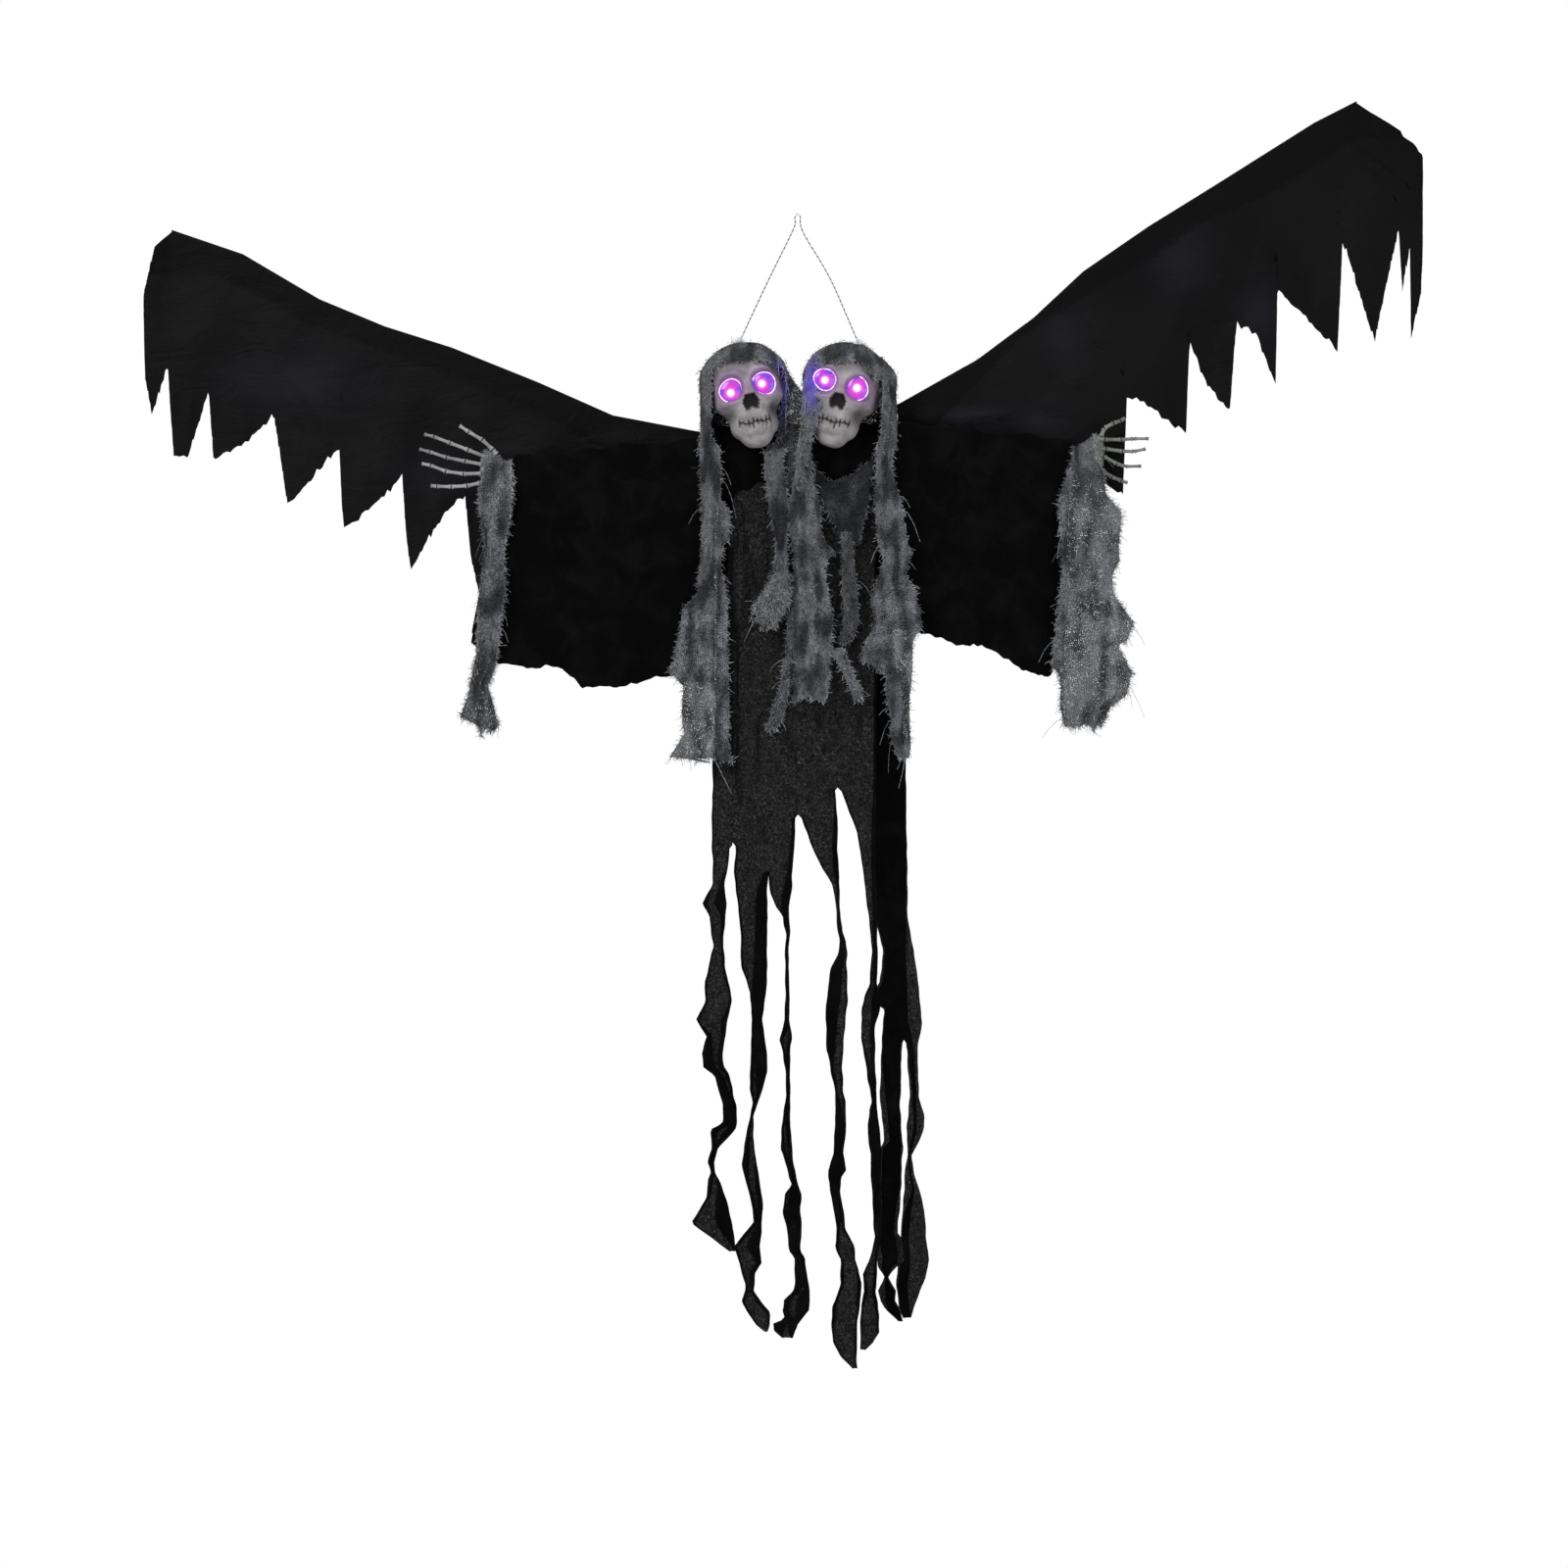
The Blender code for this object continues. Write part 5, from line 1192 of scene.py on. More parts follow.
print("creases on the front panel:", len(PANEL_CREASES))

# %% [markdown]
# ### Front and back panel
# The strips of a panel are one cloth above their notches: the neighbouring edges are moved
# together and merged there. Each panel hangs in its own layer, in front of or behind the arm rod.

# %% Front and back panel
FRONT_Y = 8.8
BACK_Y = 24


def front_hang(x, drop):
    loose = ease((drop - 336) / 80)
    calm = ease((1300 - drop) / 500)
    swell = 3.5 + 2.5 * np.sin(x * 0.11 + drop * 0.006) + 1.5 * np.sin(x * 0.27)
    return -FRONT_Y - loose * swell * calm


def back_hang(x, drop):
    loose = ease((drop - 320) / 80)
    return BACK_Y + loose * (1.5 + 2 * np.sin(x * 0.09 + drop * 0.005))


def make_panel(name, streamers, notches, hang, material, reverse, node):
    """All strips of a panel, joined above their notches and apart below them."""
    limits = [0, *notches, 0]
    strips = []
    for number, stations in enumerate(streamers):
        strips.append(make_streamer(f"{name}_{number}", stations, limits[number], limits[number + 1], hang,
                                    max(notches), number + 1))
    panel = join(strips)
    sew_seams(panel, streamers, notches)
    if hang is front_hang:
        spots = points_of(panel)
        near_top = np.exp(-(((spots[:, 2] + streamers[0][0][0] * MM) / (16 * MM)) ** 2))
        uneven = 1 + np.sin(spots[:, 0] * 95 + 2.2) + 0.4 * np.sin(spots[:, 0] * 310)
        spots[:, 2] -= near_top * 6 * MM * uneven
        set_points(panel, spots)
    panel.data.materials.append(material)
    thicken(panel, CLOTH, 0.0, reverse)
    return settle(panel, name, None, [node])


def sew_seams(panel, streamers, notches):
    """Moves the neighbouring edges of two strips together above their notch, and merges them."""
    spots = points_of(panel)
    drop = -spots[:, 2] / MM
    for notch, before, after in zip(notches, streamers, streamers[1:]):
        right = along(before, drop, 2) * MM
        left = along(after, drop, 1) * MM
        away = np.minimum(np.abs(spots[:, 0] - right), np.abs(spots[:, 0] - left))
        near = (drop < notch) & (away < SEAM_REACH)
        spots[near, 0] = ((right + left) / 2)[near]
    set_points(panel, spots)
    merge_points(panel, 0.3 * MM)


robe_front = make_panel("robe_front_panel", FRONT_STREAMERS, FRONT_NOTCHES, front_hang,
                        MOTTLED_CLOTH, BLACK_CLOTH, "robe_front")
robe_back = make_panel("robe_back_panel", BACK_STREAMERS, BACK_NOTCHES, back_hang,
                       BLACK_CLOTH, MOTTLED_CLOTH, "robe_back")

# %% [markdown]
# ## Collar
# Between the hoods and the robe a black cloth covers the two necks. It is gathered under each
# chin, so it has short soft folds.

# %% Collar
COLLAR_LEFT, COLLAR_RIGHT = -0.106, 0.104
COLLAR_FOOT = -0.337
COLLAR_Y = -7.7 * MM


def make_collar():
    columns, rows = 70, 26
    share = np.linspace(0, 1, columns + 1)
    x = COLLAR_LEFT + (COLLAR_RIGHT - COLLAR_LEFT) * share
    top = -0.246 - 5 * MM * np.abs(np.sin(share * 7.1 + 0.4)) + torn(columns + 1, 0.6 * MM, 2)
    level = np.linspace(0, 1, rows + 1)[:, None]
    z = top + (COLLAR_FOOT - top) * level
    wide = np.broadcast_to(x, z.shape)
    folds = -1.6 * MM * np.abs(np.sin(wide * 130 + z * 15))
    folds = folds - 1.0 * MM * (1 + ripple(wide, z * 0.5, 0.012, 8.0))
    y = COLLAR_Y + 7 * MM * ease(1 - level * 6) + folds * ease((0.78 - level) * 6)
    collar = grid_sheet("collar_cloth", columns, rows, np.stack([wide, y, z], axis=-1))
    thicken(collar, CLOTH)
    return settle(collar, "collar_cloth", BLACK_CLOTH, ["collar"])


collar = make_collar()

# %% [markdown]
# ## Frayed threads
# Torn gauze comes apart along its edges: the cross threads stick out like a comb and curl, and a
# few long ones hang. Loose loops also stand up from its face. A thread is a thin three-sided tube
# with a few bends, so thousands of them stay light, and one mesh holds all threads of a piece.

# %% Helpers for frayed threads
THREAD_WIDTH = 0.75 * MM
THREAD_STEPS = 3
THREAD_SIDES = 3
THREAD_TAPER = 0.4
LONG_THREADS = 0.004
LONG_LENGTHS = (10, 24)
# Shape and scale of the spread of lengths, then the least and the longest, in millimetres
EDGE_LENGTHS = (1.7, 1.25, 1.4, 11)
LOOP_LENGTHS = (1.6, 1.0, 1.2, 7)
# How far a thread may stand out of the frame's box in depth
THREAD_ROOM = 6 * MM
LIT_EYES = [(780, 395.5), (841, 392)]
LIT_REACH = 8 * MM
GLOW_INNER_SIDE = [1, -1]


def unit(ways):
    return ways / np.maximum(np.linalg.norm(ways, axis=-1, keepdims=True), 1e-9)


def eye_light(spots):
    """How strongly an eye lights the gauze beside it, from 0 to 1."""
    light = np.zeros(len(spots))
    for (x, z), way in zip(from_pixels(LIT_EYES), GLOW_INNER_SIDE):
        across = (spots[:, 0] - x - way * 15 * MM) / LIT_REACH
        down = (spots[:, 2] - z + 4 * MM) / (3 * LIT_REACH)
        light += np.exp(-(across**2) - down**2) * (spots[:, 1] < -18 * MM)
    return np.clip(light * 0.85, 0, 1)


def painted_values(obj, name):
    values = np.zeros(len(obj.data.vertices))
    obj.data.attributes[name].data.foreach_get("value", values)
    return values


def open_edges(obj):
    """Middle, run, outward way and shade of every open edge of a thin sheet."""
    shade = painted_values(obj, "fold")
    mesh = bmesh.new()
    mesh.from_mesh(obj.data)
    found = []
    for edge in mesh.edges:
        if len(edge.link_faces) == 1:
            middle = (edge.verts[0].co + edge.verts[1].co) / 2
            run = edge.verts[1].co - edge.verts[0].co
            way = middle - edge.link_faces[0].calc_center_median()
            way -= run * (way.dot(run) / max(run.length_squared, 1e-12))
            found.append((middle, run, way.normalized(), shade[edge.verts[0].index]))
    mesh.free()
    return tuple(np.array([item[k] for item in found], float) for k in range(4))


def thread_mesh(name, starts, ways, lengths, droop, curl, lifts, shade):
    """Many loose threads in one mesh."""
    count = len(starts)
    part = np.linspace(0, 1, THREAD_STEPS + 1)[None, :, None]
    size = lengths[:, None, None]
    side = unit(np.cross(ways, (0.2, 1, 0.1)))[:, None]
    bend = rng.uniform(-1, 1, (count, 1, 1)) * curl
    path = starts[:, None] + ways[:, None] * size * part + side * bend * size * part**2
    path = path + lifts[:, None] * np.sin(part * math.pi * 0.9)
    path[:, :, 2] -= (np.reshape(droop, (-1, 1, 1)) * size * part**2)[:, :, 0]
    path[:, :, 1] = np.clip(path[:, :, 1], cad_box[0][1] - THREAD_ROOM, cad_box[1][1] + THREAD_ROOM)
    run = unit(np.gradient(path, axis=1))
    first = unit(np.cross(run, (0.3, 1, 0.2)))
    second = np.cross(run, first)
    turn = 2 * math.pi * np.arange(THREAD_SIDES) / THREAD_SIDES
    thick = THREAD_WIDTH / 2 * (1 - THREAD_TAPER * part[..., None])
    ring = np.cos(turn)[:, None] * first[:, :, None] + np.sin(turn)[:, None] * second[:, :, None]
    spots = (path[:, :, None] + ring * thick).reshape(-1, 3)
    base = np.arange(count)[:, None, None] * (THREAD_STEPS + 1) * THREAD_SIDES
    base = base + np.arange(THREAD_STEPS)[None, :, None] * THREAD_SIDES
    near = np.arange(THREAD_SIDES)
    after = (near + 1) % THREAD_SIDES
    upper = base + THREAD_SIDES
    walls = np.stack([base + near, base + after, upper + after, upper + near], -1)
    tips = base[:, 0, 0][:, None] + np.array([[2, 1, 0]])
    ends = base[:, -1, 0][:, None] + THREAD_SIDES + np.array([[0, 1, 2]])
    mesh = bpy.data.meshes.new(name)
    mesh.from_pydata(spots.tolist(), [], walls.reshape(-1, 4).tolist() + tips.tolist() + ends.tolist())
    mesh.update()
    obj = bpy.data.objects.new(name, mesh)
    bpy.context.scene.collection.objects.link(obj)
    paint(obj, "glow", eye_light(spots))
    # Painted shade carried over from the gauze where each thread starts
    paint(obj, "fold", np.repeat(shade, (THREAD_STEPS + 1) * THREAD_SIDES))
    return obj


def thread_lengths(count, shape, scale, least, longest):
    """Mostly short lengths and a few long ones, in metres."""
    return np.clip(least + rng.gamma(shape, scale, count), least, longest) * MM


def fray(sheet, axis, edge_count, loop_count):
    """Threads along a sheet's open edges and loops on its outer face, before it gets thick."""
    middle, run, way, shade = open_edges(sheet)
    share = np.linalg.norm(run, axis=1)
    pick = rng.choice(len(middle), edge_count, p=share / share.sum())
    starts = middle[pick] + run[pick] * rng.uniform(-0.5, 0.5, (edge_count, 1)) - way[pick] * 0.8 * MM
    spread = unit(way[pick] + 0.45 * rng.normal(0, 1, (edge_count, 3)) * (1, 0.5, 1))
    lengths = thread_lengths(edge_count, *EDGE_LENGTHS)
    hanging = rng.random(edge_count) < LONG_THREADS
    lengths = np.where(hanging, rng.uniform(*LONG_LENGTHS, edge_count) * MM, lengths)
    droop = np.where(hanging, 1.3, 0.25)
    edges = thread_mesh(f"{sheet.name}_edge", starts, spread, lengths, droop, 0.8, 0 * starts,
                        shade[pick] * 0.6)
    face_shade = painted_values(sheet, "fold")
    faces = sheet.data.polygons
    area = np.array([face.area for face in faces])
    centre = np.array([face.center for face in faces])
    normal = np.array([face.normal for face in faces])
    outward = np.sign(((centre - axis) * normal * (1, 1, 0.3)).sum(1))[:, None]
    pick = rng.choice(len(area), loop_count, p=area / area.sum())
    normal = (normal * outward)[pick]
    starts = centre[pick] + rng.normal(0, 1.2 * MM, (loop_count, 3)) * (1, 0, 1) + normal * 0.4 * MM
    flat = unit(np.cross(normal, rng.normal(0, 1, (loop_count, 3))))
    lengths = thread_lengths(loop_count, *LOOP_LENGTHS)
    corner = np.array([face.vertices[0] for face in faces])
    loops = thread_mesh(f"{sheet.name}_loops", starts, flat, lengths, 0.1, 1.2, normal * 0.9 * MM,
                        face_shade[corner[pick]])
    return settle(join([edges, loops]), f"{sheet.name}_threads", THREAD)


print("thread helpers ready")

# %% [markdown]
# ## Gauze hoods
# A square of torn grey gauze is laid over each skull. It is gathered at the crown, open at the
# face, and falls in long ragged strips at both sides of the chin and one behind. The cap follows
# the skull's form with a little air under it, and the strips start from its lower edge.

# %% Gauze hoods
HOOD_AIR = 3.2 * MM
HOOD_THREADS = (3200, 2300)
HOOD_DROP = 46 * MM
HOOD_NECK_RADIUS = 6 * MM
HOOD_BEND = 0.62
TAIL_Y = -34 * MM
BACK_TAIL_LENGTH = 200 * MM
TAIL_EDGES = {
    ("left", 0): (
        [(713, 384), (713, 440), (715, 480), (716.8, 523), (716, 575), (712, 608), (698, 621), (696, 640),
         (690, 660), (688, 677), (683, 685), (698, 701), (696, 729), (699, 749), (684, 773), (716, 777)],
        [(733, 424), (736, 480), (736, 512.5), (745.7, 525.5), (744.6, 551.6), (737, 560), (736, 582),
         (741, 601), (742, 632), (743.5, 686), (744, 729), (743.5, 757.6), (748, 777)],
    ),
    ("left", 1): (
        [(790, 430), (780, 449), (780, 480), (784, 512), (793, 560), (787, 590), (768, 627), (781, 636)],
        [(801, 417), (800, 449), (799, 480), (804, 515), (803, 560), (806, 612), (797, 636)],
    ),
    ("right", 0): (
        [(819.4, 417), (815, 471), (806, 514), (806, 545), (810, 562), (810, 632), (812, 675), (809, 716)],
        [(840, 417), (827, 449), (829, 493), (835.6, 515), (838, 552), (850, 562), (840, 580), (849, 632),
         (846, 675), (844, 716)],
    ),
    ("right", 1): (
        [(892, 406), (892, 438.5), (894, 480), (892, 508), (894, 552), (901, 573), (888, 614), (892, 638),
         (876, 672), (903, 688), (904, 714), (909, 736), (907, 749), (916, 775)],
        [(918, 406), (911.5, 453.7), (909, 480), (917, 508), (923.5, 545), (928, 567), (923.5, 588),
         (934, 608), (940, 640.5), (931, 653.5), (930, 688), (927, 718.5), (928, 766), (926, 775)],
    ),
}
print("front tails of the hoods:", len(TAIL_EDGES))

# %% [markdown]
# ### The cap over the skull
# The cap is laid out in rings from the crown down. A ring's points are where rays from the middle
# of the head meet the skull, with a little air, wrinkles and gathers added. Below its widest part
# the cap hangs straight down.

# %% The cap over the skull
# Where each hood stands away from the skull: its turn about the head, and how far in millimetres
HOOD_BULGE = {"left": (1.2, 5.0), "right": (1.35, 10.0)}
BACK_COLUMNS = 12


def brow_level(side, offset):
    """How far down the cap its torn front edge lies, for a column counted from the middle."""
    if side == "left":
        return 0.365 + 0.05 * (offset / 15) ** 2
    return 0.375 + 0.02 * max(0, -offset / 12) + 0.17 * float(ease((offset - 2) / 11))


def hood_rings(side, azimuth, levels):
    """Points of the cap: one row for each level, from the crown's ring to the hanging lower edge."""
    middle = np.array(head_matrix(side).translation)
    top = crown_exit(side)
    up = crown_direction(side)
    flat = np.stack([np.sin(azimuth), -np.cos(azimuth), 0 * azimuth], axis=-1)
    ring = top + flat * HOOD_NECK_RADIUS + np.array((0, 0, HOOD_AIR))
    widest = math.radians(2)
    quarter = math.radians(90)

    def on_skull(level):
        steep = quarter + (widest - quarter) * level / HOOD_BEND
        way = flat * math.cos(steep) + up * math.sin(steep)
        way /= np.linalg.norm(way, axis=1)[:, None]
        wrinkle = 1.2 * MM * level * (1 + np.sin(azimuth * 5 + level * 7))
        fine = np.array([lumps(*(d * 0.05), 0.011) for d in way]) * 1.3 * MM * min(1, level * 4)
        gather = 0.8 * MM * np.sin(azimuth * 17 + level * 5) * ease(1 - level * 1.7)
        away = (azimuth - HOOD_BULGE[side][0]) / 0.55
        bulge = HOOD_BULGE[side][1] * MM * np.exp(-(away**2)) * ease((level - 0.2) * 3)
        reach = surface_along(side, way) + HOOD_AIR + wrinkle + fine + gather + bulge
        return middle + way * reach[:, None]

    rows = []
    edge = on_skull(HOOD_BEND)
    for level in levels:
        if level <= HOOD_BEND:
            pull = float(ease(1 - level / (HOOD_BEND * 0.2)))
            spot = on_skull(level) * (1 - pull) + ring * pull
        else:
            share = (level - HOOD_BEND) / (1 - HOOD_BEND)
            waves = 2 * MM * share * np.sin(azimuth * 4) + 1.2 * MM * share * np.sin(azimuth * 13)
            spot = edge + flat * waves[:, None]
            spot[:, 2] += (-HEAD_DROP - HOOD_DROP - edge[:, 2]) * share
        rows.append(spot)
    return np.array(rows)


print("the cap hangs straight after", HOOD_BEND, "of its way down")

# %% [markdown]
# ### Torn strips
# Extra strips and scraps are torn loose and hang from the cap in front of the robe. Each one is a
# small sheet of its own between two edges. A few threads also stand up round the cord.

# %% Torn strips
# A torn strip has its left and right edge, its depth at the top and lower down, and its shade
HOOD_SCRAPS = {
    "left": [
        ([(788, 366), (797, 380), (799, 416), (794, 445), (792, 475), (800, 508)],
         [(799, 371), (807, 386), (819, 403), (816, 445), (814, 473), (812, 508)], -12, -26, 0.72),
        ([(796, 570), (795, 580), (766, 627), (773, 634), (776, 640)],
         [(800, 570), (800, 600), (797, 628), (795, 636), (793, 641)], -34, -38, 0.12),
        ([(799, 672), (796, 705), (781, 742)], [(806, 672), (803, 712), (795, 744)], -34, -25, 0.30),
    ],
    "right": [
        ([(829, 364), (822, 387), (818, 406), (817, 437), (813, 460), (812, 500)],
         [(833, 366), (831, 380), (833, 402), (840, 416), (830, 445), (816, 500)], -42, -54, 0.10),
        ([(846, 662), (860, 688), (872, 715)], [(860, 662), (872, 690), (881, 709)], -34, -28, 0.05),
        ([(858, 545), (859, 600), (861, 640), (855, 655)], [(868, 545), (874, 600), (875, 640), (866, 657)],
         -28, -23, 0.55),
        ([(826, 462), (834, 500), (848, 530), (860, 552)], [(893, 466), (885, 515), (879, 545), (872, 560)],
         -20, -24, 0.95, 30),
        ([(806, 585), (803, 640), (801, 694)], [(832, 585), (842, 640), (846, 690)], -26, -29, 0.62),
    ],
}


def make_scrap(lefts, rights, top_depth, depth, shade, sag=0):
    """One extra torn strip of the hood, hanging from it."""
    lefts, rights = edge_line(lefts), edge_line(rights)
    top = max(lefts[0][0], rights[0][0])
    bottom = max(lefts[-1][0], rights[-1][0])
    rows = max(8, int((bottom - top) / (2.2 * MM)))
    columns = 9
    drop = np.linspace(top, bottom, rows + 1)[:, None]
    across = np.linspace(0, 1, columns + 1)[None, :]
    left, right = along(lefts, drop, 1), along(rights, drop, 1)
    x = left + (right - left) * across
    level = (drop - top) / (bottom - top)
    z = -drop + 9 * MM * ripple(x * 5, 0 * x, 0.02, 4.0) * level
    z = z - sag * MM * np.sin(np.pi * across**0.7) * (1 - level) ** 2
    y = (top_depth + (depth - top_depth) * ease(level * 3)) * MM
    y = y + 2.0 * MM * np.sin(across * 5 + level * 7 + top * 90) * ease(level * 4)
    y = y + 1.0 * MM * ripple(x, z, 0.009, 5.0)
    scrap = grid_sheet("scrap", columns, rows, np.stack([x, np.broadcast_to(y, x.shape), z], axis=-1))
    lay_map(scrap, float((right - left).mean()), bottom - top)
    here = points_of(scrap)
    # Painted shade on the strip: its given shade, made uneven
    paint(scrap, "fold", np.clip(shade + 0.5 * ripple(here[:, 0], here[:, 2] * 0.4, 0.012, 3.0), 0, 0.95))
    return scrap


def crown_tuft(side):
    """Loose threads pulled up along the cord where it leaves the crown."""
    count = 90
    up = unit(crown_direction(side) * 0.5 + np.array((0, 0, 1.0)))
    ways = unit(up + rng.normal(0, 0.28, (count, 3)))
    starts = crown_exit(side) + rng.normal(0, 1.8 * MM, (count, 3)) * (1, 1, 0.5) + np.array((0, 0, 2.0 * MM))
    lengths = rng.uniform(3, 9, count) * MM
    return thread_mesh(f"tuft_{side}", starts, ways, lengths, 0.0, 0.3, 0 * starts, np.full(count, 0.2))


print("torn strips:", {side: len(strips) for side, strips in HOOD_SCRAPS.items()})

# %% [markdown]
# ### The whole hood
# Cap and tails are one grid. Its columns at the sides of the face fall as the long front tails,
# those at the back as the rear tail, and all faces in between are cut away. The face opening is
# cut by a rule as well, with an uneven edge over the brow.

# %% The whole hood
HOOD_COLUMNS = 96
# Columns that the face opening spans to the left and right of the middle
FACE_OPENING = {"left": (14, 17), "right": (12, 14)}
# How many rows the cap has, and how many rows and columns a front tail
CAP_ROWS = 44
TAIL_ROWS = 110
TAIL_COLUMNS = 12
BACK_EDGE = 6
HOOD_MAP = (0.40, 0.50)


def make_hood(side):
    half = HOOD_COLUMNS // 2
    column = np.arange(HOOD_COLUMNS + 1)
    azimuth = (column - half) * (2 * math.pi / HOOD_COLUMNS)
    open_left, open_right = FACE_OPENING[side]
    cap = hood_rings(side, azimuth, np.linspace(0, 1, CAP_ROWS + 1))
    edge = cap[-1]
    spot = np.zeros((CAP_ROWS + TAIL_ROWS + 1, len(column), 3))
    spot[: CAP_ROWS + 1] = cap
    level = np.linspace(0, 1, TAIL_ROWS + 1)[1:]
    lean = 14 * MM * ease(level)
    for n in column:
        tail = spot[CAP_ROWS + 1:, n]
        if n <= BACK_COLUMNS or n >= 2 * half - BACK_COLUMNS:
            ragged = 1 + 0.05 * lumps(n * 0.37, 0, 0, 1.0)
            tail[:, 0] = edge[n, 0] + 3 * MM * np.sin(level * 9)
            tail[:, 1] = edge[n, 1] - lean + 2 * MM * np.sin(level * 13 + n * 0.5)
            tail[:, 2] = edge[n, 2] - BACK_TAIL_LENGTH * level * ragged
            continue
        number = 0 if n < half else 1
        first = half - open_left - TAIL_COLUMNS if number == 0 else half + open_right
        across = (n - first) / TAIL_COLUMNS
        lefts, rights = (edge_line(points) for points in TAIL_EDGES[side, number])
        bottom = max(lefts[-1][0], rights[-1][0])
        bottom = bottom - 2 * MM + 8 * MM * lumps(n * 0.43, 3, 1 + number, 1.0)
        drop = -edge[n, 2] + (bottom + edge[n, 2]) * level
        left = along(lefts, drop, 1)
        right = along(rights, drop, 1)
        blend = ease((drop + edge[n, 2]) / (28 * MM))
        wave = 3 * MM * np.sin(level * 11 + across * 2.5) + 1.2 * MM * np.sin(across * 9 + level * 23)
        tail[:, 0] = edge[n, 0] + (left + (right - left) * across - edge[n, 0]) * blend
        tail[:, 1] = edge[n, 1] + (TAIL_Y + wave - edge[n, 1]) * blend
        tail[:, 2] = -drop
    crumple = ripple(spot[:, :, 0] + spot[:, :, 1], spot[:, :, 2], 0.010, 3.0)
    spot[CAP_ROWS // 6:, :, 1] += (1.1 * MM * crumple)[CAP_ROWS // 6:]
    spot[CAP_ROWS + 1:, :, 0] += 0.9 * MM * ripple(spot[:, :, 0], spot[:, :, 2], 0.004, 6.0)[CAP_ROWS + 1:]
    rows = CAP_ROWS + TAIL_ROWS
    hood = grid_sheet(f"gauze_hood_{side}", HOOD_COLUMNS, rows, spot)
    uv = hood.data.uv_layers.active.data
    grid_cell = []
    for face in hood.data.polygons:
        u, v = np.mean([uv[k].uv for k in face.loop_indices], axis=0)
        grid_cell.append((int((1 - v) * rows), int(u * HOOD_COLUMNS)))
    lay_map(hood, *HOOD_MAP)

    def dropped(face):
        row, col = grid_cell[face.index]
        offset = col + 0.5 - half
        inside = -open_left < offset < open_right
        if row < CAP_ROWS:
            ragged = 0.03 * lumps(col * 0.47, row * 0.11, 2, 1.0)
            return inside and row / CAP_ROWS > brow_level(side, offset) + ragged
        left_tail = -open_left - TAIL_COLUMNS < offset < -open_left
        right_tail = open_right < offset < open_right + TAIL_COLUMNS
        return not (left_tail or right_tail or abs(offset) > half - BACK_EDGE)

    cut_away(hood, dropped)
    merge_points(hood, 0.01 * MM)
    here = points_of(hood)
    # Painted shade in the folds of the hood, uneven over it
    folds = 0.46 + 1.5 * ripple(here[:, 0], here[:, 2] * 0.25, 0.010, 12.0)
    folds += 0.9 * ripple(here[:, 0] * 0.6, here[:, 2], 0.026, 14.0)
    paint(hood, "fold", ease(folds) * 0.85)
    join([hood] + [make_scrap(*scrap) for scrap in HOOD_SCRAPS[side]])
    paint(hood, "glow", eye_light(points_of(hood)))
    axis = np.array(head_matrix(side).translation) + np.array((0, 20, 0)) * MM
    threads = fray(hood, axis, *HOOD_THREADS)
    join([threads, crown_tuft(side)])
    thicken(hood, GAUZE_THICKNESS)
    settle(hood, hood.name, GAUZE, [f"hood_{side}"])
    return hood, threads


for side in HEADS:
    hood, threads = make_hood(side)

# %% [markdown]
# ## Wrist gauze
# A strip of the same gauze is wound over each wrist and hangs down in front of the sleeve.

# %% Wrist gauze
WRIST_EDGES = {
    "left": (
        [(488, 452), (492, 480), (490, 512), (497, 560), (492, 600), (490, 630), (488, 664), (479, 710),
         (471, 733), (486, 738), (490, 744)],
        [(523, 452), (523, 512), (514, 568), (517, 600), (513, 628), (509, 660), (506.8, 681), (498.7, 700),
         (504, 719), (510, 741), (503, 748)],
    ),
    "right": (
        [(1094, 448), (1093, 469), (1080, 514.8), (1083.7, 583.7), (1079, 618), (1073, 680),
         (1081.4, 691.6), (1081.4, 725), (1086, 744)],
        [(1120, 439), (1124, 480), (1127.3, 505.6), (1143.4, 524), (1140, 560.7), (1141, 572.2),
         (1133, 588.3), (1134.2, 606.6), (1154.9, 636.5), (1148, 654.9), (1138.8, 659), (1153.7, 687),
         (1148, 710), (1131.9, 721.4), (1121.6, 744)],
    ),
}
WRIST_ENDS = {"left": -0.335, "right": 0.322}
WRIST_THREADS = (1800, 1400)
HAND_SECTIONS = [(0, 7, 7), (8, 7, 7.5), (16, 7, 13), (25, 6.5, 20), (32, 5, 21), (38, 2.5, 14)]


def hand_middle(side, distance):
    sign = -1 if side == "left" else 1
    x = WRIST_ENDS[side] + sign * distance
    return x, rod_z(x)


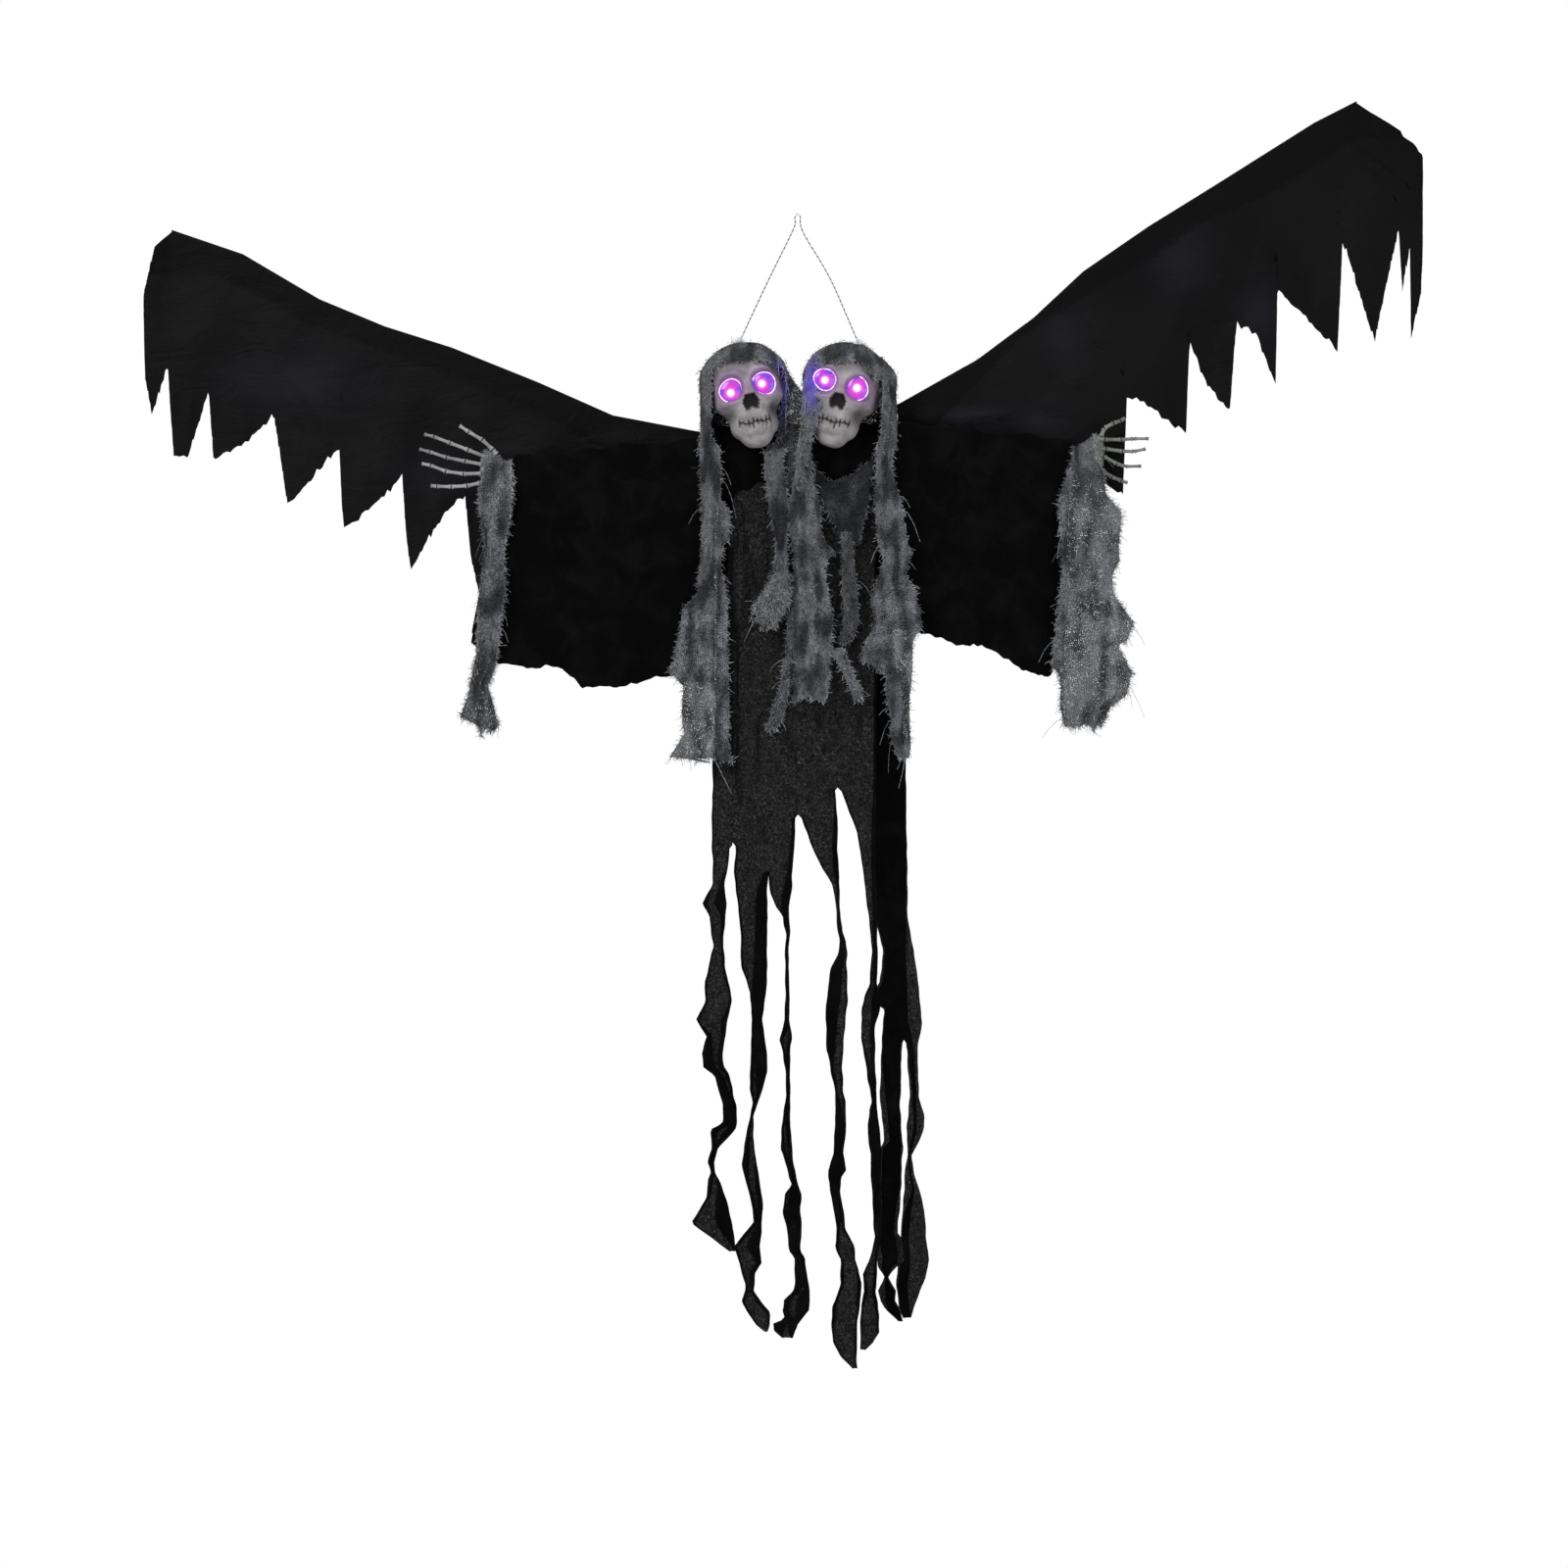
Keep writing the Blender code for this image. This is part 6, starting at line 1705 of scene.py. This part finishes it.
def make_wrist_gauze(side):
    sign = -1 if side == "left" else 1
    columns, back, arc, front = 16, 10, 14, 96
    rows = back + arc + front
    reach = (2 * MM, 31 * MM) if side == "left" else (2 * MM, 25 * MM)
    lefts, rights = (edge_line(points) for points in WRIST_EDGES[side])
    bottom = max(lefts[-1][0], rights[-1][0])
    spot = np.zeros((rows + 1, columns + 1, 3))
    for n in range(columns + 1):
        share = n / columns
        distance = reach[0] + (reach[1] - reach[0]) * share
        x, z = hand_middle(side, distance)
        half_depth = along(HAND_SECTIONS, distance / MM, 1) * MM + 1.2 * MM
        half_height = along(HAND_SECTIONS, distance / MM, 2) * MM + 1.2 * MM
        for row in range(back):
            spot[row, n] = (x, half_depth + 1 * MM, z - 24 * MM * (back - row) / back)
        for row in range(back, back + arc + 1):
            turn = math.pi * (row - back) / arc
            spot[row, n] = (x, half_depth * math.cos(turn), z + half_height * math.sin(turn))
        level = np.arange(1, front + 1) / front
        drop = -z + (bottom - 3 * MM + z + 12 * MM * lumps(n * 0.43, 1, 5, 1.0)) * level
        across = share if sign > 0 else 1 - share
        target = along(lefts, drop, 1) + (along(rights, drop, 1) - along(lefts, drop, 1)) * across
        blend = ease(level * 12)
        wave = 4 * MM * np.sin(across * 6 + level * 9) + 1.2 * MM * np.sin(across * 15 + level * 19)
        spot[back + arc + 1:, n, 0] = x + (target - x) * blend
        spot[back + arc + 1:, n, 1] = -half_depth + (-22 * MM + wave + half_depth) * blend
        spot[back + arc + 1:, n, 2] = -drop
    lower = slice(back + arc + 1, None)
    rough = ripple(spot[:, :, 0], spot[:, :, 2], 0.009, 1.0)[lower]
    spot[lower, :, 1] += 1.2 * MM * rough
    spot[lower, :, 0] += 0.8 * MM * ripple(spot[:, :, 0], spot[:, :, 2], 0.004, 2.0)[lower]
    gauze = grid_sheet(f"gauze_wrist_{side}", columns, rows, spot)
    lay_map(gauze, 0.03 if side == "left" else 0.06, 0.36)
    here = points_of(gauze)
    # Painted shade in the folds of the wrist gauze, uneven over it
    folds = 0.36 + 1.5 * ripple(here[:, 0], here[:, 2] * 0.25, 0.013, 22.0)
    folds += 0.9 * ripple(here[:, 0] * 0.6, here[:, 2], 0.030, 24.0)
    paint(gauze, "fold", ease(folds) * 0.85)
    threads = fray(gauze, np.array((hand_middle(side, 15 * MM)[0], 0, 0)), *WRIST_THREADS)
    thicken(gauze, GAUZE_THICKNESS)
    settle(gauze, gauze.name, GAUZE, [f"wrist_gauze_{side}"])
    return gauze, threads


for side in HEADS:
    gauze, threads = make_wrist_gauze(side)

# %% [markdown]
# ## Skulls
# Each skull is a hollow moulding: a round cranium, a ridge over two deep eye sockets, cheekbones
# with hollows under them, a pear-shaped nose opening and a jaw with two rows of blocky teeth. It
# starts as a round ball with more points at the front. Every point then moves out to the blended
# form, and a list of soft bumps and hollows gives the face. Painted shade darkens the nose, the
# mouth and the cracks of the teeth, and the hollows, sides and top of the skull.

# %% Skulls
SKULL_SEGMENTS = 224
SKULL_RINGS = 168
FRONT_CROWDING = 0.5
EYE_X = 19.5
EYE_Z = 4
EYE_RADIUS = 12.5
MOUTH_Z = -40
NOSE_Z = -16
SOCKET_DEPTH = 6.0
NOSE_DEPTH = 7.5
CRACK_DEPTH = 1.3
TOOTH_WIDTH = 5.3
# Each bump is (x, z, half width, half height, height), in millimetres on the face
FACE_BUMPS = [
    (0, 36, 26, 16, 1.2), (EYE_X, 19, 14, 4.5, 2.4), (EYE_X - 6, 21, 8, 4, 0.8), (0, 17, 7, 5, -1.0),
    (0, -1, 4.5, 9, 2.6), (30, -13, 11, 6, 4.4), (36, -6, 6, 8, 2.0), (28, -30, 9, 9, -6.0),
    (37, 22, 8, 12, -2.6), (0, -31, 17, 6, 3.2), (0, -49, 15, 6, 2.2), (0, -61, 11, 6, 4.6),
    (14, -62, 9, 6, 2.6), (29, -47, 7, 10, 3.8), (0, -54.5, 12, 2.5, -1.2), (EYE_X, EYE_Z - 16, 10, 4, 1.2),
    (10, -22, 4, 7, 1.4),
]
TOOTH_GAPS = [-18.5, -13.2, -7.6, -2.4, 2.9, 8.1, 13.4, 18.2]


def bump(x, z, spot):
    """One soft bump, mirrored to the other side of the face unless it lies in the middle."""
    cx, cz, wide, tall, height = spot
    up = ((z - cz) / tall) ** 2
    total = np.exp(-(((x - cx) / wide) ** 2) - up)
    if cx:
        total = total + np.exp(-(((x + cx) / wide) ** 2) - up)
    return height * total


def nose_hole(x, z, seed):
    """0 outside the nose opening and 1 inside: a pear with two lobes below."""
    down = (NOSE_Z + 9 - z) / 18
    half = 5.8 + 3.8 * ease(down * 2.0) - 2.0 * ease(down * 2 - 1) + 0.6 * np.sin(z * 1.5 + seed)
    lobe = 2.2 * np.exp(-((x / 2.2) ** 2))
    inside_x = ease((half - np.abs(x)) / 1.6 + 0.5)
    inside_z = ease((NOSE_Z + 10 - z) / 2.0) * ease((z - (NOSE_Z - 9.5 + lobe)) / 2.2)
    return inside_x * inside_z


def mouth_crack_shade(x, z, seed):
    """1 in the line between the teeth and in the upright cracks that cross it, where painted shade goes."""
    line_z = MOUTH_Z + 0.9 * np.sin(x * 0.31 + seed) + 0.5 * np.sin(x * 0.9 + seed * 2) + 0.004 * x**2
    fade = ease((20.5 - np.abs(x)) / 2)
    dark = np.exp(-(((z - line_z) / 1.15) ** 2)) * fade * 1.3
    for number, gap in enumerate(TOOTH_GAPS):
        lean = 0.12 * math.sin(number * 2.3 + seed)
        tall = 5.2 + 1.8 * math.sin(number * 1.7 + seed * 3)
        crack_x = gap + lean * (z - line_z) + 0.35 * np.sin(z * 1.7 + number)
        near = np.exp(-(((x - crack_x) / 0.85) ** 2)) * ease((tall - np.abs(z - line_z)) / 2.5)
        dark = np.maximum(dark, 1.25 * near)
    return dark


print("bumps on the face:", len(FACE_BUMPS))

# %% [markdown]
# ### The whole skull
# The ball's points are pushed out to the blended form along their own rays. The sockets, nose and
# teeth are added in face millimetres, and the same masks are painted on the points as painted
# shade, so the painted shade and the hollows always lie together.

# %% The whole skull
def make_skull(side):
    seed = 1.0 if side == "left" else 4.4
    deselect()
    bpy.ops.mesh.primitive_uv_sphere_add(segments=SKULL_SEGMENTS, ring_count=SKULL_RINGS, radius=1)
    skull = bpy.context.object
    way = points_of(skull)
    way /= np.linalg.norm(way, axis=1)[:, None]
    turn = np.arctan2(way[:, 0], -way[:, 1])
    turn = turn - FRONT_CROWDING * np.sin(turn)
    flat = np.hypot(way[:, 0], way[:, 1])
    way = np.stack([np.sin(turn) * flat, -np.cos(turn) * flat, way[:, 2]], axis=1)
    reach = skull_reach(way)
    x = way[:, 0] * reach / MM
    z = way[:, 2] * reach / MM
    front = ease(-way[:, 1] * 3.0 + 0.2)
    shift = sum(bump(x, z, spot) for spot in FACE_BUMPS) * front
    eye_away = np.minimum(np.hypot(x - EYE_X, z - EYE_Z), np.hypot(x + EYE_X, z - EYE_Z))
    uneven = 0.8 * np.sin(np.arctan2(z - EYE_Z, np.abs(x) - EYE_X) * 3 + seed)
    socket = ease((EYE_RADIUS + 3.5 + uneven - eye_away) / 6)
    shift -= SOCKET_DEPTH * socket * front
    shift += 1.0 * np.exp(-(((eye_away - EYE_RADIUS - 4.5) / 2.2) ** 2)) * front
    hole = nose_hole(x, z, seed) * front
    shift -= NOSE_DEPTH * hole
    shift += 0.7 * np.exp(-(((np.hypot(x / 0.95, z - NOSE_Z) - 11.5) / 1.8) ** 2)) * front
    teeth = ease((21 - np.abs(x)) / 3) * ease((11 - np.abs(z - MOUTH_Z)) / 3) * front
    roots = np.abs(np.sin((x + 2.4) * math.pi / TOOTH_WIDTH)) ** 0.5
    shift += teeth * (0.9 * roots - 0.5)
    # The mouth's cracks are cut in and get painted shade
    crack_shade = mouth_crack_shade(x, z, seed) * front
    shift -= CRACK_DEPTH * crack_shade
    soft = np.array([noise.noise(Vector(p) * 9.0) for p in way])
    shift += 0.5 * soft
    spots = way * (reach + shift * MM)[:, None]
    set_points(skull, spots)
    # Painted shade in the cheek hollows, round the sockets, on the sides, towards the top, between the eyes
    # and on the back
    hollow = np.exp(-(((np.abs(x) - 28) / 9) ** 2) - ((z + 29) / 9) ** 2)
    hollow = np.maximum(hollow, 0.8 * np.exp(-(((eye_away - EYE_RADIUS - 1) / 4) ** 2)))
    hollow = np.maximum(hollow, ease((np.abs(x) - 30) / 12) * 0.6) * front
    # Painted shade in the nose opening, the mouth line and the tooth cracks
    paint(skull, "dark", np.clip(np.maximum(ease(hole * 1.6), crack_shade), 0, 1))
    hollow = np.maximum(hollow, 0.62 * ease((z - 6) / 24))
    hollow = np.maximum(hollow, 0.5 * np.exp(-((x / 7) ** 2) - ((z - 2) / 7) ** 2) * front)
    paint(skull, "hollow", np.clip(hollow + 0.3 * (1 - front), 0, 1))
    # The eyes' light painted round the sockets as a violet tint
    paint(skull, "glow", np.clip(np.exp(-(((eye_away - EYE_RADIUS) / 8) ** 2)), 0, 1) * front)
    bpy.ops.object.shade_smooth()
    skull.matrix_world = head_matrix(side)
    return settle(skull, f"moulded_skull_{side}", SKULL_PLASTIC, [f"skull_{side}"])


skulls = {side: make_skull(side) for side in HEADS}
print("skull triangles:", {side: triangles(skull) for side, skull in skulls.items()})

# %% [markdown]
# ## Eyes
# A lamp sits behind a small clear dome in each socket. Lit, the dome is a white spot that goes
# over to pink, magenta and violet, inside an uneven bright rim. The dome is a flat cap of a ball,
# its finish reads how far each point lies from the lamp, and the rim is a thin wavy ring.

# %% Eyes
EYE_PLACES = {
    ("left", "outer"): ((746.3, 403.3), (746.2, 405.6), 11.4),
    ("left", "inner"): ((779.9, 395.5), (777.6, 396.2), 11.2),
    ("right", "inner"): ((841.2, 391.7), (841.2, 392.7), 10.8),
    ("right", "outer"): ((873.3, 401.0), (873.6, 400.6), 11.6),
}
EYE_FRONT_Y = -56 * MM
DOME_BULGE = 3.2 * MM
DOME_THICKNESS = 0.8 * MM
RING_THICKNESS = 1.8 * MM
LAMP_RADIUS = 2.6 * MM


def glow_finish():
    glow = Finish("lit_eye_dome", Roughness=0.15, Base_Color=(0.1, 0.01, 0.12))
    near = glow.painted("lamp_distance")
    where = glow.place()
    cloud = glow.noise(where, 95.0, 3.0, 0.6, 0.8)
    violet = glow.mixed(cloud.smooth(0.42, 0.62), (0.50, 0.022, 0.52), (0.075, 0.028, 0.62))
    pink = glow.mixed(near.smooth(0.24, 0.75), (1.0, 0.10, 0.62), violet)
    white = glow.mixed(near.smooth(0.26, 0.42), (1.0, 0.93, 1.0), pink)
    glow.set(Emission_Color=white, Emission_Strength=1.0)
    return glow.material


def rim_finish():
    rim = Finish("lit_eye_rim", Roughness=0.2)
    patches = rim.noise(rim.place(), 160.0, 2.0)
    rim.set(
        Base_Color=(0.3, 0.2, 0.35),
        Emission_Color=rim.mixed(patches.smooth(0.36, 0.52), (0.62, 0.16, 0.85), (1.0, 0.80, 1.0)),
        Emission_Strength=1.0,
    )
    return rim.material


def lamp_finish():
    lamp = Finish("lit_lamp", Roughness=0.2)
    cloud = lamp.noise(lamp.place(), 400.0, 1.0)
    lamp.set(
        Emission_Color=lamp.mixed(cloud, (1.0, 0.88, 1.0), (1.0, 0.97, 1.0)),
        Emission_Strength=1.6,
    )
    return lamp.material


EYE_GLOW = glow_finish()
EYE_RIM = rim_finish()
LAMP = lamp_finish()
print("eye finishes:", EYE_GLOW.name, EYE_RIM.name, LAMP.name)

# %% [markdown]
# ### Dome, rim and lamp
# The dome is the upper half of a ball pressed flat. The rim is a ring with the same uneven
# outline, and the lamp is a small ball a little off the middle, where the photograph shows it.

# %% Dome, rim and lamp
def uneven_rim(angle, seed):
    """How much further out a point of the rim lies than on a true circle, for its angle."""
    return 1 + 0.035 * np.sin(angle * 2 + seed) + 0.03 * np.sin(angle * 3 + seed * 2)


def make_eye(side, which):
    centre_px, lamp_px, radius_px = EYE_PLACES[side, which]
    (cx, cz), (lx, lz) = from_pixels([centre_px, lamp_px])
    radius = radius_px * PIXEL
    deselect()
    bpy.ops.mesh.primitive_uv_sphere_add(segments=40, ring_count=40, radius=1)
    dome = bpy.context.object
    cut_away(dome, lambda face: face.center[2] < 0)
    ball = points_of(dome)
    seed = cx * 900
    angle = np.arctan2(ball[:, 1], ball[:, 0])
    out = np.hypot(ball[:, 0], ball[:, 1]) * radius * uneven_rim(angle, seed)
    spots = np.stack([
        cx + np.cos(angle) * out, EYE_FRONT_Y - ball[:, 2] * DOME_BULGE, cz + np.sin(angle) * out,
    ], axis=1)
    set_points(dome, spots)
    paint(dome, "lamp_distance", np.hypot(spots[:, 0] - lx, spots[:, 2] - lz) / radius)
    thicken(dome, DOME_THICKNESS, -1)
    settle(dome, f"eye_glow_{side}_{which}", EYE_GLOW, [f"eye_dome_{side}_{which}"])
    deselect()
    bpy.ops.mesh.primitive_torus_add(
        major_segments=72, minor_segments=8, major_radius=radius, minor_radius=RING_THICKNESS / 2,
        rotation=(math.pi / 2, 0, 0), location=(cx, EYE_FRONT_Y, cz),
    )
    ring = bpy.context.object
    bpy.ops.object.transform_apply(location=True, rotation=True, scale=True)
    spots = points_of(ring)
    angle = np.arctan2(spots[:, 2] - cz, spots[:, 0] - cx)
    spots[:, 0] = cx + (spots[:, 0] - cx) * uneven_rim(angle, seed)
    spots[:, 2] = cz + (spots[:, 2] - cz) * uneven_rim(angle, seed)
    set_points(ring, spots)
    bpy.ops.object.shade_smooth()
    settle(ring, f"eye_rim_{side}_{which}", EYE_RIM)
    deselect()
    bpy.ops.mesh.primitive_uv_sphere_add(
        segments=20, ring_count=12, radius=LAMP_RADIUS, location=(lx, EYE_FRONT_Y - DOME_BULGE * 0.6, lz)
    )
    lamp = bpy.context.object
    bpy.ops.object.shade_smooth()
    return settle(lamp, f"eye_lamp_{side}_{which}", LAMP, [f"eye_led_{side}_{which}"])


for side, which in EYE_PLACES:
    make_eye(side, which)
print("four eyes lit")

# %% [markdown]
# ## Skeleton hands
# Each hand is one thin moulding in the form of finger bones. A finger has a row of bones with
# flared ends, and the joints between them show as dark lines. A bone is a surface turned round
# its own line: thin in the middle, swelling at both ends, and closed there. The palm is a flat
# plate that narrows to the round wrist on the rod.

# %% Skeleton hands
FINGER_JOINTS = {
    "left": [
        [(507, 464), (503, 459), (492.3, 449.2), (478.6, 441.1), (469.1, 434.8)],
        [(502, 470), (495.8, 466.4), (477.9, 459.4), (459.6, 452.4), (443.2, 446), (433, 443.6)],
        [(502, 476), (492.3, 474.1), (474.7, 470.9), (455.8, 467.1), (438.9, 461.5), (428.1, 458.7)],
        [(502, 483), (491.6, 483.2), (473, 483.8), (455.1, 481.1), (439.6, 475.2), (430.5, 473.4)],
        [(500, 491), (490.2, 493), (476.8, 495.9), (460.7, 496.9), (446, 496.6), (439.6, 495.9)],
    ],
    "right": [
        [(1119, 450), (1123.4, 445.5), (1126.6, 437.2), (1136.1, 432.1), (1143.1, 429.9), (1147.6, 427)],
        [(1117, 452), (1121.5, 448.1), (1127.2, 448.7), (1143.8, 449), (1156.5, 448.1), (1171.8, 448.1)],
        [(1117, 459), (1121.5, 458.3), (1128.5, 458.3), (1145.1, 460.8), (1156.5, 461.1), (1168.7, 458.6)],
        [(1116, 463), (1120.8, 464), (1125.9, 465.9), (1139.3, 473.6), (1147.6, 476.4), (1164.2, 476.1)],
        [(1114, 468), (1118.3, 472.9), (1124.6, 480.6), (1134.2, 487), (1143.8, 490.8), (1150.2, 493.3)],
    ],
}
BONE_SIZES = {"left": (3.8, 2.3), "right": (3.7, 2.4)}
BONE_ROUND = 14
BONE_ALONG = 22
PALM_ROUND = 40
PALM_ALONG = 30
FINGER_CURL = 1.1 * MM
THUMB_CURL = 2.5 * MM
print("fingers on each hand:", len(FINGER_JOINTS["left"]))

# %% [markdown]
# ### Bones, palm and hand
# A bone and the palm are both surfaces through rings of points, closed at their ends. The bones
# of a finger run from joint to joint and get a little thinner each time.

# %% Bones, palm and hand
def turned_surface(name, rings):
    """A closed surface through rings of points: the first and last ring have no width."""
    obj = grid_sheet(name, rings.shape[1] - 1, rings.shape[0] - 1, rings)
    merge_points(obj, 0.002 * MM, outward=True)
    bpy.ops.object.shade_smooth()
    return obj


def make_bone(start, end, knuckle, shaft):
    """One finger bone from joint to joint, flared at both ends."""
    start, end = np.array(start), np.array(end)
    run = end - start
    length = np.linalg.norm(run)
    run /= length
    side_way = np.cross(run, (0, 1, 0))
    side_way /= np.linalg.norm(side_way)
    deep_way = np.cross(run, side_way)
    part = (1 - np.cos(np.linspace(0, math.pi, BONE_ALONG + 1))) / 2
    turn = np.linspace(0, 2 * math.pi, BONE_ROUND + 1)
    far = part * length / MM
    flare = np.exp(-((far / 2.6) ** 2)) + np.exp(-(((length / MM - far) / 2.2) ** 2))
    radius = shaft + (knuckle - shaft) * flare
    cap = np.sqrt(np.clip(1 - np.clip(1 - far / 1.6, 0, 1) ** 2, 0, 1))
    cap *= np.sqrt(np.clip(1 - np.clip(1 - (length / MM - far) / 1.6, 0, 1) ** 2, 0, 1))
    radius = radius * cap * MM
    rings = []
    for along_part, wide in zip(part, radius):
        centre = start + run * (length * along_part)
        wide_way = np.outer(np.cos(turn), side_way) * wide
        rings.append(centre + wide_way + np.outer(np.sin(turn), deep_way) * wide * 0.85)
    bone = turned_surface("bone", np.array(rings))
    here = (points_of(bone) - start) @ run / MM
    ends = np.minimum(here, length / MM - here)
    paint(bone, "hollow", np.exp(-((ends / 1.0) ** 2)))
    return bone


def make_palm(side):
    sign = -1 if side == "left" else 1
    rings = []
    turn = np.linspace(0, 2 * math.pi, PALM_ROUND + 1)
    for part in np.linspace(0, 1, PALM_ALONG + 1):
        distance = part * HAND_SECTIONS[-1][0]
        x, z = hand_middle(side, distance * MM)
        deep = along(HAND_SECTIONS, distance, 1) * MM
        tall = along(HAND_SECTIONS, distance, 2) * MM
        close = math.sqrt(max(0.0, 1 - max(0.0, (part - 0.93) / 0.07) ** 2)) if part > 0.93 else 1.0
        close *= 0.0 if part == 0 else 1.0
        grooves = 1 - 0.16 * part * (0.5 + 0.5 * np.cos(np.sin(turn) * 13))
        rings.append(np.stack([
            np.full(len(turn), x), -np.cos(turn) * deep * close * grooves,
            z + np.sin(turn) * tall * close,
        ], axis=1))
    palm = turned_surface("palm", np.array(rings))
    here = points_of(palm)
    paint(palm, "hollow", np.clip(0.5 + 0.5 * np.sin(here[:, 2] * 900), 0, 1) * 0.6)
    return palm


def make_hand(side):
    knuckle, shaft = BONE_SIZES[side]
    pieces = [make_palm(side)]
    for number, joints in enumerate(FINGER_JOINTS[side]):
        spots = from_pixels(joints)
        curl = FINGER_CURL + (THUMB_CURL / 4 if number == 0 else 0)
        depths = [-1.5 * MM - curl * n for n in range(len(spots))]
        for n in range(len(spots) - 1):
            start = (spots[n][0], depths[n], spots[n][1])
            end = (spots[n + 1][0], depths[n + 1], spots[n + 1][1])
            slim = 1 - 0.07 * n
            pieces.append(make_bone(start, end, knuckle * slim, shaft * slim))
    hand = join(pieces)
    return settle(hand, f"bone_hand_{side}", HAND_BONE[side], [f"hand_{side}"])


hands = {side: make_hand(side) for side in HEADS}
print("hand triangles:", {side: triangles(hand) for side, hand in hands.items()})

# %% [markdown]
# ## Parts that stay as they were built
# The wires, neck stems, knots, battery cases, switches, cells and leads already have their real
# shape in the frame, so they only get a finish. The name of each part says which one.

# %% Finish the frame
BUILT_FINISHES = [
    (("battery_case", "battery_cover", "switch_knob"), BLACK_PLASTIC),
    (("arm_rod", "wing_spar", "cover_screw"), WIRE),
    (("button_cell",), CELL_METAL),
    (("led_lead",), LEAD_SLEEVE),
    (("crown_knot",), STRING),
    (("neck_stem",), SKULL_PLASTIC),
]
for starts, built_finish in BUILT_FINISHES:
    chosen = [node for name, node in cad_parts.items() if name.startswith(starts)]
    for node in chosen:
        node.data.materials.clear()
        node.data.materials.append(built_finish)
    print(built_finish.name, "on", len(chosen), "parts")
